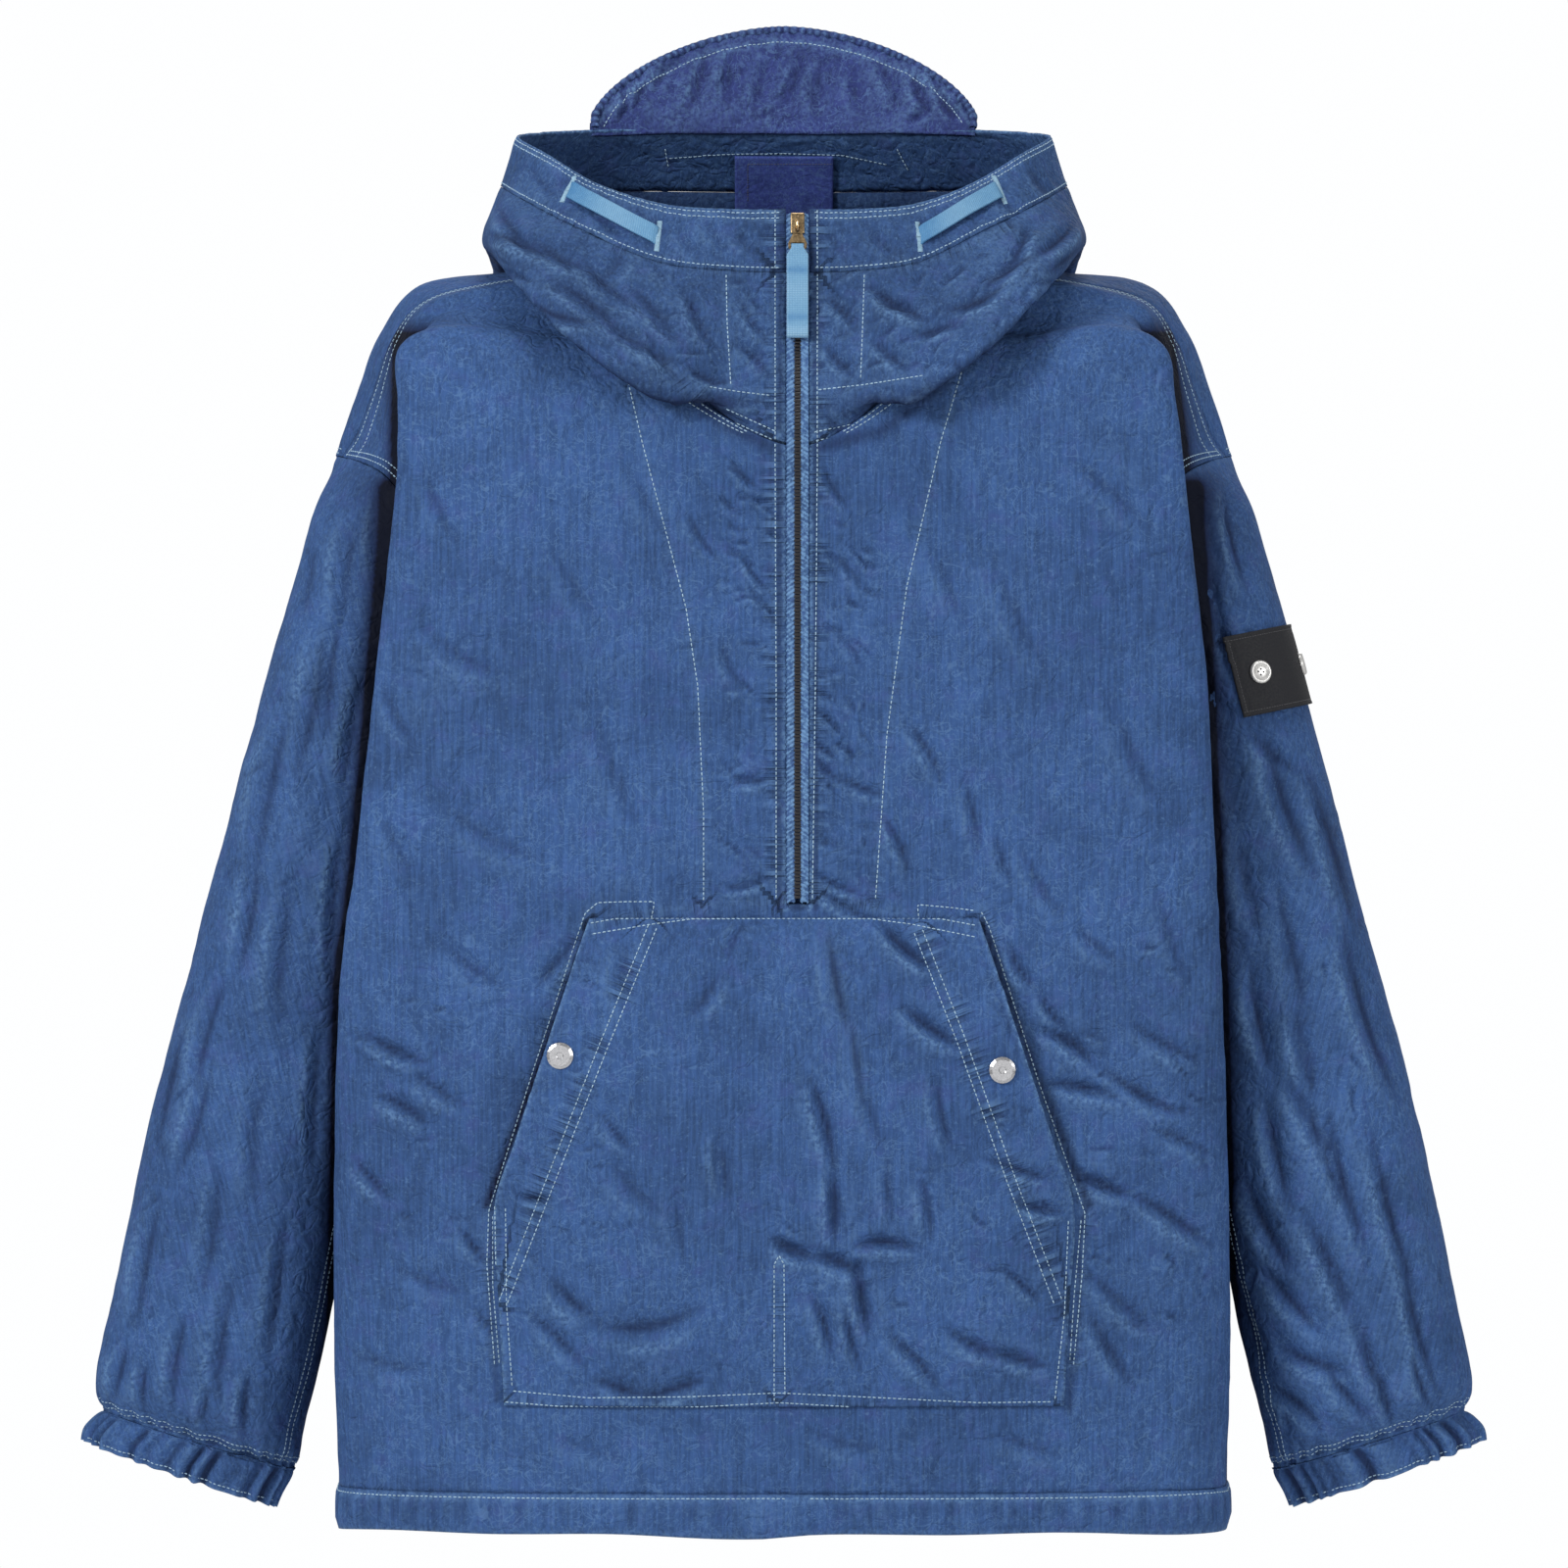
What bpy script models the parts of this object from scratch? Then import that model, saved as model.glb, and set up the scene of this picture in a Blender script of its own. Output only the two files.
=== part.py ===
"""Hooded half-zip parka: its cut-and-sewn pieces as thin cloth walls, and its hard trim.

Metres, +Z up, the front faces -Y. The origin lies between the shoulders, where the parka is carried.
The cloth is rigid here. The webbing pull on the zip slider is the one piece that swings.
"""

import math
from collections import namedtuple

import bpy
from mathutils import Vector

# Driving dimensions
CLOTH = 0.0016              # wall of every cloth piece
SEAM_GAP = 0.0004           # between neighbouring pieces at a seam
LAP_GAP = 0.0010            # between a piece that lies on another and what it lies on
ZIP_X = 0.0076              # the zip runs a little to one side of the centre
SLIT = 0.0066               # half width of the zip slit
ZIP_TOP_Z = -0.0020
ZIP_BOTTOM_Z = -0.389
HEM_SEAM_Z = -0.7180
HEM_Z = -0.7415
HEM_WAVE = 0.0012           # unevenness of the bottom edge
ROUNDNESS = 2.5             # exponent of the body's rounded section
LIP_TURN = 0.010            # how far a side fold runs back before it turns in

# Mesh fineness
MAIN_CELLS = 6
LIP_CELLS = 4
FLAP_CELLS = 4
SLEEVE_STEPS = 2
BAND_CELLS = 40

# One row for each section of a body panel, from the hem seam up to the neck seam.
# mid is the centre line, fold the outermost point, side the side seam or armhole edge.
Row = namedtuple("Row", "mid_y mid_z fold_x skew fold_y fold_z side_x side_y side_z")
FRONT = [
    Row(-0.118, -0.7177, 0.2505, -0.0005, -0.050, -0.7177, 0.2525, 0.000, -0.7177),
    Row(-0.120, -0.6400, 0.2525, -0.0010, -0.058, -0.6400, 0.2490, 0.000, -0.6400),
    Row(-0.122, -0.5500, 0.2515, -0.0014, -0.072, -0.5500, 0.2340, 0.000, -0.5500),
    Row(-0.122, -0.4400, 0.2475, -0.0020, -0.086, -0.4400, 0.2180, 0.000, -0.4400),
    Row(-0.122, -0.3500, 0.2395, 0.0015, -0.098, -0.3500, 0.2030, 0.000, -0.3500),
    Row(-0.121, -0.2780, 0.2333, 0.0037, -0.101, -0.2720, 0.1920, 0.000, -0.2680),
    Row(-0.120, -0.2450, 0.2285, 0.0040, -0.102, -0.2270, 0.1930, -0.052, -0.2250),
    Row(-0.119, -0.2100, 0.2235, 0.0040, -0.102, -0.1800, 0.2010, -0.068, -0.1780),
    Row(-0.119, -0.1880, 0.2200, 0.0036, -0.102, -0.1440, 0.2015, -0.072, -0.1440),
    Row(-0.119, -0.1680, 0.2175, 0.0015, -0.102, -0.1080, 0.2020, -0.073, -0.1090),
    Row(-0.119, -0.1520, 0.2140, -0.0010, -0.096, -0.0770, 0.2020, -0.070, -0.0770),
    Row(-0.119, -0.1420, 0.1850, -0.0010, -0.089, -0.0650, 0.1930, -0.058, -0.0560),
    Row(-0.119, -0.1370, 0.1320, 0.0000, -0.086, -0.0700, 0.1450, -0.058, -0.0460),
    Row(-0.119, -0.1340, 0.0900, 0.0000, -0.088, -0.0680, 0.1040, -0.060, -0.0450),
]
BACK = [
    Row(0.116, -0.7177, 0.2505, -0.0005, 0.050, -0.7177, 0.2525, 0.000, -0.7177),
    Row(0.118, -0.6400, 0.2525, -0.0010, 0.058, -0.6400, 0.2490, 0.000, -0.6400),
    Row(0.119, -0.5500, 0.2500, -0.0014, 0.072, -0.5500, 0.2340, 0.000, -0.5500),
    Row(0.119, -0.4400, 0.2450, -0.0020, 0.086, -0.4400, 0.2180, 0.000, -0.4400),
    Row(0.119, -0.3500, 0.2370, 0.0010, 0.099, -0.3500, 0.2030, 0.000, -0.3500),
    Row(0.119, -0.2680, 0.2290, 0.0020, 0.103, -0.2680, 0.1920, 0.000, -0.2680),
    Row(0.119, -0.2200, 0.2240, 0.0020, 0.103, -0.2230, 0.1930, 0.058, -0.2250),
    Row(0.118, -0.1780, 0.2200, 0.0010, 0.103, -0.1780, 0.2010, 0.078, -0.1780),
    Row(0.117, -0.1420, 0.2180, 0.0000, 0.098, -0.1440, 0.2040, 0.079, -0.1440),
    Row(0.115, -0.1070, 0.2140, 0.0000, 0.092, -0.1090, 0.2040, 0.077, -0.1090),
    Row(0.111, -0.0740, 0.2060, 0.0000, 0.084, -0.0750, 0.2000, 0.072, -0.0740),
    Row(0.105, -0.0420, 0.1760, 0.0000, 0.076, -0.0480, 0.1790, 0.062, -0.0470),
    Row(0.097, -0.0160, 0.1300, 0.0000, 0.070, -0.0320, 0.1390, 0.055, -0.0330),
    Row(0.090, 0.0020, 0.0780, 0.0000, 0.066, -0.0120, 0.0980, 0.038, -0.0210),
]
PIT_ROW = 5                 # the armpit
FLAP_ROW = 7                # the armhole seam leaves the side fold and runs out to the drop point
NECK_ROW = 13

# The dropped shoulder, from the armhole seam up to the neck: seam is the forward shoulder seam,
# ridge the top of the shoulder behind it, push the fullness of the flap in front.
Shoulder = namedtuple("Shoulder", "seam_x seam_y seam_z ridge_x ridge_y ridge_z push_y push_z")
SHOULDER = [
    Shoulder(0.2525, 0.002, -0.1350, 0.2550, 0.022, -0.1370, -0.018, 0.010),
    Shoulder(0.2440, -0.010, -0.1240, 0.2515, 0.014, -0.1200, -0.014, 0.004),
    Shoulder(0.2340, -0.018, -0.0990, 0.2430, 0.012, -0.0950, -0.012, 0.002),
    Shoulder(0.2225, -0.026, -0.0690, 0.2310, 0.010, -0.0640, -0.010, 0.002),
    Shoulder(0.2030, -0.030, -0.0470, 0.2080, 0.006, -0.0370, -0.006, 0.002),
    Shoulder(0.1540, -0.034, -0.0360, 0.1570, 0.002, -0.0300, -0.004, 0.002),
    Shoulder(0.1130, -0.034, -0.0335, 0.1140, 0.000, -0.0270, -0.002, 0.001),
]

# One row for each ring of a sleeve below the armhole: its outer and inner ends, its middle and depth.
Ring = namedtuple("Ring", "out_x out_z in_x in_z mid_y deep power")
SLEEVE = [
    Ring(0.2660, -0.162, 0.2110, -0.303, 0.002, 0.060, 2.3),
    Ring(0.2790, -0.205, 0.2120, -0.338, 0.002, 0.060, 2.5),
    Ring(0.2960, -0.266, 0.2160, -0.379, 0.002, 0.060, 2.7),
    Ring(0.3186, -0.350, 0.2235, -0.436, 0.003, 0.060, 2.7),
    Ring(0.3405, -0.434, 0.2345, -0.492, 0.004, 0.058, 2.6),
    Ring(0.3629, -0.518, 0.2470, -0.562, 0.004, 0.056, 2.5),
    Ring(0.3803, -0.602, 0.2620, -0.638, 0.004, 0.052, 2.4),
    Ring(0.3914, -0.652, 0.2740, -0.686, 0.004, 0.047, 2.3),
    Ring(0.3925, -0.668, 0.2775, -0.703, 0.004, 0.040, 2.2),
    Ring(0.3888, -0.6765, 0.2802, -0.7100, 0.004, 0.031, 2.1),
    Ring(0.3888, -0.6790, 0.2802, -0.7125, 0.004, 0.031, 2.1),
]
CUFF = [
    Ring(0.3888, -0.6795, 0.2802, -0.7130, 0.004, 0.031, 2.1),
    Ring(0.3890, -0.6815, 0.2802, -0.7150, 0.004, 0.031, 2.1),
    Ring(0.3975, -0.6900, 0.2865, -0.7260, 0.004, 0.029, 2.1),
    Ring(0.3992, -0.6970, 0.2900, -0.7345, 0.004, 0.027, 2.1),
]
GATHERS = 24
GATHER_DEPTH = (0.0002, 0.0006, 0.0019, 0.0021)     # half height of a gather on each cuff ring

# The hood, from the centre front (at 0) round to the centre back (at 1), from its opening down over
# its fullest line to the fold that hangs over the body, and back up under it to the neck seam.
# neck is the place on the neck seam: 0 centre front, 3 shoulder seam, 6 centre back.
Hood = namedtuple("Hood", "at neck ring stitch bulge fold tuck under")
HOOD = [
    Hood(0.00, 0.00, (0.0066, -0.080, 0.0012), (0.0066, -0.093, -0.0350), (0.0066, -0.104, -0.066),
         (0.0066, -0.113, -0.096), (0.0066, -0.117, -0.115), (0.0066, -0.119, -0.124)),
    Hood(0.12, 0.32, (0.034, -0.079, 0.0012), (0.036, -0.093, -0.0340), (0.037, -0.108, -0.064),
         (0.038, -0.122, -0.098), (0.040, -0.1265, -0.1085), (0.046, -0.1245, -0.1085)),
    Hood(0.24, 0.80, (0.070, -0.072, 0.0045), (0.073, -0.091, -0.0290), (0.077, -0.115, -0.060),
         (0.075, -0.139, -0.096), (0.075, -0.136, -0.107), (0.073, -0.126, -0.102)),
    Hood(0.36, 1.50, (0.105, -0.055, 0.0170), (0.116, -0.076, -0.0090), (0.126, -0.104, -0.036),
         (0.118, -0.136, -0.070), (0.116, -0.134, -0.077), (0.112, -0.121, -0.067)),
    Hood(0.48, 2.80, (0.135, -0.030, 0.0360), (0.146, -0.045, 0.0080), (0.160, -0.066, -0.014),
         (0.148, -0.097, -0.043), (0.143, -0.095, -0.045), (0.136, -0.082, -0.036)),
    Hood(0.57, 3.40, (0.152, 0.004, 0.0475), (0.161, 0.000, 0.0190), (0.171, -0.008, -0.008),
         (0.167, -0.012, -0.0190), (0.156, -0.012, -0.0210), (0.135, -0.008, -0.0160)),
    Hood(0.64, 3.80, (0.148, 0.027, 0.0515), (0.159, 0.030, 0.0200), (0.170, 0.038, -0.012),
         (0.167, 0.050, -0.022), (0.157, 0.052, -0.024), (0.134, 0.050, -0.017)),
    Hood(0.68, 4.15, (0.141, 0.041, 0.0530), (0.154, 0.049, 0.0210), (0.167, 0.068, -0.015),
         (0.165, 0.091, -0.036), (0.156, 0.092, -0.038), (0.133, 0.087, -0.018)),
    Hood(0.72, 4.60, (0.134, 0.051, 0.0545), (0.147, 0.064, 0.0220), (0.163, 0.095, -0.020),
         (0.159, 0.128, -0.062), (0.150, 0.121, -0.066), (0.124, 0.113, -0.024)),
    Hood(0.85, 5.45, (0.086, 0.077, 0.0580), (0.097, 0.101, 0.0240), (0.112, 0.142, -0.038),
         (0.108, 0.159, -0.112), (0.101, 0.149, -0.116), (0.092, 0.126, -0.040)),
    Hood(1.00, 6.00, (0.000, 0.088, 0.0590), (0.000, 0.116, 0.0240), (0.000, 0.154, -0.042),
         (0.000, 0.167, -0.128), (0.000, 0.152, -0.134), (0.000, 0.128, -0.055)),
]
HOOD_LINES = ("ring", "stitch", "bulge", "fold", "tuck", "under")
BAND_END = 1.0              # the opening band ends at the second of those lines
HOOD_COLUMNS = 13
HOOD_STEPS = 2

# The kangaroo pocket, from its bottom seam up: height and half width.
Edge = namedtuple("Edge", "z half lift_middle lift_edge")
POCKET = [
    Edge(-0.6690, 0.1560, 0.0002, 0.0002),
    Edge(-0.6100, 0.1590, 0.0085, 0.0002),
    Edge(-0.5600, 0.1615, 0.0115, 0.0004),
    Edge(-0.5200, 0.1485, 0.0130, 0.0085),
    Edge(-0.4600, 0.1290, 0.0120, 0.0095),
    Edge(-0.4150, 0.1145, 0.0060, 0.0045),
    Edge(-0.3970, 0.1085, 0.0002, 0.0002),
]
POCKET_COLUMNS = 12
SNAPS = {"snap_left": (-0.1237, -0.473), "snap_right": (0.1205, -0.481)}
SNAP_RADIUS = 0.0074

VISOR_HALF = 0.111
VISOR_HEIGHT = 0.060
VISOR_LEAN = math.radians(18)
VISOR_POWER = 1.7
VISOR_WALL = 0.0022
VISOR_BOW = 0.10            # how far back the peak bows, for each metre of its height
VISOR_END = 0.03            # share of the outline left out at each root
PIPING_RADIUS = 0.0024
PIPING_END = 0.035

LABEL_HALF = 0.029
LABEL_LOW, LABEL_HIGH = 1.75, 0.93      # along the hood's lines
LABEL_TURN = 1.55                       # share of the way round the hood for each metre across
LABEL_WALL = 0.0008
LABEL_DEPTH = 0.0024                    # behind the cloth that it lies on
LOOP_WIDTH = 0.0118
LOOP_WALL = 0.0012
LOOP_BOW = 0.0018                       # how far its middle stands off the band
LOOP_AT = (0.245, 0.405)                # round the opening, from the centre front
LOOP_DROP = (0.60, 0.44)                # down the band at each end

BADGE_LENGTH = 0.078
BADGE_HEIGHT = 0.0475
BADGE_PLACE = (0.2530, -0.2620)         # the middle of its front end, as seen from the front
BADGE_SLOPE = 0.20                      # rise of its long edges, square to the sleeve's lean
BADGE_LEAN = 0.25                       # lean of its ends
BADGE_WALL = 0.0012
BADGE_LIFT = LAP_GAP + 0.0008
BUTTON_RADIUS = 0.0066

SLIDER_REACH = 0.009                    # middle of the slider below its top
SLIDER_SIZE = (0.0078, 0.0125, 0.0024)  # across, along the zip, out of the cloth
BRIDGE_LOW, BRIDGE_RISE = 0.0030, 0.0034
BRIDGE_HALF = 0.0042
BRIDGE_RADIUS = 0.0008
PULL_LIFT = 0.0043                      # hinge bar of the pull, out of the cloth
PULL_DROP = 0.0012                      # and below the middle of the slider
PULL_HALF = 0.0006                      # half of its thickness
TAB_LENGTH = 0.050
TAB_WIDTH = 0.0120
TAB_THICK = 0.0024
TAB_BAR = 0.01445                       # where the tab's webbing turns round the puller, below the hinge
TAPE_LIFT = 0.0004                      # the face of the zip tapes, out of the cloth's line
TAPE_WALL = 0.0024
TAPE_INNER = 0.0014                     # inner edges of the tapes, from the zip's middle
CHAIN_HALF = 0.0026
CHAIN_WALL = 0.0012

COLOURS = {
    "body_cloth": (0.055, 0.120, 0.280), "inner_cloth": (0.040, 0.065, 0.190),
    "webbing": (0.240, 0.500, 0.700), "tape": (0.120, 0.200, 0.380), "teeth": (0.015, 0.015, 0.020),
    "brass": (0.620, 0.430, 0.220), "steel": (0.620, 0.600, 0.580), "patch": (0.018, 0.018, 0.022),
    "button": (0.850, 0.830, 0.800),
}


# ---------------------------------------------------------------- curves and surfaces
def spline(knots, at):
    """Point of a Catmull-Rom curve through equally spaced knots, with at from 0 to len - 1."""
    last = len(knots) - 1
    start = min(int(max(at, 0.0)), last - 1)
    t = at - start
    a, b, c, d = (knots[min(max(start + k, 0), last)] for k in (-1, 0, 1, 2))
    return tuple(
        0.5 * (2 * q + (r - p) * t + (2 * p - 5 * q + 4 * r - s) * t ** 2 + (3 * q - p - 3 * r + s) * t ** 3)
        for p, q, r, s in zip(a, b, c, d)
    )


def bezier(a, b, c, d, t):
    s = 1.0 - t
    return a * s ** 3 + 3 * b * s * s * t + 3 * c * s * t * t + d * t ** 3


def centre_shift(x):
    """Sideways shift that brings the front's centre line onto the zip."""
    return ZIP_X * max(0.0, 1.0 - (x - SLIT) / 0.10)


def main_point(rows, side, at, across):
    """Point of a body panel from its centre line (across 0) over the side fold (1) to its edge (2)."""
    row = Row(*spline(rows, at))
    fold_x = row.fold_x + side * row.skew
    front = rows is FRONT
    start = SLIT if front else 0.0
    if across <= 1.0:
        angle = math.radians(90) * across
        power = 2.0 / ROUNDNESS
        x = start + (fold_x - start) * math.sin(angle) ** power
        y = row.fold_y + (row.mid_y - row.fold_y) * max(math.cos(angle), 0.0) ** power
        z = row.mid_z + (row.fold_z - row.mid_z) * (x / fold_x) ** 1.6
        point = Vector((x, y, z))
    else:
        fold = Vector((fold_x, row.fold_y, row.fold_z))
        edge = Vector((row.side_x, row.side_y, row.side_z))
        if at <= PIT_ROW:
            edge.y = 0.5 * SEAM_GAP * math.copysign(1.0, row.mid_y)
        back = math.copysign(1.0, -row.mid_y)
        turn = Vector((0.0, back * min(LIP_TURN, 0.35 * abs(edge.y - fold.y)), 0.0))
        inner = Vector((edge.x, fold.y + 1.7 * turn.y, 0.5 * (edge.z + fold.z)))
        point = bezier(fold, fold + turn, inner, edge, across - 1.0)
    if front:
        point.x += side * centre_shift(point.x)
    return Vector((side * point.x, point.y, point.z))


def flap_point(rows, side, at, across):
    """Point of the dropped shoulder, from the panel's side fold (across 0) to the shoulder seam (1)."""
    line = Shoulder(*spline(SHOULDER, at - FLAP_ROW))
    front = main_point(FRONT, side, at, 2.0)
    back = main_point(BACK, side, at, 2.0)
    seam = Vector((side * line.seam_x, line.seam_y, line.seam_z))
    ridge = Vector((side * line.ridge_x, line.ridge_y, line.ridge_z))
    full = 0.5 * (front + seam) + Vector((0.0, line.push_y, line.push_z))
    rear = 0.5 * (back + ridge) + Vector((side * 0.25 * abs(ridge.x - back.x), 0.010, 0.004))
    knots = [tuple(p) for p in (front, full, seam, ridge, rear, back)]
    if rows is FRONT:
        return Vector(spline(knots, 1.98 * across))
    return Vector(spline(knots, 5.0 - 3.0 * across))


def panel_point(rows, side, at, across):
    if across <= 2.0:
        return main_point(rows, side, at, across)
    return flap_point(rows, side, at, across - 2.0)


def normal_of(surface, u, v, step=1e-3):
    """Unit normal of a surface of two parameters, by small steps."""
    a = surface(u + step, v) - surface(u - step, v)
    b = surface(u, v + step) - surface(u, v - step)
    return a.cross(b).normalized()


def armhole(side):
    """The armhole's edge points, from the drop point round the front to the armpit and the back."""
    loop = []
    for rows in (FRONT, BACK):
        half = [flap_point(rows, side, FLAP_ROW, 1.0 - k / FLAP_CELLS) for k in range(FLAP_CELLS)]
        steps = 2 * (FLAP_ROW - PIT_ROW)
        half += [main_point(rows, side, FLAP_ROW - 0.5 * k, 2.0) for k in range(steps + 1)]
        loop.append(half)
    front, back = loop
    return front + back[-2:0:-1]


def ring_point(ring, side, turn, swell=0.0):
    """Point of a sleeve ring, with turn from 0 at its outer end through the front to 1."""
    outer = Vector((ring.out_x, 0.0, ring.out_z))
    inner = Vector((ring.in_x, 0.0, ring.in_z))
    angle = 2.0 * math.pi * turn
    power = 2.0 / ring.power
    along = math.copysign(abs(math.cos(angle)) ** power, math.cos(angle))
    depth = math.copysign(abs(math.sin(angle)) ** power, math.sin(angle))
    reach = 0.5 * (outer - inner)
    point = 0.5 * (outer + inner) + reach * along * (1.0 + swell / reach.length)
    point.y = ring.mid_y - (ring.deep + swell) * depth
    return Vector((side * point.x, point.y, point.z))


def loop_point(loop, turn):
    """Point of a closed smooth curve through the points of a loop, with turn from 0 to 1."""
    count = len(loop)
    at = (turn % 1.0) * count
    knots = [tuple(loop[(int(at) + k) % count]) for k in (-1, 0, 1, 2)]
    return Vector(spline(knots, 1.0 + at - int(at)))


def sleeve_point(side, loop, at, turn):
    """Point of a sleeve, with at 0 on the armhole and 1, 2, ... on the rings of the table."""
    first = ring_point(SLEEVE[0], side, turn)
    edge = loop_point(loop, turn)
    start = edge + (first - edge).normalized() * SEAM_GAP
    knots = [start, first] + [ring_point(ring, side, turn) for ring in SLEEVE[1:]]
    return Vector(spline([tuple(k) for k in knots], at))


def neck_point(side, place):
    """The neck seam, from the centre front (0) to the shoulder seam (3) and the centre back (6)."""
    if place <= 3.0:
        return panel_point(FRONT, side, NECK_ROW, max(place, 0.0))
    return panel_point(BACK, side, NECK_ROW, max(6.0 - place, 0.0))


def hood_knots(side, at):
    """The hood's lines at one place round it, as points from the opening to the neck seam."""
    place = [row.at for row in HOOD]
    k = max(i for i in range(len(HOOD) - 1) if place[i] <= at)
    fine = k + (at - place[k]) / (place[k + 1] - place[k])
    points = []
    for line in HOOD_LINES:
        x, y, z = spline([getattr(row, line) for row in HOOD], fine)
        x += side * centre_shift(x) if y < 0.0 else 0.0
        points.append((side * x, y, z))
    seam = neck_point(side, spline([(row.neck,) for row in HOOD], fine)[0])
    outward = Vector((seam.x, seam.y, 0.0)).normalized()
    lap = LAP_GAP * min(1.0, at / 0.10)
    seam += outward * 2.0 * lap + Vector((0.0, 0.0, LAP_GAP + 1.2 * lap))
    return points + [tuple(seam)]


def hood_point(side, at, down):
    return Vector(spline(hood_knots(side, at), down))


def front_skin(x, z):
    """Point and outward direction of the front at a height below the zip and a place across."""
    low, high = 0.0, float(PIT_ROW)
    while high - low > 1e-4:
        at = 0.5 * (low + high)
        low, high = (at, high) if spline(FRONT, at)[1] < z else (low, at)
    side = 1.0 if x >= ZIP_X else -1.0

    def surface(across, row):
        return main_point(FRONT, side, row, across)

    near, far = 0.0, 1.0
    while far - near > 1e-5:
        across = 0.5 * (near + far)
        near, far = (across, far) if side * (surface(across, low).x - x) < 0 else (near, across)
    across = max(near, 0.02)
    normal = normal_of(surface, across, low)
    if normal.y > 0:
        normal.negate()
    point = surface(near, low)
    return Vector((x, point.y, z)), normal


# ---------------------------------------------------------------- objects
def clear_scene():
    for item in list(bpy.data.objects):
        bpy.data.objects.remove(item, do_unlink=True)


def new_collection(name, hidden=False):
    group = bpy.data.collections.new(name)
    bpy.context.scene.collection.children.link(group)
    group.hide_render = hidden
    return group


def material(slot, roughness=0.8, metallic=0.0):
    found = bpy.data.materials.get(slot)
    if found:
        return found
    made = bpy.data.materials.new(slot)
    made.use_nodes = True
    shader = made.node_tree.nodes["Principled BSDF"]
    shader.inputs["Base Color"].default_value = (*COLOURS[slot], 1.0)
    shader.inputs["Roughness"].default_value = roughness
    shader.inputs["Metallic"].default_value = metallic
    return made


def add_mesh(name, points, faces, group, look):
    mesh = bpy.data.meshes.new(name)
    mesh.from_pydata([tuple(p) for p in points], [], faces)
    mesh.shade_smooth()
    item = bpy.data.objects.new(name, mesh)
    item.data.materials.append(look)
    group.objects.link(item)
    return item


def thicken(item, wall=CLOTH):
    solid = item.modifiers.new("wall", "SOLIDIFY")
    solid.thickness = wall
    solid.offset = -1.0
    return item


def quads(grid, closed=False, flip=False):
    """Faces between neighbouring rows of point numbers; a missing number leaves its cells open."""
    faces = []
    for low, high in zip(grid, grid[1:]):
        pairs = list(zip(low, low[1:], high[1:], high))
        if closed:
            pairs.append((low[-1], low[0], high[0], high[-1]))
        for cell in pairs:
            if None not in cell:
                faces.append(tuple(reversed(cell)) if flip else cell)
    return faces


def row_stations(rows):
    """Heights at which a body panel is sampled, as places in its table."""
    lower = [0.5 * k for k in range(2 * PIT_ROW)]
    upper = [PIT_ROW + 0.5 * k for k in range(2 * (len(rows) - 1 - PIT_ROW) + 1)]
    return lower + upper


def across_stations():
    main = [k / MAIN_CELLS for k in range(MAIN_CELLS)]
    lip = [1.0 + k / LIP_CELLS for k in range(LIP_CELLS)]
    flap = [2.0 + k / FLAP_CELLS for k in range(FLAP_CELLS + 1)]
    return main + lip + flap


def body_panel(name, rows, group, look):
    """A body panel with both its halves. The front is slit for the zip above its bottom end."""
    front = rows is FRONT
    points, grid = [], []
    for at in row_stations(rows):
        numbers = []
        for side in (-1.0, 1.0):
            half = []
            for across in across_stations():
                if (across > 2.0 and at < FLAP_ROW) or (not front and side > 0 and across == 0.0):
                    half.append(None)
                    continue
                points.append(panel_point(rows, side, at, across))
                half.append(len(points) - 1)
            numbers.append(half)
        left, right = numbers
        if not front:
            right = right[1:]
        grid.append((left[::-1], right))
    whole = [left + right for left, right in grid]
    faces = quads(whole, flip=not front)
    if front:
        slit = {(left[-1], right[0]) for (left, right) in grid if points[left[-1]].z > ZIP_BOTTOM_Z}
        faces = [f for f in faces if not any(a in f and b in f for a, b in slit)]
    return thicken(add_mesh(name, points, faces, group, look))


def tube(name, rings, group, look, flip, wall=CLOTH):
    count = len(rings[0])
    points = [p for ring in rings for p in ring]
    grid = [[r * count + k for k in range(count)] for r in range(len(rings))]
    return thicken(add_mesh(name, points, quads(grid, closed=True, flip=flip), group, look), wall)


def sleeve(name, side, group, look):
    loop = armhole(side)
    last = len(SLEEVE)
    stations = [0.0, 0.35] + [1.0 + k / SLEEVE_STEPS for k in range(SLEEVE_STEPS * (last - 3))]
    stations += [float(k) for k in range(last - 2, last + 1)]
    rings = [[sleeve_point(side, loop, at, k / len(loop)) for k in range(len(loop))] for at in stations]
    return tube(name, rings, group, look, flip=side < 0)


def cuff(name, side, group, look):
    count = 3 * GATHERS
    rings = []
    for ring, depth in zip(CUFF, GATHER_DEPTH):
        swell = [depth * math.cos(2.0 * math.pi * k / 3.0) for k in range(count)]
        rings.append([ring_point(ring, side, k / count, swell[k]) for k in range(count)])
    return tube(name, rings, group, look, flip=side < 0)


def band_ring(z, pinch, wave):
    """Closed section of the hem, from the centre front round by the right side."""
    ring = []
    for rows, sides in ((FRONT, (1.0,)), (BACK, (1.0, -1.0)), (FRONT, (-1.0,))):
        for side in sides:
            half = [2.0 * k / (BAND_CELLS // 4) for k in range(BAND_CELLS // 4)]
            outward = (rows is FRONT) == (side > 0)
            stations = half if outward else [2.0 - s for s in half]
            for across in stations:
                ring.append(main_point(rows, side, 0.0, across))
    for k, point in enumerate(ring):
        grow = 1.0 + pinch / Vector((point.x, point.y)).length
        ring[k] = Vector((point.x * grow, point.y * grow, z + wave * math.sin(11.0 * k / 4.0)))
    return ring


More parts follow.
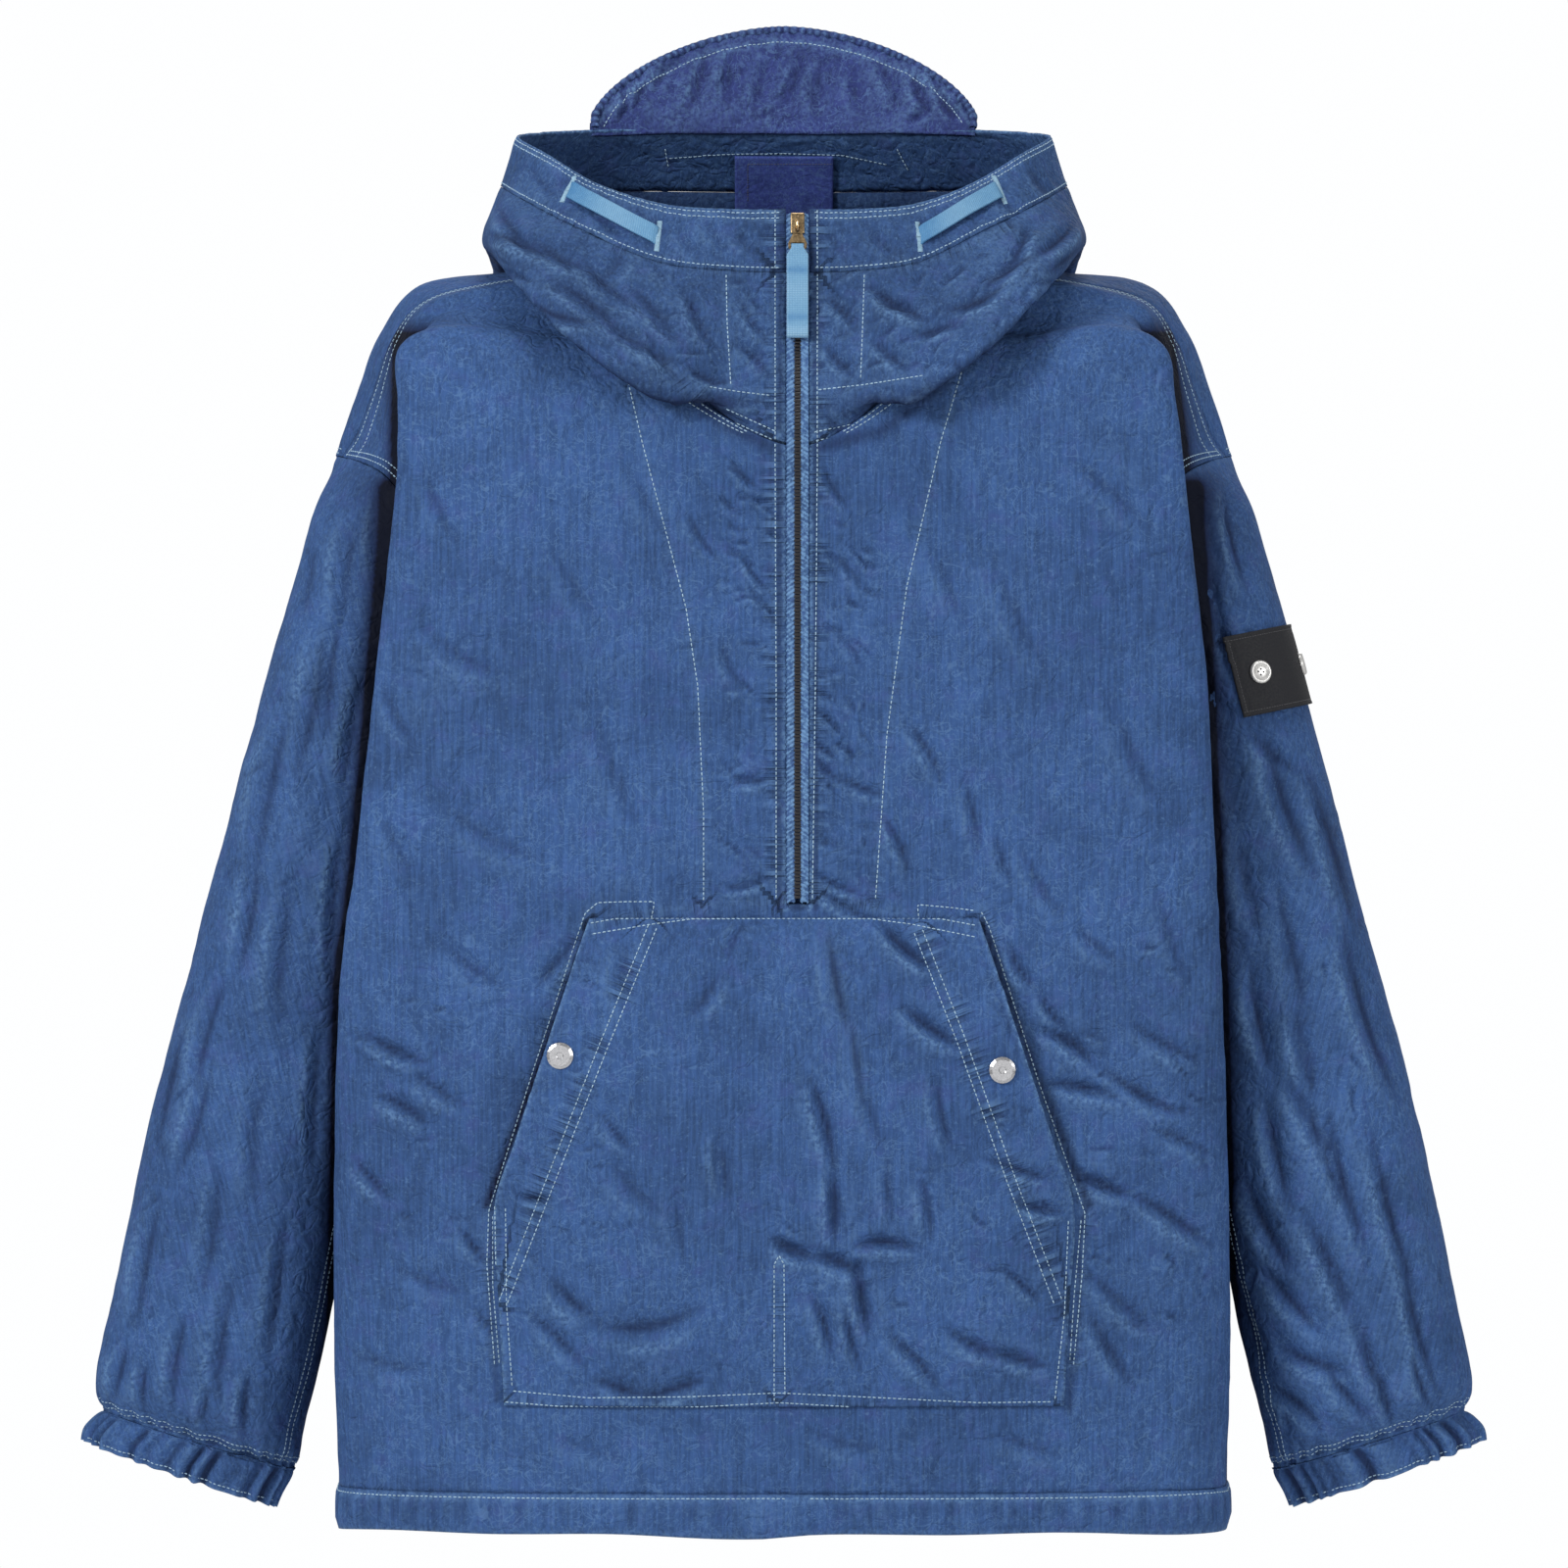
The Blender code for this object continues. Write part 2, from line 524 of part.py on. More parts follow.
def hem_band(name, group, look):
    heights = (HEM_SEAM_Z, HEM_SEAM_Z - 0.006, HEM_Z + 0.006, HEM_Z)
    pinches = (0.0, 0.0022, 0.0024, 0.0006)
    waves = (0.0, 0.0, 0.0, HEM_WAVE)
    rings = [band_ring(*section) for section in zip(heights, pinches, waves)]
    return tube(name, rings, group, look, flip=True)


def hood_grid(stations, downs, surface=hood_point):
    """Rows of hood points from the left of the zip round the back to its right."""
    rows = []
    for down in downs:
        left = [surface(-1.0, at, down) for at in stations]
        right = [surface(1.0, at, down) for at in reversed(stations[:-1])]
        rows.append(left + right)
    return rows


def hood_sheet(name, downs, group, look):
    stations = [k / HOOD_COLUMNS for k in range(HOOD_COLUMNS + 1)]
    rows = hood_grid(stations, downs)
    width = len(rows[0])
    grid = [[r * width + k for k in range(width)] for r in range(len(rows))]
    points = [p for row in rows for p in row]
    return thicken(add_mesh(name, points, quads(grid), group, look))


def hood_pieces(group, look):
    steps = [BAND_END + k / HOOD_STEPS for k in range(HOOD_STEPS * 5 + 1)]
    steps[0] += 0.012
    hood_sheet("hood", steps, group, look)
    hood_sheet("hood_band", [0.0, 0.33, 0.67, BAND_END - 0.001], group, look)


def visor_outline(t):
    """Half-moon of the visor, from its left root (t 0) over the top to its right root (1)."""
    angle = math.pi * (1.0 - t)
    power = 2.0 / VISOR_POWER
    x = math.copysign(abs(math.cos(angle)) ** power, math.cos(angle))
    return VISOR_HALF * x, VISOR_HEIGHT * max(math.sin(angle), 0.0) ** power


def visor_point(x, height):
    """A place on the visor, which stands on the back of the opening and leans backwards."""
    side = 1.0 if x >= 0 else -1.0
    low, high = 0.6, 1.0
    while high - low > 1e-5:
        at = 0.5 * (low + high)
        low, high = (at, high) if abs(hood_point(side, at, 0.0).x) > abs(x) else (low, at)
    root = hood_point(side, low, 0.0)
    bow = VISOR_BOW * height
    return root + Vector((x - root.x, math.sin(VISOR_LEAN) * height + bow,
                          math.cos(VISOR_LEAN) * height + 0.0006))


def visor(group, look):
    columns, levels = 14, 4
    span = 1.0 - 2.0 * VISOR_END
    outline = [visor_outline(VISOR_END + span * k / columns) for k in range(columns + 1)]
    rows = [[visor_point(x, h * level / levels) for x, h in outline] for level in range(levels + 1)]
    width = columns + 1
    grid = [[r * width + k for k in range(width)] for r in range(levels + 1)]
    points = [p for row in rows for p in row]
    thicken(add_mesh("visor", points, quads(grid), group, look), VISOR_WALL)


def poly_tube(name, points, radius, group, look, sides=2):
    """Round tube along points, as a mesh with its caps welded."""
    line = bpy.data.curves.new(name, "CURVE")
    line.dimensions = "3D"
    line.bevel_depth = radius
    line.bevel_resolution = sides
    line.use_fill_caps = True
    run = line.splines.new("POLY")
    run.points.add(len(points) - 1)
    for knot, point in zip(run.points, points):
        knot.co = (*point, 1.0)
    return curve_to_mesh(name, line, group, look)


def curve_to_mesh(name, line, group, look):
    item = bpy.data.objects.new(name + "_line", line)
    group.objects.link(item)
    bpy.context.view_layer.update()
    mesh = bpy.data.meshes.new_from_object(item.evaluated_get(bpy.context.evaluated_depsgraph_get()))
    made = bpy.data.objects.new(name, mesh)
    made.matrix_world = item.matrix_world
    made.data.materials.clear()
    made.data.materials.append(look)
    group.objects.link(made)
    bpy.data.objects.remove(item, do_unlink=True)
    weld = made.modifiers.new("weld", "WELD")
    weld.merge_threshold = 0.00001
    return made


def visor_piping(group, look):
    count = 26
    points = []
    for k in range(count + 1):
        x, height = visor_outline(PIPING_END + (1.0 - 2.0 * PIPING_END) * k / count)
        grow = 1.0 + PIPING_RADIUS / math.hypot(x, height)
        point = visor_point(x * min(grow, VISOR_HALF / max(abs(x), 1e-6)), height * grow)
        points.append(point + Vector((math.copysign(0.0022, x) * (1 - height / VISOR_HEIGHT), 0.0005,
                                      PIPING_RADIUS * 0.6)))
    poly_tube("visor_piping", points, PIPING_RADIUS, group, look)


def strip(name, surface, us, vs, lift, wall, group, look, flip=False):
    """A flat piece that lies on a surface, made from its points moved out along its normal."""
    points = []
    for v in vs:
        for u in us:
            normal = normal_of(surface, u, v)
            if flip:
                normal.negate()
            height = lift(u, v) if callable(lift) else lift
            points.append(surface(u, v) + normal * height)
    width = len(us)
    grid = [[r * width + k for k in range(width)] for r in range(len(vs))]
    item = add_mesh(name, points, quads(grid, flip=flip), group, look)
    return thicken(item, wall)


def neck_label(group, look):
    """Plain cloth label on the inside of the hood, at the centre back."""
    def surface(x, down):
        at = 1.0 - abs(x) * LABEL_TURN
        point = hood_point(1.0 if x >= 0 else -1.0, at, down)
        return Vector((x, point.y, point.z))

    us = [LABEL_HALF * k / 2.0 for k in range(-2, 3)]
    vs = [LABEL_HIGH + (LABEL_LOW - LABEL_HIGH) * k / 4.0 for k in range(5)]
    strip("neck_label", surface, us, vs, -(CLOTH + LABEL_DEPTH), LABEL_WALL, group, look)


def webbing_loop(name, side, group, look):
    """Flat webbing keeper on the opening band, bar-tacked at both ends."""
    start, end = LOOP_AT
    high, low = LOOP_DROP

    def surface(u, v):
        at = start + (end - start) * u
        middle = high + (low - high) * u
        here = hood_point(side, at, middle + 0.02)
        down = (hood_point(side, at, middle + 0.05) - hood_point(side, at, middle - 0.05)).normalized()
        return here + down * v

    def lift(u, v):
        return LAP_GAP + LOOP_WALL + LOOP_BOW * math.sin(math.pi * u)

    us = [k / 6.0 for k in range(7)]
    vs = [LOOP_WIDTH * k / 2.0 for k in (-1, 0, 1)]
    strip(name, surface, us, vs, lift, LOOP_WALL, group, look, flip=side > 0)


def pocket(group, look):
    """Pouch pocket made from the front's points, sewn all round but for its slanted hand openings."""
    stations = [0.5 * k for k in range(2 * len(POCKET) - 1)]
    points = []
    for at in stations:
        edge = Edge(*spline(POCKET, at))
        lift_edge = max(edge.lift_edge, 0.0002)
        for k in range(POCKET_COLUMNS + 1):
            s = 2.0 * k / POCKET_COLUMNS - 1.0
            skin, normal = front_skin(edge.half * s, edge.z)
            lift = lift_edge + (max(edge.lift_middle, 0.0002) - lift_edge) * (1.0 - s ** 4)
            points.append(skin + normal * (lift + CLOTH + SEAM_GAP))
    width = POCKET_COLUMNS + 1
    grid = [[r * width + k for k in range(width)] for r in range(len(stations))]
    return thicken(add_mesh("kangaroo_pocket", points, quads(grid), group, look))


def turned(name, profile, place, normal, group, look, steps=20):
    """A small turned piece, its profile as (radius, height) pairs, standing along a direction."""
    mesh = bpy.data.meshes.new(name)
    points = [(r, 0.0, h) for r, h in profile]
    mesh.from_pydata(points, [(k, k + 1) for k in range(len(points) - 1)], [])
    item = bpy.data.objects.new(name, mesh)
    item.data.materials.append(look)
    group.objects.link(item)
    item.rotation_euler = normal.to_track_quat("Z", "Y").to_euler()
    item.location = place
    screw = item.modifiers.new("turn", "SCREW")
    screw.steps = screw.render_steps = steps
    screw.use_merge_vertices = True
    screw.merge_threshold = 0.00001
    screw.use_smooth_shade = True
    return item


def snap_profile():
    r = SNAP_RADIUS
    return [(0.0, 0.0016), (0.0016, 0.0016), (0.0022, 0.0020), (0.0058, 0.0020), (r, 0.0012),
            (r, 0.0003), (0.0, 0.0003)]


def snaps(group, look):
    for name, (x, z) in SNAPS.items():
        skin, normal = front_skin(x, z)
        edge = pocket_edge(z)
        s = abs(x) / edge.half
        lift = edge.lift_edge + (edge.lift_middle - edge.lift_edge) * (1.0 - s ** 4)
        place = skin + normal * (lift + CLOTH + SEAM_GAP + 0.0006)
        turned(name, snap_profile(), place, normal, group, look)


def pocket_edge(z):
    low, high = 0.0, len(POCKET) - 1.0
    while high - low > 1e-4:
        at = 0.5 * (low + high)
        low, high = (at, high) if spline(POCKET, at)[0] < z else (low, at)
    return Edge(*spline(POCKET, low))


def sleeve_cut(loop, turn, level):
    """Right sleeve's point at one place round it, on a plane square to the sleeve's lean."""
    low, high = 1.0, 5.0
    while high - low > 1e-4:
        at = 0.5 * (low + high)
        point = sleeve_point(1.0, loop, at, turn)
        above = point.z - BADGE_SLOPE * (point.x - BADGE_PLACE[0]) > level
        low, high = (at, high) if above else (low, at)
    return sleeve_point(1.0, loop, low, turn)


def badge_path(loop, level):
    """The cloth's points under one level of the badge, from its front end, with the run along them."""
    turn = 0.30
    start_x = BADGE_PLACE[0] + BADGE_LEAN * (BADGE_PLACE[1] - level)
    while sleeve_cut(loop, turn, level).x < start_x:
        turn -= 0.002
    path, run = [sleeve_cut(loop, turn, level)], [0.0]
    while run[-1] < BADGE_LENGTH:
        turn -= 0.004
        path.append(sleeve_cut(loop, turn, level))
        run.append(run[-1] + (path[-1] - path[-2]).length)
    return path, run


def badge_grid(columns, levels):
    """Points of the sleeve's cloth under the badge, each row from the badge's front end."""
    loop = armhole(1.0)
    rows = []
    for k in range(levels + 1):
        path, run = badge_path(loop, BADGE_PLACE[1] + BADGE_HEIGHT * (k / levels - 0.5))
        row = []
        for c in range(columns + 1):
            reach = BADGE_LENGTH * c / columns
            i = max(n for n in range(len(run) - 1) if run[n] <= reach)
            row.append(path[i].lerp(path[i + 1], (reach - run[i]) / (run[i + 1] - run[i])))
        rows.append(row)
    return rows


def grid_normals(rows):
    """Outward directions at a grid's points, from the points beside them."""
    normals = []
    for r, row in enumerate(rows):
        above, below = rows[min(r + 1, len(rows) - 1)], rows[max(r - 1, 0)]
        normals.append([])
        for c in range(len(row)):
            along = row[min(c + 1, len(row) - 1)] - row[max(c - 1, 0)]
            normals[-1].append(along.cross(above[c] - below[c]).normalized())
    return normals


def badge(group, patch, metal):
    """Bare cloth patch buttoned round the outside of the right sleeve, a button at each end."""
    columns, levels = 10, 4
    rows = badge_grid(columns, levels)
    normals = grid_normals(rows)
    points = [p + n * BADGE_LIFT for row, out in zip(rows, normals) for p, n in zip(row, out)]
    width = columns + 1
    grid = [[r * width + k for k in range(width)] for r in range(levels + 1)]
    thicken(add_mesh("sleeve_badge", points, quads(grid), group, patch), BADGE_WALL)
    middle = levels // 2
    for name, column in (("badge_button_front", 2), ("badge_button_back", columns - 2)):
        out = normals[middle][column]
        place = rows[middle][column] + out * (BADGE_LIFT + 0.0005)
        r = BUTTON_RADIUS
        profile = [(0.0, 0.0010), (0.0030, 0.0010), (0.0042, 0.0018), (r - 0.0006, 0.0018), (r, 0.0011),
                   (r, 0.0003), (0.0, 0.0003)]
        turned(name, profile, place, out, group, metal)


# ---------------------------------------------------------------- zip
def zip_line(z):
    """Depth of the centre-front line at a height, over the hood and the body alike."""
    if z > HOOD[0].under[2]:
        low, high = 0.0, 5.0
        while high - low > 1e-5:
            down = 0.5 * (low + high)
            low, high = (down, high) if hood_point(-1.0, 0.0, down).z > z else (low, down)
        return hood_point(-1.0, 0.0, low).y
    low, high = 0.0, float(NECK_ROW)
    while high - low > 1e-5:
        at = 0.5 * (low + high)
        low, high = (at, high) if spline(FRONT, at)[1] < z else (low, at)
    return spline(FRONT, low)[0]


def zip_strip(name, x_from, x_to, lift, wall, group, look, top=ZIP_TOP_Z):
    count = 30
    points = []
    for k in range(count + 1):
        z = ZIP_BOTTOM_Z + 0.0012 + (top - ZIP_BOTTOM_Z - 0.0012) * k / count
        slope = (zip_line(z + 0.003) - zip_line(z - 0.003)) / 0.006
        out = Vector((0.0, -1.0, slope)).normalized()
        for x in (x_from, x_to):
            points.append(Vector((ZIP_X + x, zip_line(z), z)) + out * lift)
    grid = [[2 * k, 2 * k + 1] for k in range(count + 1)]
    return thicken(add_mesh(name, points, quads(grid), group, look), wall)


def zip_pieces(group, tape, teeth):
    outer = SLIT - SEAM_GAP
    zip_strip("zip_tape_left", -outer, -TAPE_INNER, TAPE_LIFT, TAPE_WALL, group, tape)
    zip_strip("zip_tape_right", TAPE_INNER, outer, TAPE_LIFT, TAPE_WALL, group, tape)
    zip_strip("zip_chain", -CHAIN_HALF, CHAIN_HALF, -TAPE_WALL, CHAIN_WALL, group, teeth,
              top=ZIP_TOP_Z - 0.001)


def slider_frame():
    """Place and directions of the slider: down along the zip, and out of the cloth."""
    top = ZIP_TOP_Z + 0.002
    z = top - SLIDER_REACH
    down = Vector((0.0, zip_line(z - 0.045) - zip_line(z), -0.045)).normalized()
    out = Vector((1.0, 0.0, 0.0)).cross(down).normalized()
    if out.y > 0:
        out.negate()
    return Vector((ZIP_X, zip_line(z), z)), down, out


def box_solid(name, centre, size, axes, bevel, group, look):
    """A bevelled block with its own directions."""
    bpy.ops.mesh.primitive_cube_add(size=1.0)
    item = bpy.context.active_object
    item.name = item.data.name = name
    for holder in list(item.users_collection):
        holder.objects.unlink(item)
    group.objects.link(item)
    x, y, z = axes
    for vertex in item.data.vertices:
        c = vertex.co.copy()
        vertex.co = centre + x * c.x * size[0] + y * c.y * size[1] + z * c.z * size[2]
    item.data.materials.clear()
    item.data.materials.append(look)
    if bevel:
        edge = item.modifiers.new("bevel", "BEVEL")
        edge.width = bevel
        edge.segments = 2
    return item


def union(item, other, cutters):
    """Adds another solid to this one and keeps that other one as a hidden helper."""
    for holder in list(other.users_collection):
        holder.objects.unlink(other)
    cutters.objects.link(other)
    other.hide_render = True
    other.display_type = "WIRE"
    join = item.modifiers.new("join", "BOOLEAN")
    join.operation = "UNION"
    join.object = other
    return item


def slider(group, cutters, brass):
    """The slider's block with a bridge over it, which carries the pull."""
    place, down, out = slider_frame()
    axes = (Vector((1.0, 0.0, 0.0)), -down, out)
    block = box_solid("zip_slider", place + out * 0.0020 - down * 0.0010, SLIDER_SIZE, axes, 0.0006,
                      group, brass)
    arc = []
    for k in range(9):
        angle = math.pi * k / 8.0
        rise = BRIDGE_LOW + BRIDGE_RISE * math.sin(angle)
        arc.append(place + out * rise - down * BRIDGE_HALF * math.cos(angle))
    bridge = poly_tube("slider_bridge", arc, BRIDGE_RADIUS, group, brass)
    return union(block, bridge, cutters)


def flat_plate(name, outlines, half, place, axes, group, look):
    """A plate of a flat outline with holes, lying across two directions and half as thick each way."""
    plate = bpy.data.curves.new(name, "CURVE")
    plate.dimensions = "2D"
    plate.fill_mode = "BOTH"
    plate.extrude = half
    for ring in outlines:
        run = plate.splines.new("POLY")
        run.points.add(len(ring) - 1)
        for knot, (x, y) in zip(run.points, ring):
            knot.co = (x, y, 0.0, 1.0)
        run.use_cyclic_u = True
    item = curve_to_mesh(name, plate, group, look)
    x, y, z = axes
    for vertex in item.data.vertices:
        c = vertex.co.copy()
        vertex.co = x * c.x + y * c.y + z * c.z
    item.location = place
    return item


def circle(radius, count):
    steps = [2.0 * math.pi * k / count for k in range(count)]
    return [(radius * math.cos(a), radius * math.sin(a)) for a in steps]


def pull_pieces(group, cutters, brass, look):
    """The bell-shaped puller on the bridge, and the webbing tab looped through its lower eye."""
    place, down, out = slider_frame()
    hinge = place + out * PULL_LIFT + down * PULL_DROP
    across = Vector((1.0, 0.0, 0.0))
    right = [(0.0024, 0.0006), (0.0026, -0.0050), (0.0052, -0.0108), (0.0052, -0.0135), (0.0036, -0.0152)]
    bell = right + [(-x, y) for x, y in reversed(right)]
    window = [(-0.0014, -0.0007), (0.0014, -0.0007), (0.0014, -0.0053), (-0.0014, -0.0053)]
    eye = [(-0.0037, -0.0106), (0.0037, -0.0106), (0.0037, -0.0137), (-0.0037, -0.0137)]
    flat_plate("zip_puller", (bell, window, eye), PULL_HALF, hinge, (across, -down, out), group, brass)
    bar = hinge + down * TAB_BAR
    tab = box_solid("zip_pull_tab", bar + down * (0.0018 + 0.5 * TAB_LENGTH),
                    (TAB_WIDTH, TAB_LENGTH, TAB_THICK), (across, -down, out), 0.0005, group, look)
    rings = (circle(0.0024, 16), circle(0.00135, 16))
    loop = flat_plate("tab_loop", rings, 0.0032, bar, (out, -down, out.cross(-down)), group, look)
    union(tab, loop, cutters)


def build():
    clear_scene()
    parts = new_collection("hooded_half_zip_parka")
    cutters = new_collection("helpers", hidden=True)
    cloth = material("body_cloth")
    inner = material("inner_cloth")
    body_panel("body_front", FRONT, parts, cloth)
    body_panel("body_back", BACK, parts, cloth)
    for word, side in (("left", -1.0), ("right", 1.0)):
        sleeve("sleeve_" + word, side, parts, cloth)
        cuff("cuff_" + word, side, parts, cloth)
        webbing_loop("loop_" + word, side, parts, material("webbing", 0.7))
    hem_band("hem_band", parts, cloth)
    hood_pieces(parts, cloth)
    visor(parts, inner)
    visor_piping(parts, cloth)
    neck_label(parts, inner)
    pocket(parts, cloth)
    snaps(parts, material("steel", 0.35, 1.0))
    badge(parts, material("patch", 0.7), material("button", 0.3, 0.4))
    zip_pieces(parts, material("tape"), material("teeth", 0.5))
    brass = material("brass", 0.3, 1.0)
    slider(parts, cutters, brass)
    pull_pieces(parts, cutters, brass, material("webbing", 0.7))


build()
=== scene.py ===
"""Looks of a hooded half-zip parka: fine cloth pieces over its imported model, with stitches and trim."""

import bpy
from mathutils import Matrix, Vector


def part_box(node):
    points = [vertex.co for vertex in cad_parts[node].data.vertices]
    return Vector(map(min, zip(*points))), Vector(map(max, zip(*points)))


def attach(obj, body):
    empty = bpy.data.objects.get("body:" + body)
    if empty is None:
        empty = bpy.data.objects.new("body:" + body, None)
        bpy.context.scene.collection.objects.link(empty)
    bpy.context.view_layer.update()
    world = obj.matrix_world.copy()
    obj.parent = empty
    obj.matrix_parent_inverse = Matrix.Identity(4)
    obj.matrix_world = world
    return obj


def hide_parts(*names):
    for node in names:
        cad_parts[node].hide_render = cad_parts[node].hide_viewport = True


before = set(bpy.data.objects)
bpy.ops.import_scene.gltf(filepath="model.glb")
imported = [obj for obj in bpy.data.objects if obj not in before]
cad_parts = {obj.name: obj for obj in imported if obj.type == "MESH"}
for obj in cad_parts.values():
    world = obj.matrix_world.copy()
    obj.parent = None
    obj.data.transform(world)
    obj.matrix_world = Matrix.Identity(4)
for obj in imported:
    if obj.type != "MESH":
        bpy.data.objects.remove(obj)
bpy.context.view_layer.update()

import math

import bpy
import numpy as np
from mathutils import Vector
from mathutils.bvhtree import BVHTree

bl_info = {
    "name": "Half-zip parka",
    "version": (1, 0, 0),
    "blender": (4, 5, 0),
    "location": "3D View > Sidebar > Parka",
    "description": "Builds the cloth, stitches and trim of a hooded half-zip parka",
    "category": "Object",
}

# ---------------------------------------------------------------- the cut, as in the part's source
SIDES = ((-1.0, "left"), (1.0, "right"))
FORWARD = (0.0, -1.0, 0.0)
CLOTH = 0.0016
SEAM_GAP = 0.0004
LAP_GAP = 0.0010
ZIP_X = 0.0076
SLIT = 0.0066
ZIP_TOP_Z = -0.0020
ZIP_BOTTOM_Z = -0.389
HEM_SEAM_Z = -0.7180
HEM_Z = -0.7415
ROUNDNESS = 2.5
INSIDE_SHADE = 0.35        # how much painted shade the inner faces take
CRINKLE_SEED = 3
LIP_TURN = 0.010
PIT_ROW, FLAP_ROW, NECK_ROW = 5, 7, 13

# Each row: mid_y mid_z fold_x skew fold_y fold_z side_x side_y side_z
FRONT = np.array([
    (-0.118, -0.7177, 0.2505, -0.0005, -0.050, -0.7177, 0.2525, 0.000, -0.7177),
    (-0.120, -0.6400, 0.2525, -0.0010, -0.058, -0.6400, 0.2490, 0.000, -0.6400),
    (-0.122, -0.5500, 0.2515, -0.0014, -0.072, -0.5500, 0.2340, 0.000, -0.5500),
    (-0.122, -0.4400, 0.2475, -0.0020, -0.086, -0.4400, 0.2180, 0.000, -0.4400),
    (-0.122, -0.3500, 0.2395, 0.0015, -0.098, -0.3500, 0.2030, 0.000, -0.3500),
    (-0.121, -0.2780, 0.2333, 0.0037, -0.101, -0.2720, 0.1920, 0.000, -0.2680),
    (-0.120, -0.2450, 0.2285, 0.0040, -0.102, -0.2270, 0.1930, -0.052, -0.2250),
    (-0.119, -0.2100, 0.2235, 0.0040, -0.102, -0.1800, 0.2010, -0.068, -0.1780),
    (-0.119, -0.1880, 0.2200, 0.0036, -0.102, -0.1440, 0.2015, -0.072, -0.1440),
    (-0.119, -0.1680, 0.2175, 0.0015, -0.102, -0.1080, 0.2020, -0.073, -0.1090),
    (-0.119, -0.1520, 0.2140, -0.0010, -0.096, -0.0770, 0.2020, -0.070, -0.0770),
    (-0.119, -0.1420, 0.1850, -0.0010, -0.089, -0.0650, 0.1930, -0.058, -0.0560),
    (-0.119, -0.1370, 0.1320, 0.0000, -0.086, -0.0700, 0.1450, -0.058, -0.0460),
    (-0.119, -0.1340, 0.0900, 0.0000, -0.088, -0.0680, 0.1040, -0.060, -0.0450),
])
BACK = np.array([
    (0.116, -0.7177, 0.2505, -0.0005, 0.050, -0.7177, 0.2525, 0.000, -0.7177),
    (0.118, -0.6400, 0.2525, -0.0010, 0.058, -0.6400, 0.2490, 0.000, -0.6400),
    (0.119, -0.5500, 0.2500, -0.0014, 0.072, -0.5500, 0.2340, 0.000, -0.5500),
    (0.119, -0.4400, 0.2450, -0.0020, 0.086, -0.4400, 0.2180, 0.000, -0.4400),
    (0.119, -0.3500, 0.2370, 0.0010, 0.099, -0.3500, 0.2030, 0.000, -0.3500),
    (0.119, -0.2680, 0.2290, 0.0020, 0.103, -0.2680, 0.1920, 0.000, -0.2680),
    (0.119, -0.2200, 0.2240, 0.0020, 0.103, -0.2230, 0.1930, 0.058, -0.2250),
    (0.118, -0.1780, 0.2200, 0.0010, 0.103, -0.1780, 0.2010, 0.078, -0.1780),
    (0.117, -0.1420, 0.2180, 0.0000, 0.098, -0.1440, 0.2040, 0.079, -0.1440),
    (0.115, -0.1070, 0.2140, 0.0000, 0.092, -0.1090, 0.2040, 0.077, -0.1090),
    (0.111, -0.0740, 0.2060, 0.0000, 0.084, -0.0750, 0.2000, 0.072, -0.0740),
    (0.105, -0.0420, 0.1760, 0.0000, 0.076, -0.0480, 0.1790, 0.062, -0.0470),
    (0.097, -0.0160, 0.1300, 0.0000, 0.070, -0.0320, 0.1390, 0.055, -0.0330),
    (0.090, 0.0020, 0.0780, 0.0000, 0.066, -0.0120, 0.0980, 0.038, -0.0210),
])
# Each row: shoulder seam x y z, ridge x y z, push y z
SHOULDER = np.array([
    (0.2525, 0.002, -0.1350, 0.2550, 0.022, -0.1370, -0.018, 0.010),
    (0.2440, -0.010, -0.1240, 0.2515, 0.014, -0.1200, -0.014, 0.004),
    (0.2340, -0.018, -0.0990, 0.2430, 0.012, -0.0950, -0.012, 0.002),
    (0.2225, -0.026, -0.0690, 0.2310, 0.010, -0.0640, -0.010, 0.002),
    (0.2030, -0.030, -0.0470, 0.2080, 0.006, -0.0370, -0.006, 0.002),
    (0.1540, -0.034, -0.0360, 0.1570, 0.002, -0.0300, -0.004, 0.002),
    (0.1130, -0.034, -0.0335, 0.1140, 0.000, -0.0270, -0.002, 0.001),
])
# Each ring: out_x out_z in_x in_z mid_y deep power
SLEEVE = np.array([
    (0.2660, -0.162, 0.2110, -0.303, 0.002, 0.060, 2.3),
    (0.2790, -0.205, 0.2120, -0.338, 0.002, 0.060, 2.5),
    (0.2960, -0.266, 0.2160, -0.379, 0.002, 0.060, 2.7),
    (0.3186, -0.350, 0.2235, -0.436, 0.003, 0.060, 2.7),
    (0.3405, -0.434, 0.2345, -0.492, 0.004, 0.058, 2.6),
    (0.3629, -0.518, 0.2470, -0.562, 0.004, 0.056, 2.5),
    (0.3803, -0.602, 0.2620, -0.638, 0.004, 0.052, 2.4),
    (0.3914, -0.652, 0.2740, -0.686, 0.004, 0.047, 2.3),
    (0.3925, -0.668, 0.2775, -0.703, 0.004, 0.040, 2.2),
    (0.3888, -0.6765, 0.2802, -0.7100, 0.004, 0.031, 2.1),
    (0.3888, -0.6790, 0.2802, -0.7125, 0.004, 0.031, 2.1),
])
CUFF = np.array([
    (0.3888, -0.6795, 0.2802, -0.7130, 0.004, 0.031, 2.1),
    (0.3890, -0.6815, 0.2802, -0.7150, 0.004, 0.031, 2.1),
    (0.3975, -0.6900, 0.2865, -0.7260, 0.004, 0.029, 2.1),
    (0.3992, -0.6970, 0.2900, -0.7345, 0.004, 0.027, 2.1),
])
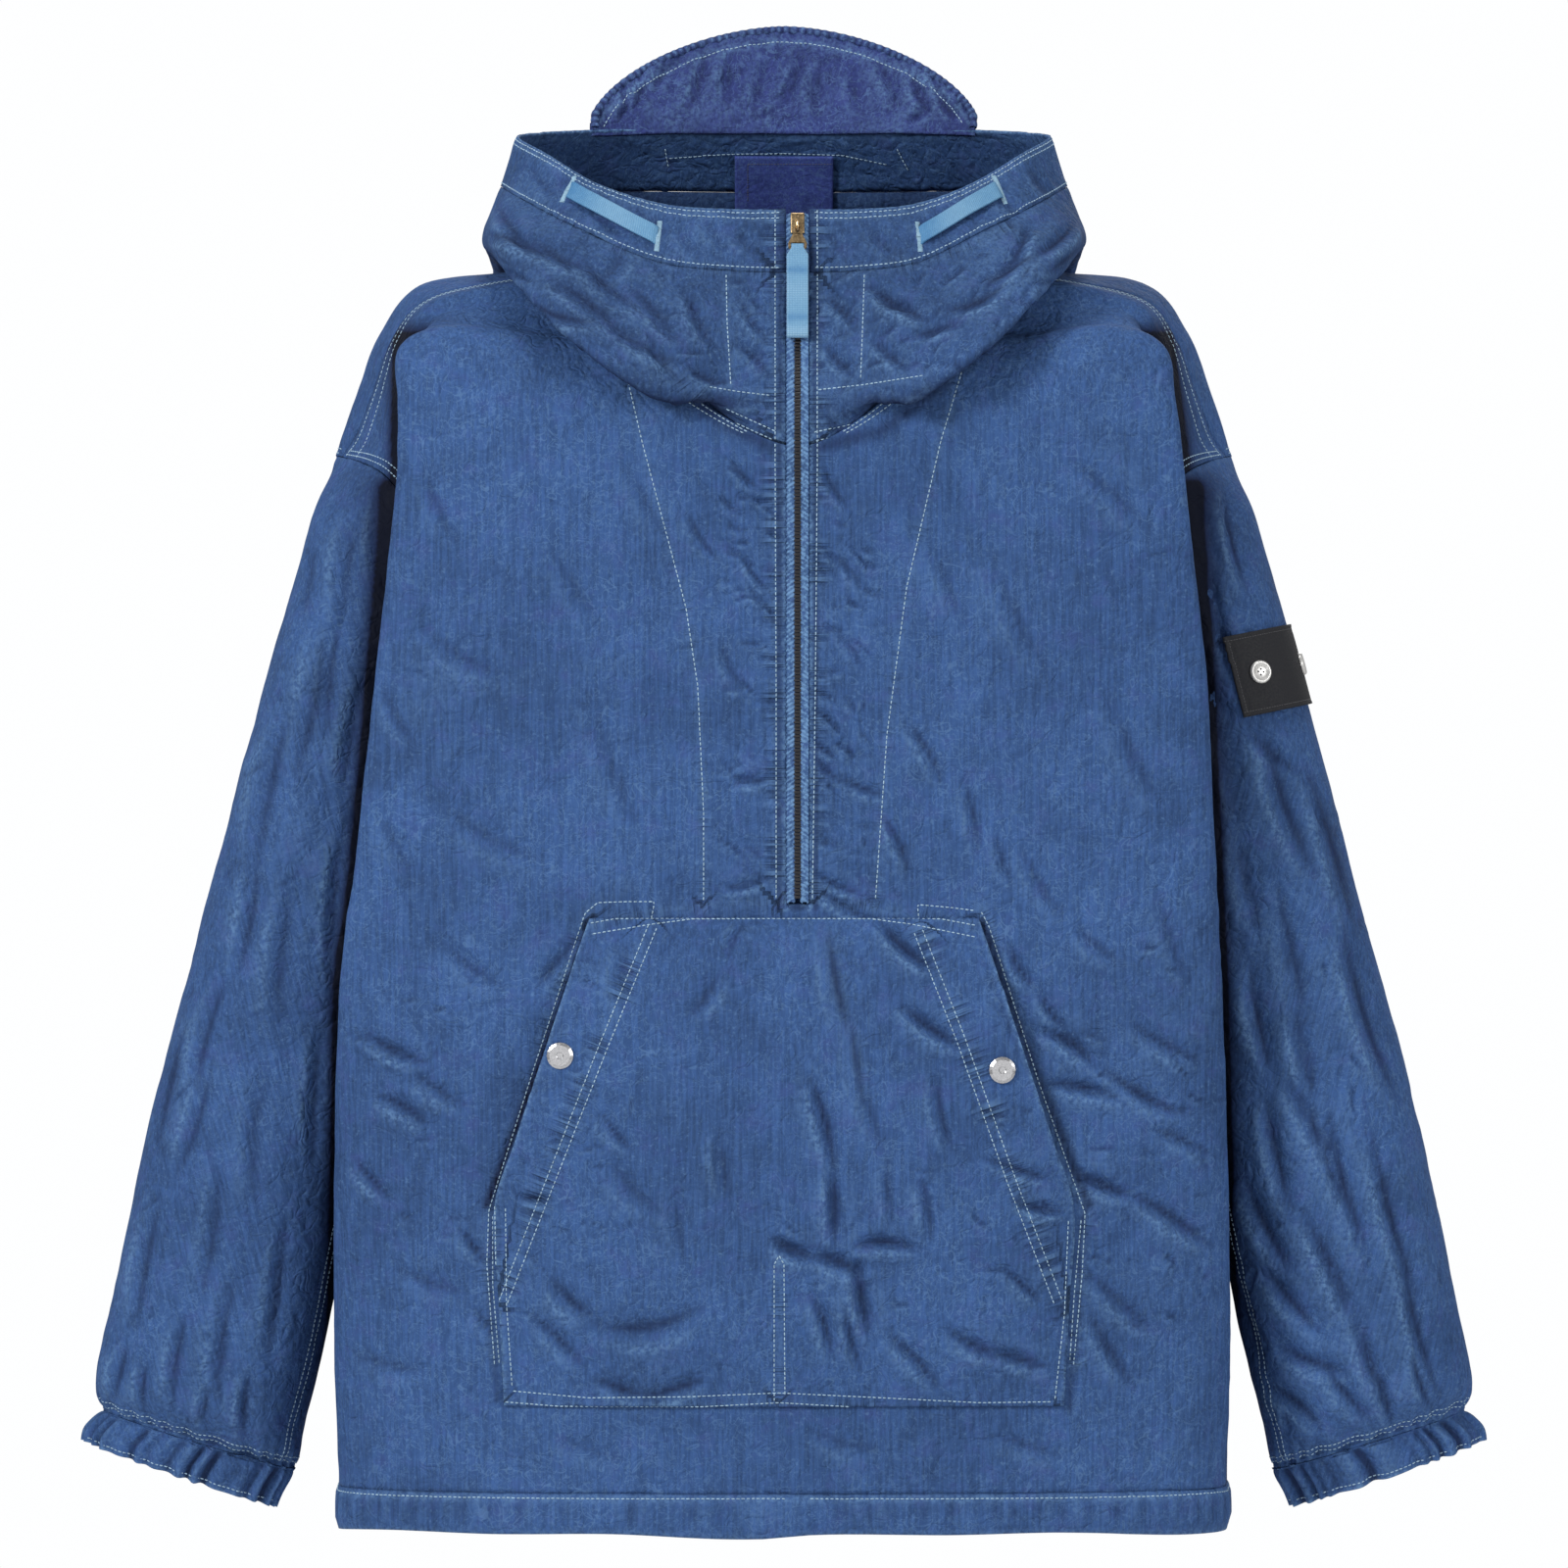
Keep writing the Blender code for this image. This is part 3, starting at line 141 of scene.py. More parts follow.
# Each row: place round, place on the neck seam, then x y z of ring, stitch, bulge, fold, tuck and under
HOOD = np.array([
    (0.00, 0.00, 0.0066, -0.080, 0.0012, 0.0066, -0.093, -0.0350, 0.0066, -0.104, -0.066,
     0.0066, -0.113, -0.096, 0.0066, -0.117, -0.115, 0.0066, -0.119, -0.124),
    (0.12, 0.32, 0.034, -0.079, 0.0012, 0.036, -0.093, -0.0340, 0.037, -0.108, -0.064,
     0.038, -0.122, -0.098, 0.040, -0.1265, -0.1085, 0.046, -0.1245, -0.1085),
    (0.24, 0.80, 0.070, -0.072, 0.0045, 0.073, -0.091, -0.0290, 0.077, -0.115, -0.060,
     0.075, -0.139, -0.096, 0.075, -0.136, -0.107, 0.073, -0.126, -0.102),
    (0.36, 1.50, 0.105, -0.055, 0.0170, 0.116, -0.076, -0.0090, 0.126, -0.104, -0.036,
     0.118, -0.136, -0.070, 0.116, -0.134, -0.077, 0.112, -0.121, -0.067),
    (0.48, 2.80, 0.135, -0.030, 0.0360, 0.146, -0.045, 0.0080, 0.160, -0.066, -0.014,
     0.148, -0.097, -0.043, 0.143, -0.095, -0.045, 0.136, -0.082, -0.036),
    (0.57, 3.40, 0.152, 0.004, 0.0475, 0.161, 0.000, 0.0190, 0.171, -0.008, -0.008,
     0.167, -0.012, -0.0190, 0.156, -0.012, -0.0210, 0.135, -0.008, -0.0160),
    (0.64, 3.80, 0.148, 0.027, 0.0515, 0.159, 0.030, 0.0200, 0.170, 0.038, -0.012,
     0.167, 0.050, -0.022, 0.157, 0.052, -0.024, 0.134, 0.050, -0.017),
    (0.68, 4.15, 0.141, 0.041, 0.0530, 0.154, 0.049, 0.0210, 0.167, 0.068, -0.015,
     0.165, 0.091, -0.036, 0.156, 0.092, -0.038, 0.133, 0.087, -0.018),
    (0.72, 4.60, 0.134, 0.051, 0.0545, 0.147, 0.064, 0.0220, 0.163, 0.095, -0.020,
     0.159, 0.128, -0.062, 0.150, 0.121, -0.066, 0.124, 0.113, -0.024),
    (0.85, 5.45, 0.086, 0.077, 0.0580, 0.097, 0.101, 0.0240, 0.112, 0.142, -0.038,
     0.108, 0.159, -0.112, 0.101, 0.149, -0.116, 0.092, 0.126, -0.040),
    (1.00, 6.00, 0.000, 0.088, 0.0590, 0.000, 0.116, 0.0240, 0.000, 0.154, -0.042,
     0.000, 0.167, -0.128, 0.000, 0.152, -0.134, 0.000, 0.128, -0.055),
])
# Each edge: z half lift_middle lift_edge
POCKET = np.array([
    (-0.6690, 0.1560, 0.0002, 0.0002),
    (-0.6100, 0.1590, 0.0085, 0.0002),
    (-0.5600, 0.1615, 0.0115, 0.0004),
    (-0.5200, 0.1485, 0.0130, 0.0085),
    (-0.4600, 0.1290, 0.0120, 0.0095),
    (-0.4150, 0.1145, 0.0060, 0.0045),
    (-0.3970, 0.1085, 0.0002, 0.0002),
])
VISOR_HALF, VISOR_HEIGHT = 0.111, 0.060
VISOR_LEAN = math.radians(18)
VISOR_POWER = 1.7
PIPING_RADIUS = 0.0024
LOOP_AT, LOOP_DROP, LOOP_WIDTH = (0.245, 0.405), (0.60, 0.44), 0.0118

# ---------------------------------------------------------------- the view that the looks were drawn in
EYE = np.array((0.0, -5.0, -0.322))
PIXEL = 0.00056             # metres to one of 1600 across, at the middle of the parka


def picture(points):
    """Where points show, as columns and rows of a frame 1600 wide."""
    near = 5.0 / (5.0 + points[..., 1])
    return np.stack([800.0 + points[..., 0] * near / PIXEL,
                     800.0 - (points[..., 2] - EYE[2]) * near / PIXEL], -1)


def sight(u, v):
    """Direction from the camera through a place of that frame."""
    aim = np.array([(u - 800.0) * PIXEL, 5.0, (800.0 - v) * PIXEL])
    return Vector(aim / np.linalg.norm(aim))


# ---------------------------------------------------------------- curves and surfaces
def catmull(a, b, c, d, t):
    """Place t, from 0 to 1, of a Catmull-Rom curve's stretch from b to c."""
    return 0.5 * (2 * b + (c - a) * t + (2 * a - 5 * b + 4 * c - d) * t ** 2
                  + (3 * b - a - 3 * c + d) * t ** 3)


def spline(knots, at):
    """Catmull-Rom curves through rows of knots, at places from 0 to the last row."""
    knots, at = np.asarray(knots, float), np.asarray(at, float)
    last = len(knots) - 1
    start = np.clip(at.astype(int), 0, last - 1)
    t = (at - start).reshape(at.shape + (1,) * (knots.ndim - 1))
    return catmull(*(knots[np.clip(start + k, 0, last)] for k in (-1, 0, 1, 2)), t)


def unit(vectors):
    """These vectors made 1 long."""
    return vectors / np.maximum(np.linalg.norm(vectors, axis=-1, keepdims=True), 1e-12)


def run_along(points):
    """Length of a row of points, from the first to each."""
    return np.concatenate([[0.0], np.cumsum(np.linalg.norm(np.diff(points, axis=0), axis=1))])


def at_places(places, run, points):
    """Points of a row at lengths along it, given the length to each of its own points."""
    return np.stack([np.interp(places, run, points[:, n]) for n in range(3)], -1)


def rounded(wave, power):
    """A sine or cosine bent so that two of them trace a rounder or squarer oval."""
    return np.sign(wave) * np.abs(wave) ** (2.0 / power)


def blended(knots, t):
    """One point of each Bezier curve, knots being four arrays of points and t one number for each."""
    a, b, c, d = knots
    t = t[..., None]
    s = 1.0 - t
    return a * s ** 3 + 3 * b * s * s * t + 3 * c * s * t * t + d * t ** 3


def main_point(rows, side, at, across):
    """Body panel from its centre line (across 0) over the side fold (1) to its edge (2)."""
    at, across = np.broadcast_arrays(np.asarray(at, float), np.asarray(across, float))
    row = spline(rows, at)
    mid_y, mid_z, fold_x, skew, fold_y, fold_z, side_x, side_y, side_z = np.moveaxis(row, -1, 0)
    fold_x = fold_x + side * skew
    start = SLIT if rows is FRONT else 0.0
    angle = 0.5 * math.pi * np.clip(across, 0.0, 1.0)
    power = 2.0 / ROUNDNESS
    x = start + (fold_x - start) * np.sin(angle) ** power
    y = fold_y + (mid_y - fold_y) * np.maximum(np.cos(angle), 0.0) ** power
    z = mid_z + (fold_z - mid_z) * np.maximum(x / fold_x, 0.0) ** 1.6
    facing = np.sign(mid_y)
    edge_y = np.where(at <= PIT_ROW, 0.5 * SEAM_GAP * facing, side_y)
    turn = -facing * np.minimum(LIP_TURN, 0.35 * np.abs(edge_y - fold_y))
    knots = (
        np.stack([fold_x, fold_y, fold_z], -1),
        np.stack([fold_x, fold_y + turn, fold_z], -1),
        np.stack([side_x, fold_y + 1.7 * turn, 0.5 * (side_z + fold_z)], -1),
        np.stack([side_x, edge_y, side_z], -1),
    )
    lip = blended(knots, np.clip(across - 1.0, 0.0, 1.0))
    point = np.where((across <= 1.0)[..., None], np.stack([x, y, z], -1), lip)
    if rows is FRONT:
        shift = ZIP_X * np.maximum(0.0, 1.0 - (point[..., 0] - SLIT) / 0.10)
        point[..., 0] += side * shift
    point[..., 0] *= side
    return point


def flap_point(rows, side, at, across):
    """Dropped shoulder from the panel's side fold (across 0) to the shoulder seam (1)."""
    at, across = np.broadcast_arrays(np.asarray(at, float), np.asarray(across, float))
    line = spline(SHOULDER, np.clip(at - FLAP_ROW, 0, None))
    front, back = main_point(FRONT, side, at, 2.0), main_point(BACK, side, at, 2.0)
    mirror = np.array([side, 1.0, 1.0])
    seam, ridge = line[..., 0:3] * mirror, line[..., 3:6] * mirror
    full = 0.5 * (front + seam)
    full[..., 1:] += line[..., 6:8]
    rear = 0.5 * (back + ridge)
    rear[..., 0] += side * 0.25 * np.abs(ridge[..., 0] - back[..., 0])
    rear[..., 1:] += (0.010, 0.004)
    knots = np.stack([front, full, seam, ridge, rear, back])
    where = 1.98 * across if rows is FRONT else 5.0 - 3.0 * across
    where = np.clip(where, 0.0, 5.0)
    start = np.clip(where.astype(int), 0, 4)
    near = [np.take_along_axis(knots, np.clip(start + k, 0, 5)[None, ..., None], 0)[0]
            for k in (-1, 0, 1, 2)]
    return catmull(*near, (where - start)[..., None])


def panel_point(rows, side, at, across):
    """Body panel and its dropped shoulder: the side fold at 1, the edge at 2, the shoulder seam at 3."""
    at, across = np.broadcast_arrays(np.asarray(at, float), np.asarray(across, float))
    main = main_point(rows, side, at, np.minimum(across, 2.0))
    flap = flap_point(rows, side, at, np.clip(across - 2.0, 0.0, 1.0))
    return np.where((across <= 2.0)[..., None], main, flap)


def armhole(side):
    """The armhole's knots, from the drop point round the front to the armpit and the back."""
    loop = []
    for rows in (FRONT, BACK):
        half = [flap_point(rows, side, float(FLAP_ROW), 1.0 - k / 4) for k in range(4)]
        below = np.arange(FLAP_ROW, PIT_ROW - 0.25, -0.5)
        loop.append(half + [main_point(rows, side, at, 2.0) for at in below])
    return np.array(loop[0] + loop[1][-2:0:-1])


def closed_curve(loop, turn):
    """A closed smooth curve through the points of a loop."""
    count = len(loop)
    at = (np.asarray(turn, float) % 1.0) * count
    padded = np.concatenate([loop[-1:], loop, loop[:2]])
    return spline(padded, at + 1.0)


def ring_points(rings, side, turn):
    """Points of sleeve rings (rows) at places round them (columns)."""
    out_x, out_z, in_x, in_z, mid_y, deep, power = (c[:, None] for c in rings.T)
    angle = 2.0 * math.pi * np.asarray(turn)[None, :]
    along, depth = rounded(np.cos(angle), power), rounded(np.sin(angle), power)
    reach = 0.5 * np.stack([out_x - in_x, np.zeros_like(out_x), out_z - in_z], -1)
    middle = 0.5 * np.stack([out_x + in_x, np.zeros_like(out_x), out_z + in_z], -1)
    point = middle + reach * along[..., None]
    point[..., 1] = mid_y - deep * depth
    point[..., 0] *= side
    return point


def sleeve_points(side, at, turn):
    """Sleeve surface, with rows at 0 on the armhole and 1, 2, ... on its rings."""
    rings = ring_points(SLEEVE, side, turn)
    edge = closed_curve(armhole(side), turn)
    start = edge + unit(rings[0] - edge) * SEAM_GAP
    return spline(np.concatenate([start[None], rings]), at)


def neck_point(side, place):
    """The neck seam, from the zip (0) over the shoulder (3) to the centre back (6)."""
    place = np.asarray(place, float)
    front = panel_point(FRONT, side, float(NECK_ROW), np.clip(place, 0.0, 3.0))
    back = panel_point(BACK, side, float(NECK_ROW), np.clip(6.0 - place, 0.0, 3.0))
    return np.where((place <= 3.0)[..., None], front, back)


def hood_lines(side, at):
    """The hood's seven lines at places round it: (7, places, 3), from the opening to the neck seam."""
    at = np.asarray(at, float)
    row = spline(HOOD, np.interp(at, HOOD[:, 0], np.arange(len(HOOD))))
    lines = np.moveaxis(row[:, 2:].reshape(-1, 6, 3), 1, 0).copy()
    shift = np.where(lines[..., 1] < 0.0, ZIP_X * np.maximum(0.0, 1.0 - (lines[..., 0] - SLIT) / 0.10), 0.0)
    lines[..., 0] = side * (lines[..., 0] + side * shift)
    seam = neck_point(side, row[:, 1])
    outward = unit(seam * (1.0, 1.0, 0.0))
    lap = LAP_GAP * np.minimum(1.0, at / 0.10)
    seam = seam + outward * 2.0 * lap[:, None]
    seam[:, 2] += LAP_GAP + 1.2 * lap
    return np.concatenate([lines, seam[None]])


def hood_points(side, at, down):
    """Hood surface with rows down its lines and columns round it."""
    return spline(hood_lines(side, at), down)


def hood_place(side, at, down):
    """One point of the hood."""
    return hood_points(side, [at], np.array([down]))[0, 0]


def even(curve, low, high, step, marks=()):
    """Places between two ends that are about one step apart on a curve, with the marks among them."""
    ends = [low, *sorted(marks), high]
    found = []
    for a, b in zip(ends, ends[1:]):
        fine = np.linspace(a, b, 400)
        run = run_along(curve(fine))
        count = max(1, int(round(run[-1] / step)))
        found.append(np.interp(np.linspace(0, run[-1], count + 1), run, fine)[:-1])
    return np.concatenate(found + [[high]])


# ---------------------------------------------------------------- relief
def noise(points, size, seed):
    """Smooth noise from about -1 to 1, with lumps of one size, the same in each run."""
    p = points / size + seed * 17.31
    cell = np.floor(p).astype(np.int64)
    f = p - cell
    w = f ** 3 * (f * (f * 6 - 15) + 10)
    total = np.zeros(p.shape[:-1])
    for k in range(8):
        d = np.array([k & 1, (k >> 1) & 1, k >> 2])
        c = cell + d
        h = (c[..., 0] * 73856093) ^ (c[..., 1] * 19349663) ^ (c[..., 2] * 83492791) ^ (seed * 2654435)
        h = (h ^ (h >> 13)) * 1274126177 & 0x7FFFFFFF
        tilt, turn = (h % 1009) / 1009.0 * 2 - 1, (h // 1009 % 997) / 997.0 * 2 * math.pi
        flat = np.sqrt(1 - tilt * tilt)
        slope = np.stack([flat * np.cos(turn), flat * np.sin(turn), tilt], -1)
        part = np.where(d == 1, w, 1 - w).prod(-1)
        total += part * (slope * (f - d)).sum(-1)
    return 1.6 * total


def smooth(x, low, high):
    """0 below low and 1 above high, with a soft step between."""
    t = np.clip((x - low) / (high - low), 0.0, 1.0)
    return t * t * (3 - 2 * t)


def crinkle(points, seed, amount=1.0):
    """Fine random creases of washed cloth, in metres."""
    bent = points + 0.010 * np.stack([noise(points, 0.05, seed + k) for k in (1, 2, 3)], -1)
    sharp = 0.0
    for size, deep, k in ((0.060, 0.00130, 4), (0.030, 0.00080, 5), (0.014, 0.00042, 6)):
        n = noise(bent, size, seed + k)
        lumps = noise(points, size, seed + k + 9)
        sharp = sharp + deep * (0.45 - np.sqrt(n * n + 0.004)) + 0.35 * deep * lumps
    strength = 0.65 + 0.6 * noise(points, 0.12, seed + 31)
    return amount * sharp * np.clip(strength, 0.2, 1.4)


def bell(x, wide, middle=0.0):
    """1 at the middle, falling to 0 on both sides."""
    return np.exp(-((x - middle) / wide) ** 2)


def stroke_marks(places, strokes):
    """For each fold, (u0, v0, u1, v1, half width, depth in mm, bow): its points, fade, offset and depth."""
    for u0, v0, u1, v1, wide, deep, bow in strokes:
        length = np.hypot(u1 - u0, v1 - v0)
        run = np.array([u1 - u0, v1 - v0]) / length
        rel = places - (u0, v0)
        t = rel @ run / length
        tt = np.clip(t, 0, 1)
        d = rel @ np.array([-run[1], run[0]]) - bow * 4 * tt * (1 - tt)
        near = (t > 0) & (t < 1) & (np.abs(d) < 5 * wide)
        if near.any():
            fade = np.sin(math.pi * tt[near]) ** 0.7
            yield near, fade, d[near] / (wide * (0.6 + 0.4 * fade)), deep


def creases(places, strokes):
    """Height in metres of the listed folds."""
    total = np.zeros(places.shape[:-1])
    for near, fade, d, deep in stroke_marks(places, strokes):
        total[near] += deep * 1e-3 * fade * (0.6 * np.exp(-(d - 1.7) ** 2 / 1.5) - np.exp(-d * d)
                                             + 0.25 * np.exp(-(d + 2.0) ** 2 / 2.0))
    return total


def fold_lines(places, strokes):
    """Painted shade lines at the bottoms of the folds and painted highlight lines on their ridges, each from
    0 to 1.
    """
    dark, pale = np.zeros(places.shape[:-1]), np.zeros(places.shape[:-1])
    for near, fade, d, deep in stroke_marks(places, strokes):
        strength = fade * min(abs(deep) / 1.6, 1.0)
        dark[near] = np.maximum(dark[near], strength * np.exp(-(2.3 * d) ** 2))
        pale[near] = np.maximum(pale[near], strength * np.exp(-(2.4 * (d - 1.5)) ** 2))
    return dark, pale


def scattered(seed, count, box, lean, spread, deep):
    """Small creases strewn over an area of the picture, about one direction in degrees."""
    random = np.random.default_rng(seed)
    found = []
    for _ in range(count):
        u, v = random.uniform(box[0], box[2]), random.uniform(box[1], box[3])
        turn = math.radians(lean + random.normal(0.0, spread))
        half = random.uniform(6.0, 19.0)
        du, dv = half * math.cos(turn), half * math.sin(turn)
        found.append((u - du, v - dv, u + du, v + dv, random.uniform(2.3, 4.2),
                      deep * random.uniform(0.5, 1.3), random.uniform(-3.0, 3.0)))
    return found


def along_line(places, line):
    """Distance to a drawn line, length along it and side of it, for each place."""
    best = np.full(places.shape[:-1], 1e9)
    run_at = np.zeros(places.shape[:-1])
    side_of = np.zeros(places.shape[:-1])
    run = 0.0
    for a, b in zip(line, line[1:]):
        a, b = np.array(a, float), np.array(b, float)
        ab = b - a
        length = np.hypot(*ab)
        t = np.clip(((places - a) @ ab) / length ** 2, 0, 1)
        gap = places - a - t[..., None] * ab
        d = np.hypot(gap[..., 0], gap[..., 1])
        near = d < best
        best = np.where(near, d, best)
        run_at = np.where(near, run + t * length, run_at)
        side_of = np.where(near, np.sign(ab[0] * gap[..., 1] - ab[1] * gap[..., 0]), side_of)
        run += length
    return best, run_at, side_of


def puckers(beside, pitch, reach, deep, seed):
    """Ripples that a row of stitches draws up across itself, in metres, from what along_line gives."""
    d, s, side = beside
    flat = np.stack([s / pitch, np.full_like(s, 0.37), np.full_like(s, seed * 1.7)], -1)
    phase = 2 * math.pi * (s / pitch + 0.55 * noise(flat, 2.3, seed)) + 0.5 * side * d / pitch
    strength = 0.65 + 0.7 * noise(flat, 3.1, seed + 5)
    lines = np.maximum(np.cos(phase), -0.55) - 0.1
    return deep * 1e-3 * lines * bell(d, reach) * np.clip(strength, 0.1, 1.3)


# ---------------------------------------------------------------- drawn lines of the front, in the picture
FACING_LEFT = [(632, 350), (655, 450), (700, 620), (712, 700), (718, 830), (718, 922)]
FACING_RIGHT = [(990, 350), (960, 450), (925, 600), (905, 750), (893, 922)]
ZIP_LEFT = [(791, 214), (791, 300), (791, 470), (792, 700), (792, 921)]
ZIP_RIGHT = [(834, 214), (834, 300), (834, 470), (832, 700), (829, 921)]
NECK_LEFT = [(680, 370), (700, 398), (735, 430), (790, 455)]
NECK_RIGHT = [(833, 455), (880, 445), (920, 420), (950, 393)]
CHIN_LINES = [
    [(741, 280), (742, 330), (746, 398)], [(882, 280), (880, 340), (878, 392)],
    [(724, 395), (755, 400), (789, 404)], [(834, 398), (880, 393), (945, 383)],
]
POCKET_TOP = [(602, 942), (665, 931), (735, 922), (800, 920), (870, 923), (930, 932), (1000, 945)]
POCKET_TOP_INNER = [(604, 953), (665, 943), (735, 934), (800, 932), (870, 935), (930, 943), (1000, 957)]
POCKET_SIDES = [
    [(505, 1230), (507, 1330), (513, 1430)], [(516, 1232), (517, 1330), (523, 1419)],
    [(1101, 1240), (1096, 1340), (1086, 1441)], [(1090, 1245), (1086, 1340), (1076, 1430)],
]
POCKET_BOTTOM = [
    [(513, 1430), (600, 1437), (700, 1436), (795, 1431), (900, 1437), (1000, 1441), (1086, 1441)],
    [(523, 1419), (600, 1426), (700, 1425), (795, 1421), (900, 1426), (1000, 1431), (1076, 1430)],
]
POCKET_FACING = [
    [(662, 943), (610, 1070), (555, 1210), (507, 1333)],
    [(941, 948), (985, 1060), (1035, 1200), (1085, 1330)],
]
POCKET_MIDDLE = [[(790, 1430), (790, 1290), (795, 1281), (800, 1290), (801, 1430)]]
POCKET_CORNERS = [
    [(610, 921), (640, 920), (668, 920), (664, 941)], [(938, 941), (936, 923), (970, 926), (1001, 930)],
]
BODY_SIDE = [
    [(610, 921), (597, 932), (545, 1090), (499, 1235), (497, 1290), (505, 1395)],
    [(1001, 930), (1009, 945), (1060, 1105), (1107, 1238), (1104, 1300), (1095, 1395)],
    [(1103, 1244), (1096, 1320), (1091, 1395)], [(503, 1240), (503, 1310), (510, 1395)],
]
NECK_PATCH_EDGE = [(763, 206), (763, 168), (857, 168), (857, 206)]
INSIDE_ROWS = [
    [(682, 160), (740, 156), (800, 155), (860, 157), (912, 168)],
    [(678, 150), (682, 172)], [(915, 150), (930, 178)],
]
BAND_STITCHES = (
    [(517, 190), (555, 213), (588, 231), (616, 247), (646, 260), (707, 271), (750, 277), (791, 278)],
    [(834, 279), (878, 277), (922, 270), (965, 262), (1008, 245), (1041, 225), (1063, 210), (1084, 190)],
)

# Folds: u0 v0 u1 v1, half width, depth in mm, bow
BODY_FOLDS = [
    (756, 565, 790, 608, 4, 1.4, 3), (774, 608, 790, 636, 4, 1.2, -2), (741, 785, 790, 790, 5, 1.6, 10),
    (728, 908, 790, 892, 5, 1.5, 3), (829, 722, 858, 748, 4, 1.6, -2), (829, 750, 856, 775, 4, 1.6, 3),
    (830, 768, 862, 800, 5, 1.7, 3), (856, 792, 905, 812, 6, 1.4, 2), (829, 888, 880, 912, 5, 1.6, 3),
    (830, 905, 905, 950, 6, 1.2, 0), (923, 735, 962, 806, 7, 1.5, -6), (980, 790, 996, 880, 7, 1.4, -6),
    (900, 830, 930, 900, 6, 1.4, -4), (1016, 845, 1034, 905, 6, 1.2, 3), (700, 520, 735, 575, 7, 1.0, 3),
    (838, 470, 868, 520, 6, 1.2, 4), (840, 560, 880, 600, 6, 1.0, -4), (745, 470, 778, 500, 5, 1.2, 3),
    (735, 650, 762, 710, 6, 0.9, 4), (850, 640, 885, 690, 6, 0.8, -3), (1058, 1050, 1120, 1092, 8, 2.4, -8),
    (1062, 1105, 1150, 1124, 8, 2.2, -5), (1085, 1188, 1160, 1220, 8, 2.6, 4),
    (1120, 1085, 1215, 1140, 9, 1.6, 5), (1150, 1215, 1240, 1275, 10, 1.6, -4),
    (1060, 1010, 1088, 1050, 6, 1.6, 3), (1030, 960, 1062, 1012, 7, 1.8, 6),
    (1095, 940, 1150, 985, 9, 1.0, 4), (1100, 1290, 1180, 1360, 9, 1.2, 0),
    (1110, 1340, 1160, 1420, 9, 1.3, 0), (1150, 1040, 1232, 1085, 9, 1.2, 3),
    (1170, 1150, 1240, 1180, 8, 1.2, -3), (368, 1050, 440, 1085, 7, 2.2, 5),
    (380, 1115, 440, 1150, 8, 1.8, -4), (362, 1180, 402, 1225, 7, 1.6, 3),
    (420, 1090, 480, 1130, 8, 1.2, 3), (450, 960, 520, 1010, 10, 1.0, 4), (545, 1010, 590, 955, 8, 1.2, 0),
    (470, 1250, 498, 1290, 6, 1.6, 2), (400, 1290, 480, 1320, 9, 0.9, 4), (480, 1330, 510, 1370, 6, 1.4, 0),
    (432, 640, 520, 690, 12, 0.7, 6), (560, 560, 620, 660, 12, 0.6, -4), (1010, 560, 1080, 700, 13, 0.7, 6),
    (1090, 470, 1170, 540, 12, 0.8, -5), (1130, 700, 1190, 830, 12, 0.7, 5),
    (450, 820, 560, 880, 12, 0.7, 6), (600, 700, 660, 860, 12, 0.6, 5), (950, 560, 985, 650, 9, 0.7, -4),
    (1040, 860, 1090, 940, 9, 1.0, 4), (640, 470, 690, 560, 9, 0.6, 4), (430, 470, 470, 560, 10, 0.7, 4),
    (1180, 900, 1215, 1010, 9, 0.8, 3), (392, 700, 425, 760, 8, 0.9, 4), (385, 830, 420, 900, 8, 0.8, -3),
    (360, 1380, 440, 1400, 9, 0.8, 3), (560, 1460, 640, 1490, 9, 0.7, 3), (820, 1455, 900, 1480, 9, 0.8, 4),
    (1000, 1462, 1090, 1490, 9, 0.8, -3),
]
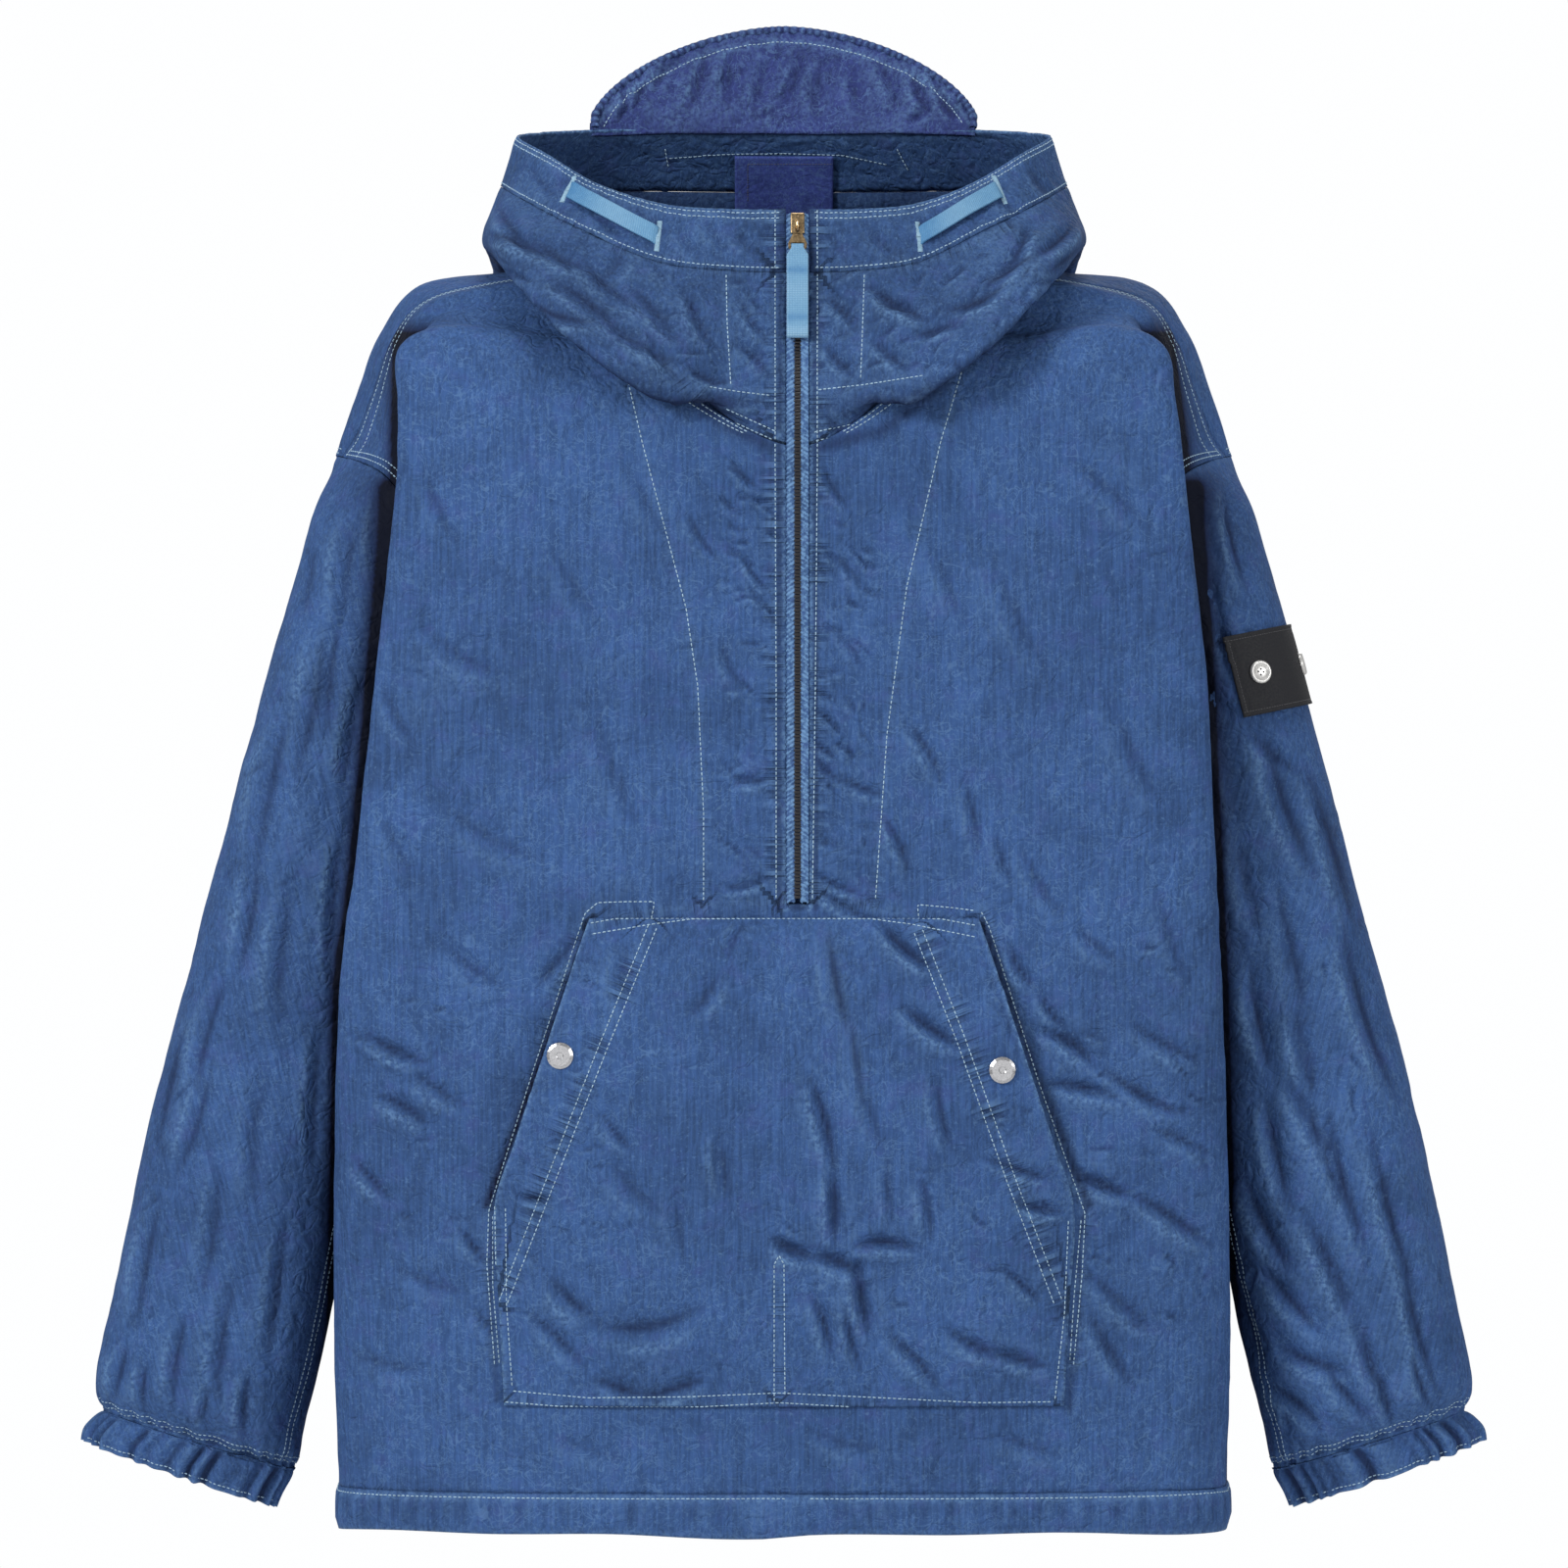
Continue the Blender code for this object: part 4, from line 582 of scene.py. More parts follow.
POCKET_FOLDS = [
    (896, 938, 958, 992, 8, 2.4, 4), (915, 1022, 990, 1072, 8, 2.2, 3), (826, 1095, 852, 1200, 9, 2.0, -4),
    (850, 1190, 853, 1275, 8, 2.4, 0), (786, 1262, 834, 1284, 8, 3.0, 3),
    (830, 1280, 880, 1302, 9, 3.0, -3), (868, 1273, 940, 1276, 7, 2.4, -7),
    (876, 1280, 890, 1370, 8, 2.6, 4), (826, 1318, 850, 1390, 7, 2.0, -4),
    (862, 1330, 880, 1400, 6, 1.6, 3), (966, 1354, 1024, 1384, 8, 2.2, 4),
    (1010, 1378, 1074, 1396, 7, 2.2, 0), (905, 1360, 960, 1420, 8, 1.6, -4),
    (605, 1404, 662, 1424, 8, 1.8, 3), (650, 1424, 722, 1404, 8, 1.8, 4), (615, 1135, 648, 1175, 7, 1.4, 3),
    (560, 1300, 610, 1345, 10, 1.4, 5), (600, 1350, 720, 1330, 14, 1.4, 14),
    (640, 960, 640, 1040, 10, 0.8, 4), (760, 940, 742, 980, 6, 1.0, 2), (700, 1040, 735, 990, 9, 1.0, 3),
    (526, 1219, 566, 1224, 5, 2.0, 2), (1030, 1224, 1090, 1236, 6, 2.2, 3),
    (1000, 1180, 1075, 1205, 6, 1.6, 0), (955, 1090, 975, 1180, 9, 1.2, 4),
    (940, 1200, 950, 1270, 8, 1.4, -3), (690, 1210, 700, 1290, 10, 0.8, 3),
    (880, 1110, 900, 1180, 9, 0.9, -3), (845, 945, 868, 1060, 12, -1.5, 3),
    (868, 1040, 880, 1130, 10, -1.4, 0), (540, 1340, 600, 1400, 8, 1.4, -3),
    (620, 1180, 680, 1240, 12, 0.8, 5), (1000, 970, 1050, 1100, 6, 0.6, 0),
    (1020, 1290, 1065, 1330, 6, 1.6, 0), (735, 1150, 745, 1230, 9, 0.9, 2),
    (905, 1180, 912, 1250, 7, 1.1, 2),
]
HOOD_FOLDS = [
    (520, 300, 610, 330, 9, 1.4, 5), (560, 285, 640, 345, 10, 1.2, -5), (620, 330, 700, 372, 8, 1.2, 4),
    (590, 262, 660, 320, 10, 1.0, 5), (640, 290, 690, 350, 9, 1.2, -4), (700, 300, 735, 360, 7, 1.3, 4),
    (700, 372, 745, 392, 6, 1.6, 4), (752, 300, 786, 350, 6, 1.5, 3), (750, 350, 788, 388, 6, 1.6, -4),
    (760, 290, 780, 320, 5, 1.1, 2), (838, 300, 876, 340, 6, 1.5, -4), (840, 345, 874, 385, 6, 1.6, 4),
    (886, 290, 930, 312, 7, 1.8, 4), (895, 310, 950, 330, 7, 1.6, -4), (890, 345, 930, 378, 6, 1.5, 3),
    (930, 345, 985, 330, 7, 1.4, -3), (960, 318, 1030, 290, 8, 1.6, 4), (1000, 300, 1060, 262, 8, 1.6, -5),
    (1020, 280, 1050, 232, 7, 1.4, 4), (1055, 262, 1098, 226, 7, 1.6, 4), (1070, 280, 1103, 250, 6, 1.2, 0),
    (505, 205, 545, 255, 8, 1.2, 4), (498, 240, 560, 262, 8, 1.4, -4), (540, 240, 600, 275, 9, 1.1, 4),
    (905, 400, 950, 398, 5, 1.2, 2), (700, 408, 760, 430, 6, 1.6, 3), (720, 402, 786, 410, 6, 1.4, 3),
    (890, 405, 912, 440, 5, 1.6, 2), (905, 404, 930, 430, 5, 1.5, -2), (850, 410, 885, 436, 5, 1.4, 2),
    (840, 425, 868, 450, 5, 1.3, 0), (660, 340, 700, 395, 7, 1.2, 3), (610, 290, 640, 250, 9, 0.8, 3),
]
BAND_FOLDS = [
    (540, 170, 575, 205, 7, 0.8, 3), (605, 215, 640, 245, 7, 0.8, 3), (690, 232, 715, 262, 6, 0.9, 3),
    (715, 222, 740, 262, 6, 0.9, -3), (745, 230, 775, 262, 6, 1.0, 3), (838, 235, 862, 262, 6, 1.0, -3),
    (880, 225, 920, 262, 7, 0.9, 4), (925, 218, 955, 250, 6, 0.8, -3), (1010, 190, 1050, 225, 7, 0.9, 3),
    (1050, 170, 1075, 200, 6, 0.9, 3), (560, 190, 590, 180, 7, 0.6, 2), (650, 215, 690, 240, 7, 0.7, 3),
]
LEFT_SLEEVE_FOLDS = [
    (370, 510, 352, 640, 12, 1.0, 5), (390, 500, 385, 600, 8, 1.4, 3), (330, 640, 300, 800, 13, 1.0, -6),
    (350, 620, 335, 760, 10, 1.2, 5), (372, 690, 350, 820, 8, 1.6, 4), (300, 720, 262, 900, 14, 1.0, 6),
    (262, 880, 240, 1000, 10, 1.2, -5), (350, 840, 338, 1000, 8, 1.5, 3), (300, 900, 285, 1060, 12, 1.0, 5),
    (230, 1000, 200, 1120, 10, 1.2, 5), (215, 1090, 180, 1200, 9, 1.2, -4),
    (190, 1050, 160, 1180, 8, 1.2, 4), (330, 1040, 322, 1200, 9, 1.3, 4),
    (270, 1080, 260, 1240, 11, 1.0, 5), (225, 1180, 205, 1330, 10, 1.1, -4),
    (165, 1220, 140, 1360, 9, 1.2, 4), (290, 1240, 270, 1400, 10, 1.2, -4),
    (240, 1300, 222, 1440, 10, 1.3, 4), (190, 1340, 176, 1440, 8, 1.4, 3),
    (130, 1370, 118, 1430, 7, 1.4, 2), (255, 1400, 250, 1470, 7, 1.5, 2), (325, 560, 310, 640, 10, 0.8, 4),
    (150, 1390, 146, 1440, 6, 1.4, 2), (212, 1410, 210, 1462, 6, 1.4, 1),
]
RIGHT_SLEEVE_FOLDS = [
    (1222, 500, 1240, 620, 8, 1.6, -4), (1250, 490, 1275, 610, 8, 1.6, 4),
    (1215, 560, 1250, 660, 7, 1.8, -4), (1224, 640, 1262, 660, 7, 2.0, 3),
    (1222, 690, 1262, 735, 8, 2.0, 4), (1236, 620, 1254, 690, 7, 1.8, -3),
    (1270, 740, 1330, 790, 9, 1.4, 4), (1240, 740, 1262, 840, 9, 1.4, -4),
    (1290, 745, 1345, 900, 12, 1.4, 5), (1330, 780, 1385, 960, 12, 1.4, -6),
    (1262, 840, 1290, 960, 10, 1.4, 4), (1300, 900, 1330, 1040, 11, 1.2, -4),
    (1370, 940, 1430, 1130, 12, 1.5, 6), (1275, 980, 1300, 1100, 9, 1.8, 4),
    (1322, 1030, 1345, 1120, 9, 2.2, 4), (1312, 1100, 1370, 1230, 10, 2.4, -6),
    (1352, 1120, 1400, 1290, 9, 1.8, 5), (1290, 1120, 1320, 1240, 8, 2.0, 3),
    (1268, 1200, 1320, 1300, 9, 2.0, 4), (1330, 1240, 1380, 1350, 9, 2.0, -4),
    (1400, 1150, 1450, 1330, 10, 1.5, 5), (1290, 1290, 1350, 1360, 9, 1.8, 4),
    (1380, 1330, 1420, 1440, 9, 1.8, 4), (1430, 1280, 1470, 1430, 9, 1.4, 3),
    (1300, 1370, 1380, 1400, 9, 2.0, 5), (1290, 1410, 1350, 1460, 8, 1.8, -4),
    (1350, 1390, 1400, 1450, 8, 1.8, 3), (1262, 1300, 1290, 1400, 8, 1.6, 3),
    (1440, 1380, 1462, 1440, 6, 1.6, 2), (1408, 1400, 1424, 1460, 6, 1.8, 2),
]
VISOR_FOLDS = [
    (690, 60, 665, 100, 6, 1.2, 3), (720, 55, 700, 118, 6, 1.2, -3), (750, 50, 742, 110, 6, 1.0, 3),
    (785, 60, 770, 122, 6, 1.2, 3), (815, 52, 800, 110, 6, 1.0, -3), (840, 60, 832, 125, 6, 1.2, 3),
    (870, 70, 880, 120, 6, 1.0, 3), (895, 62, 915, 112, 6, 1.2, -3), (930, 75, 950, 118, 6, 1.2, 3),
    (660, 85, 648, 118, 5, 1.0, 2), (958, 95, 975, 122, 5, 1.0, 2), (770, 45, 800, 60, 5, 0.8, 2),
]

# Creases strewn among them: folds, number, box, direction and spread in degrees, depth in mm
STREWN = (
    (BODY_FOLDS, 150, (420, 340, 1220, 1490), 30, 45, 0.42),
    (BODY_FOLDS, 46, (740, 470, 795, 915), 20, 25, 0.85),
    (BODY_FOLDS, 46, (829, 470, 890, 915), 40, 25, 0.85),
    (BODY_FOLDS, 34, (1050, 960, 1240, 1400), 25, 18, 0.90),
    (BODY_FOLDS, 20, (365, 1000, 500, 1300), 25, 18, 0.80),
    (POCKET_FOLDS, 46, (540, 940, 1060, 1420), 60, 40, 0.55),
    (POCKET_FOLDS, 26, (520, 1000, 620, 1300), 20, 20, 0.75),
    (POCKET_FOLDS, 26, (980, 1000, 1090, 1300), 30, 20, 0.85),
    (HOOD_FOLDS, 60, (500, 240, 790, 400), 40, 28, 0.75),
    (HOOD_FOLDS, 70, (834, 240, 1100, 400), -25, 28, 0.85),
    (BAND_FOLDS, 22, (540, 170, 790, 270), 55, 30, 0.45),
    (BAND_FOLDS, 22, (834, 170, 1070, 270), -50, 30, 0.45),
    (LEFT_SLEEVE_FOLDS, 90, (120, 520, 390, 1450), 106, 22, 0.60),
    (RIGHT_SLEEVE_FOLDS, 70, (1215, 500, 1470, 1450), 66, 26, 0.85),
    (VISOR_FOLDS, 40, (630, 45, 985, 122), 110, 28, 0.65),
)
for number, (folds, *strewn) in enumerate(STREWN, 1):
    folds += scattered(number, *strewn)

# ---------------------------------------------------------------- materials
def shared_group(name, inputs, outputs, wire):
    """A shader node group with named sockets, built once; wire gives what its outputs take."""
    group = bpy.data.node_groups.get(name)
    if group is None:
        group = bpy.data.node_groups.new(name, "ShaderNodeTree")
        for label, kind, value in inputs:
            socket = group.interface.new_socket(label, in_out="INPUT", socket_type="NodeSocket" + kind)
            if value is not None:
                socket.default_value = value
        for label, kind in outputs:
            group.interface.new_socket(label, in_out="OUTPUT", socket_type="NodeSocket" + kind)
        w = Wiring(group)
        found = wire(w, w.add("NodeGroupInput").outputs)
        w.add("NodeGroupOutput", **found)
    return group


class Wiring:
    """Adds nodes to a tree with their values and links in one call each."""

    def __init__(self, tree):
        self.tree = tree

    def add(self, kind, settings=None, **inputs):
        node = self.tree.nodes.new("ShaderNode" + kind if not kind.startswith("NodeGroup") else kind)
        for key, value in (settings or {}).items():
            setattr(node, key, value)
        for key, value in inputs.items():
            self.feed(node, int(key[1:]) if key[1:].isdigit() else key.replace("_", " "), value)
        return node

    def feed(self, node, key, value):
        socket = node.inputs[key]
        if hasattr(value, "is_output"):
            self.tree.links.new(value, socket)
        else:
            socket.default_value = value

    def noise(self, vector, scale, detail=2.0, roughness=0.5, distortion=0.0):
        node = self.add("TexNoise", Vector=vector, Scale=scale, Detail=detail, Roughness=roughness,
                        Distortion=distortion)
        return node.outputs["Fac"]

    def math(self, operation, a, b=0.0, clamp=False):
        node = self.add("Math", {"operation": operation, "use_clamp": clamp}, i0=a, i1=b)
        return node.outputs[0]

    def ramp(self, value, low, high, to_low=0.0, to_high=1.0):
        node = self.add("MapRange", {"interpolation_type": "SMOOTHSTEP"}, i0=value, i1=low, i2=high,
                        i3=to_low, i4=to_high)
        return node.outputs[0]

    def mix(self, factor, a, b, blend="MIX"):
        node = self.add("Mix", {"data_type": "RGBA", "blend_type": blend}, i0=factor, i6=a, i7=b)
        return node.outputs[2]

    def wander(self, place, scale, detail, roughness):
        """Noise along one number."""
        node = self.add("TexNoise", {"noise_dimensions": "1D"}, W=place, Scale=scale, Detail=detail,
                        Roughness=roughness)
        return node.outputs["Fac"]

    def drawn_out(self, given):
        """Position leant and stretched along the weave."""
        turned = self.add("VectorRotate", {"rotation_type": "EULER_XYZ"}, Vector=given["Position"],
                          Rotation=given["Lean"]).outputs[0]
        return self.add("VectorMath", {"operation": "MULTIPLY"}, i0=turned, i1=given["Along"]).outputs[0]

    def attribute(self, name):
        return self.add("Attribute", {"attribute_name": name}).outputs["Fac"]

    def bump(self, height):
        """Normal of a surface that a height in metres raises."""
        return self.add("Bump", Strength=1.0, Distance=1.0, Height=height).outputs[0]


WEAVE_SOCKETS = [
    ("Position", "Vector", None), ("Along", "Vector", (1.0, 1.0, 0.05)), ("Lean", "Vector", None),
]
DEEP_SHADE = (0.0025, 0.0045, 0.014, 1.0)


def dyed_nodes(w, given):
    """Uneven dye, fine upright streaks, pale worn lines, worn seams, painted highlight on pucker ridges and
    painted shade in folds, gaps and pucker dips.
    """
    patches = w.noise(given["Position"], 14.0, 3.0, 0.6)
    clouds = w.noise(given["Position"], 60.0, 4.0, 0.65)
    streaks = w.noise(w.drawn_out(given), 620.0, 2.0, 0.6)
    grain = w.noise(given["Position"], 430.0, 2.0, 0.65)
    tone = w.math("ADD", w.ramp(patches, 0.30, 0.70, 0.84, 1.10), w.ramp(clouds, 0.30, 0.72, -0.08, 0.10))
    tone = w.math("ADD", tone, w.ramp(streaks, 0.30, 0.72, -0.17, 0.19))
    grey = w.add("CombineColor", i0=tone, i1=tone, i2=tone).outputs[0]
    toned = w.mix(1.0, given["Dye"], grey, "MULTIPLY")
    toned = w.mix(w.ramp(clouds, 0.50, 0.74, 0.0, 0.38), toned, given["Violet"])
    lines = 0.0
    for scale, wide, deep, middle in ((80.0, 0.018, 0.34, 0.54), (170.0, 0.026, 0.30, 0.52)):
        bent = w.noise(given["Position"], scale, 1.5, 0.55, 1.2)
        line = w.ramp(w.math("ABSOLUTE", w.math("SUBTRACT", bent, middle)), 0.0, wide, deep, 0.0)
        lines = w.math("MAXIMUM", lines, line)
    lines = w.math("MULTIPLY", lines, w.ramp(patches, 0.36, 0.64, 0.30, 1.0))
    rub = w.math("MULTIPLY", given["Wear and highlight"], w.ramp(grain, 0.36, 0.66, 0.15, 1.15), clamp=True)
    rub = w.math("MAXIMUM", rub, w.ramp(grain, 0.54, 0.78, 0.0, 0.32))
    rub = w.math("MAXIMUM", rub, lines)
    # Pale on the pucker ridges: painted highlight.
    rub = w.math("MAXIMUM", rub, w.math("MULTIPLY", given["Pucker"], 0.40, clamp=True))
    worn = w.mix(rub, toned, given["Wear and highlight colour"])
    # Painted shade in folds and gaps and in the pucker dips.
    shade_share = w.math("MAXIMUM", given["Painted shade"], w.math("MULTIPLY", given["Pucker"], -0.50), clamp=True)
    done = w.mix(shade_share, worn, given["Painted shade colour"])
    done = w.mix(w.ramp(given["Painted shade"], 0.85, 1.0), done, DEEP_SHADE)
    return {"Color": done, "Roughness": w.ramp(clouds, 0.3, 0.7, 0.72, 0.86)}


def dyed_cloth_group():
    """Garment-dyed cloth: its colour and roughness."""
    return shared_group("Dyed cloth", WEAVE_SOCKETS + [
        ("Dye", "Color", None), ("Wear and highlight colour", "Color", None), ("Painted shade colour", "Color", None),
        ("Violet", "Color", (0.050, 0.066, 0.230, 1.0)), ("Wear and highlight", "Float", 0.0), ("Painted shade", "Float", 0.0),
        ("Pucker", "Float", 0.0),
    ], [("Color", "Color"), ("Roughness", "Float")], dyed_nodes)


def crinkle_nodes(w, given):
    """Ridges of two sizes and the threads of the weave."""
    total = 0.0
    for scale, deep, bend in ((44.0, 0.00062, 1.0), (110.0, 0.00046, 0.9)):
        lumps = w.noise(given["Position"], scale, 1.0, 0.5, bend)
        ridge = w.math("ABSOLUTE", w.math("SUBTRACT", lumps, 0.5))
        ridge = w.math("MULTIPLY", w.math("POWER", ridge, 0.8), deep * 4.0)
        total = w.math("ADD", total, ridge)
    total = w.math("MULTIPLY", total, given["Crease"])
    threads = w.math("MULTIPLY", w.noise(w.drawn_out(given), 900.0, 1.0, 0.5), 0.00007)
    return {"Height": w.math("ADD", total, threads)}


def crinkle_group():
    """Small creases and the weave of washed cloth, as a height in metres."""
    return shared_group("Cloth crinkle", WEAVE_SOCKETS + [("Crease", "Float", 1.0)], [("Height", "Float")],
                        crinkle_nodes)


def pucker_nodes(w, given):
    """Ridges and dips along the run of a seam, in some places stronger."""
    turns = w.math("DIVIDE", given["Run"], given["Pitch"])
    wave = w.ramp(w.wander(turns, 1.3, 2.0, 0.6), 0.36, 0.64, -1.0, 1.0)
    slow = w.ramp(w.wander(turns, 0.23, 1.0, 0.5), 0.38, 0.60, 0.12, 1.0)
    return {"Pucker": w.math("MULTIPLY", w.math("MULTIPLY", wave, slow), given["Near"])}


def pucker_group():
    """Small uneven puckers across a seam, from -1 in a dip to 1 on a ridge."""
    return shared_group("Seam puckers", [
        ("Run", "Float", 0.0), ("Near", "Float", 0.0), ("Pitch", "Float", 0.0055),
    ], [("Pucker", "Float")], pucker_nodes)


def new_material(name, roughness=0.8, metallic=0.0):
    """A material with a plain shader, the wiring of its tree and that shader."""
    made = bpy.data.materials.new(name)
    made.use_nodes = True
    made.node_tree.nodes.clear()
    w = Wiring(made.node_tree)
    shader = w.add("BsdfPrincipled", Roughness=roughness, Metallic=metallic)
    w.add("OutputMaterial", Surface=shader.outputs[0])
    return made, w, shader


def cloth_material(name, dye, lean=0.0, crease=1.0, dark=1.0):
    """Cloth of one dye; the weave runs upright, or leans by an angle with a sleeve."""
    if name in bpy.data.materials:
        return bpy.data.materials[name]
    made, w, shader = new_material(name)
    settings = bpy.context.scene.parka
    place = w.add("TexCoord").outputs["Object"]
    colour = w.add("Group", {"node_tree": dyed_cloth_group()})
    height = w.add("Group", {"node_tree": crinkle_group()})
    for group in (colour, height):
        w.feed(group, "Position", place)
        w.feed(group, "Lean", (0.0, lean, 0.0))
    w.feed(colour, "Dye", (*(c * dark for c in dye), 1.0))
    w.feed(colour, "Wear and highlight colour", (*settings.rubbed, 1.0))
    w.feed(colour, "Painted shade colour", (*settings.hollow, 1.0))
    w.feed(colour, "Wear and highlight", w.attribute("rub"))
    w.feed(colour, "Painted shade", w.attribute("hollow"))
    w.feed(height, "Crease", crease * settings.crinkle)
    pucker = w.add("Group", {"node_tree": pucker_group()}, Run=w.attribute("run"), Near=w.attribute("near"))
    w.feed(colour, "Pucker", pucker.outputs["Pucker"])
    raised = w.math("ADD", height.outputs["Height"], w.math("MULTIPLY", pucker.outputs["Pucker"], 0.0009))
    w.feed(shader, "Base Color", colour.outputs["Color"])
    w.feed(shader, "Roughness", colour.outputs["Roughness"])
    w.feed(shader, "Normal", w.bump(raised))
    w.feed(shader, "Specular IOR Level", 0.15)
    return made


def webbing_material(name, colour):
    """Ribbed webbing; the attributes run and near are metres along and across it; painted shade darkens it
    towards a deeper colour, and wear with painted highlight pales it.
    """
    if name in bpy.data.materials:
        return bpy.data.materials[name]
    made, w, shader = new_material(name, 0.7)
    ribs = w.math("SINE", w.math("MULTIPLY", w.attribute("near"), 2 * math.pi / 0.00088))
    picks = w.math("SINE", w.math("MULTIPLY", w.attribute("run"), 2 * math.pi / 0.00105))
    weave = w.ramp(w.math("MULTIPLY", w.math("ADD", ribs, 1.4), w.math("ADD", picks, 1.6)), 0.2, 4.6)
    uneven = w.noise(w.add("TexCoord").outputs["Object"], 260.0, 3.0, 0.6)
    deep = (colour[0] * 0.16, colour[1] * 0.42, colour[2] * 0.66, 1.0)
    pale = (min(colour[0] * 1.75, 1.0), min(colour[1] * 1.35, 1.0), min(colour[2] * 1.18, 1.0), 1.0)
    dyed = w.mix(w.math("ADD", w.attribute("hollow"), w.ramp(uneven, 0.3, 0.7, -0.10, 0.12), clamp=True),
                 (*colour, 1.0), deep)
    dyed = w.mix(w.attribute("rub"), dyed, pale)
    w.feed(shader, "Base Color", w.mix(w.ramp(weave, 0.0, 1.0, 0.55, 0.0), dyed, deep))
    w.feed(shader, "Normal", w.bump(w.math("MULTIPLY", weave, 0.00018)))
    return made


def plain_material(name, colour, roughness=0.6, metallic=0.0, spots=0.0, scale=900.0, bump=0.0):
    """One colour with a little unevenness in tone and height."""
    if name in bpy.data.materials:
        return bpy.data.materials[name]
    made, w, shader = new_material(name, roughness, metallic)
    place = w.add("TexCoord").outputs["Object"]
    grain = w.noise(place, scale, 3.0, 0.6)
    dark = (*(c * (1.0 - spots) for c in colour), 1.0)
    w.feed(shader, "Base Color", w.mix(w.ramp(grain, 0.35, 0.65), dark, (*colour, 1.0)))
    w.feed(shader, "Roughness", w.ramp(grain, 0.3, 0.7, roughness * 0.85, min(roughness * 1.15, 1.0)))
    if bump:
        w.feed(shader, "Normal", w.bump(w.math("MULTIPLY", grain, bump)))
    return made


# ---------------------------------------------------------------- pieces
def put_mesh(name, points, faces, look, body="garment", nodes=(), smooth_faces=True):
    """A new piece from points and faces, riding on a body and standing for CAD nodes."""
    mesh = bpy.data.meshes.new(name)
    flat = np.ascontiguousarray(points.reshape(-1, 3), dtype=np.float32)
    faces = [np.asarray(f) for f in (faces if isinstance(faces, list) else [faces]) if len(f)]
    mesh.vertices.add(len(flat))
    mesh.vertices.foreach_set("co", flat.ravel())
    corners = np.concatenate([f.ravel() for f in faces])
    sides = np.concatenate([np.full(len(f), f.shape[1]) for f in faces])
    mesh.loops.add(len(corners))
    mesh.loops.foreach_set("vertex_index", corners.astype(np.int32))
    mesh.polygons.add(len(sides))
    mesh.polygons.foreach_set("loop_start", (np.cumsum(sides) - sides).astype(np.int32))
    mesh.update(calc_edges=True)
    mesh.validate()
    if smooth_faces:
        mesh.shade_smooth()
    mesh.materials.append(look)
    item = bpy.data.objects.new(name, mesh)
    item["outer_faces"] = len(faces[0])
    bpy.context.scene.collection.objects.link(item)
    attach(item, body)
    if nodes:
        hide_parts(*nodes)
    return item


def set_values(item, shape, **layers):
    """Stores values at a piece's points, each spread over the shape of its grid."""
    for name, values in layers.items():
        layer = item.data.attributes.new(name, "FLOAT", "POINT")
        layer.data.foreach_set("value", np.broadcast_to(values, shape).astype(np.float32).ravel())


def wall(item, thickness):
    """Gives an open piece its thickness, inwards."""
    solid = item.modifiers.new("wall", "SOLIDIFY")
    solid.thickness = thickness
    solid.offset = -1.0
    solid.use_even_offset = False
    return item


def numbered(rows, columns, closed, first=0):
    """Point numbers of a grid, its first column once more at the end where it is closed."""
    number = first + np.arange(rows * columns).reshape(rows, columns)
    return np.concatenate([number, number[:, :1]], 1) if closed else number


def cells_of(number, keep, flip):
    """Quads of a grid of point numbers; keep marks the cells that are there."""
    cells = np.stack([number[:-1, :-1], number[:-1, 1:], number[1:, 1:], number[1:, :-1]], -1)
    cells = (cells if keep is None else cells[keep]).reshape(-1, 4)
    return cells[:, ::-1] if flip else cells


def grid_faces(rows, columns, closed=False, flip=False, keep=None):
    """Quads of a grid of points."""
    return cells_of(numbered(rows, columns, closed), keep, flip)


def facing(points, closed, out):
    """Normals of a grid on the side that out's direction shows, and whether they had to be turned."""
    if closed:
        wide = np.concatenate([points[:, -1:], points, points[:, :1]], 1)
        du = wide[:, 2:] - wide[:, :-2]
    else:
        du = np.gradient(points, axis=1)
    normals = unit(np.cross(du, np.gradient(points, axis=0)))
    row, column, direction = out
    turned = float(normals[row, column] @ np.asarray(direction, float)) < 0.0
    return (-normals if turned else normals), turned


def coarse_cells(keep, rows, columns):
    """Which cells of a coarser grid, with its lines at the given numbers, lie on kept cells alone."""
    total = np.zeros((keep.shape[0] + 1, keep.shape[1] + 1), int)
    total[1:, 1:] = np.cumsum(np.cumsum(keep, 0), 1)
    found = total[np.ix_(rows[1:], columns[1:])] - total[np.ix_(rows[:-1], columns[1:])]
    found += total[np.ix_(rows[:-1], columns[:-1])] - total[np.ix_(rows[1:], columns[:-1])]
    return found == np.outer(np.diff(rows), np.diff(columns))


def coarse_lines(kept, step, fewest):
    """Each step-th line of a grid, its last line and those where more than so few cells change."""
    changes = np.nonzero((kept[1:] != kept[:-1]).sum(1) > fewest)[0] + 1
    return np.unique(np.concatenate([np.arange(0, len(kept) + 1, step), [len(kept)], changes]).astype(int))


def rim_faces(outer, inner, kept, r, c, turned, closed):
    """Triangles that join the edge of the outer grid to that of the coarser inner one."""
    padded = np.pad(kept, 1)
    if closed:
        padded[:, 0], padded[:, -1] = padded[:, 1], padded[:, -2]
    found = []

    def join(path, a, b, flip):
        if flip:
            path, a, b = path[::-1], b, a
        middle = (len(path) - 1) // 2
        for k in range(len(path) - 1):
            found.append((path[k + 1], path[k], a if k < middle else b))
        found.append((path[middle], a, b))

    for i, j in zip(*np.nonzero(padded[:-1, 1:-1] != padded[1:, 1:-1])):
        join(outer[r[i], c[j]:c[j + 1] + 1], inner[i, j], inner[i, j + 1], padded[i, j + 1] != turned)
    for i, j in zip(*np.nonzero(padded[1:-1, :-1] != padded[1:-1, 1:])):
        join(outer[r[i]:r[i + 1] + 1, c[j]], inner[i, j], inner[i + 1, j], padded[i + 1, j] == turned)
    return np.array(found)


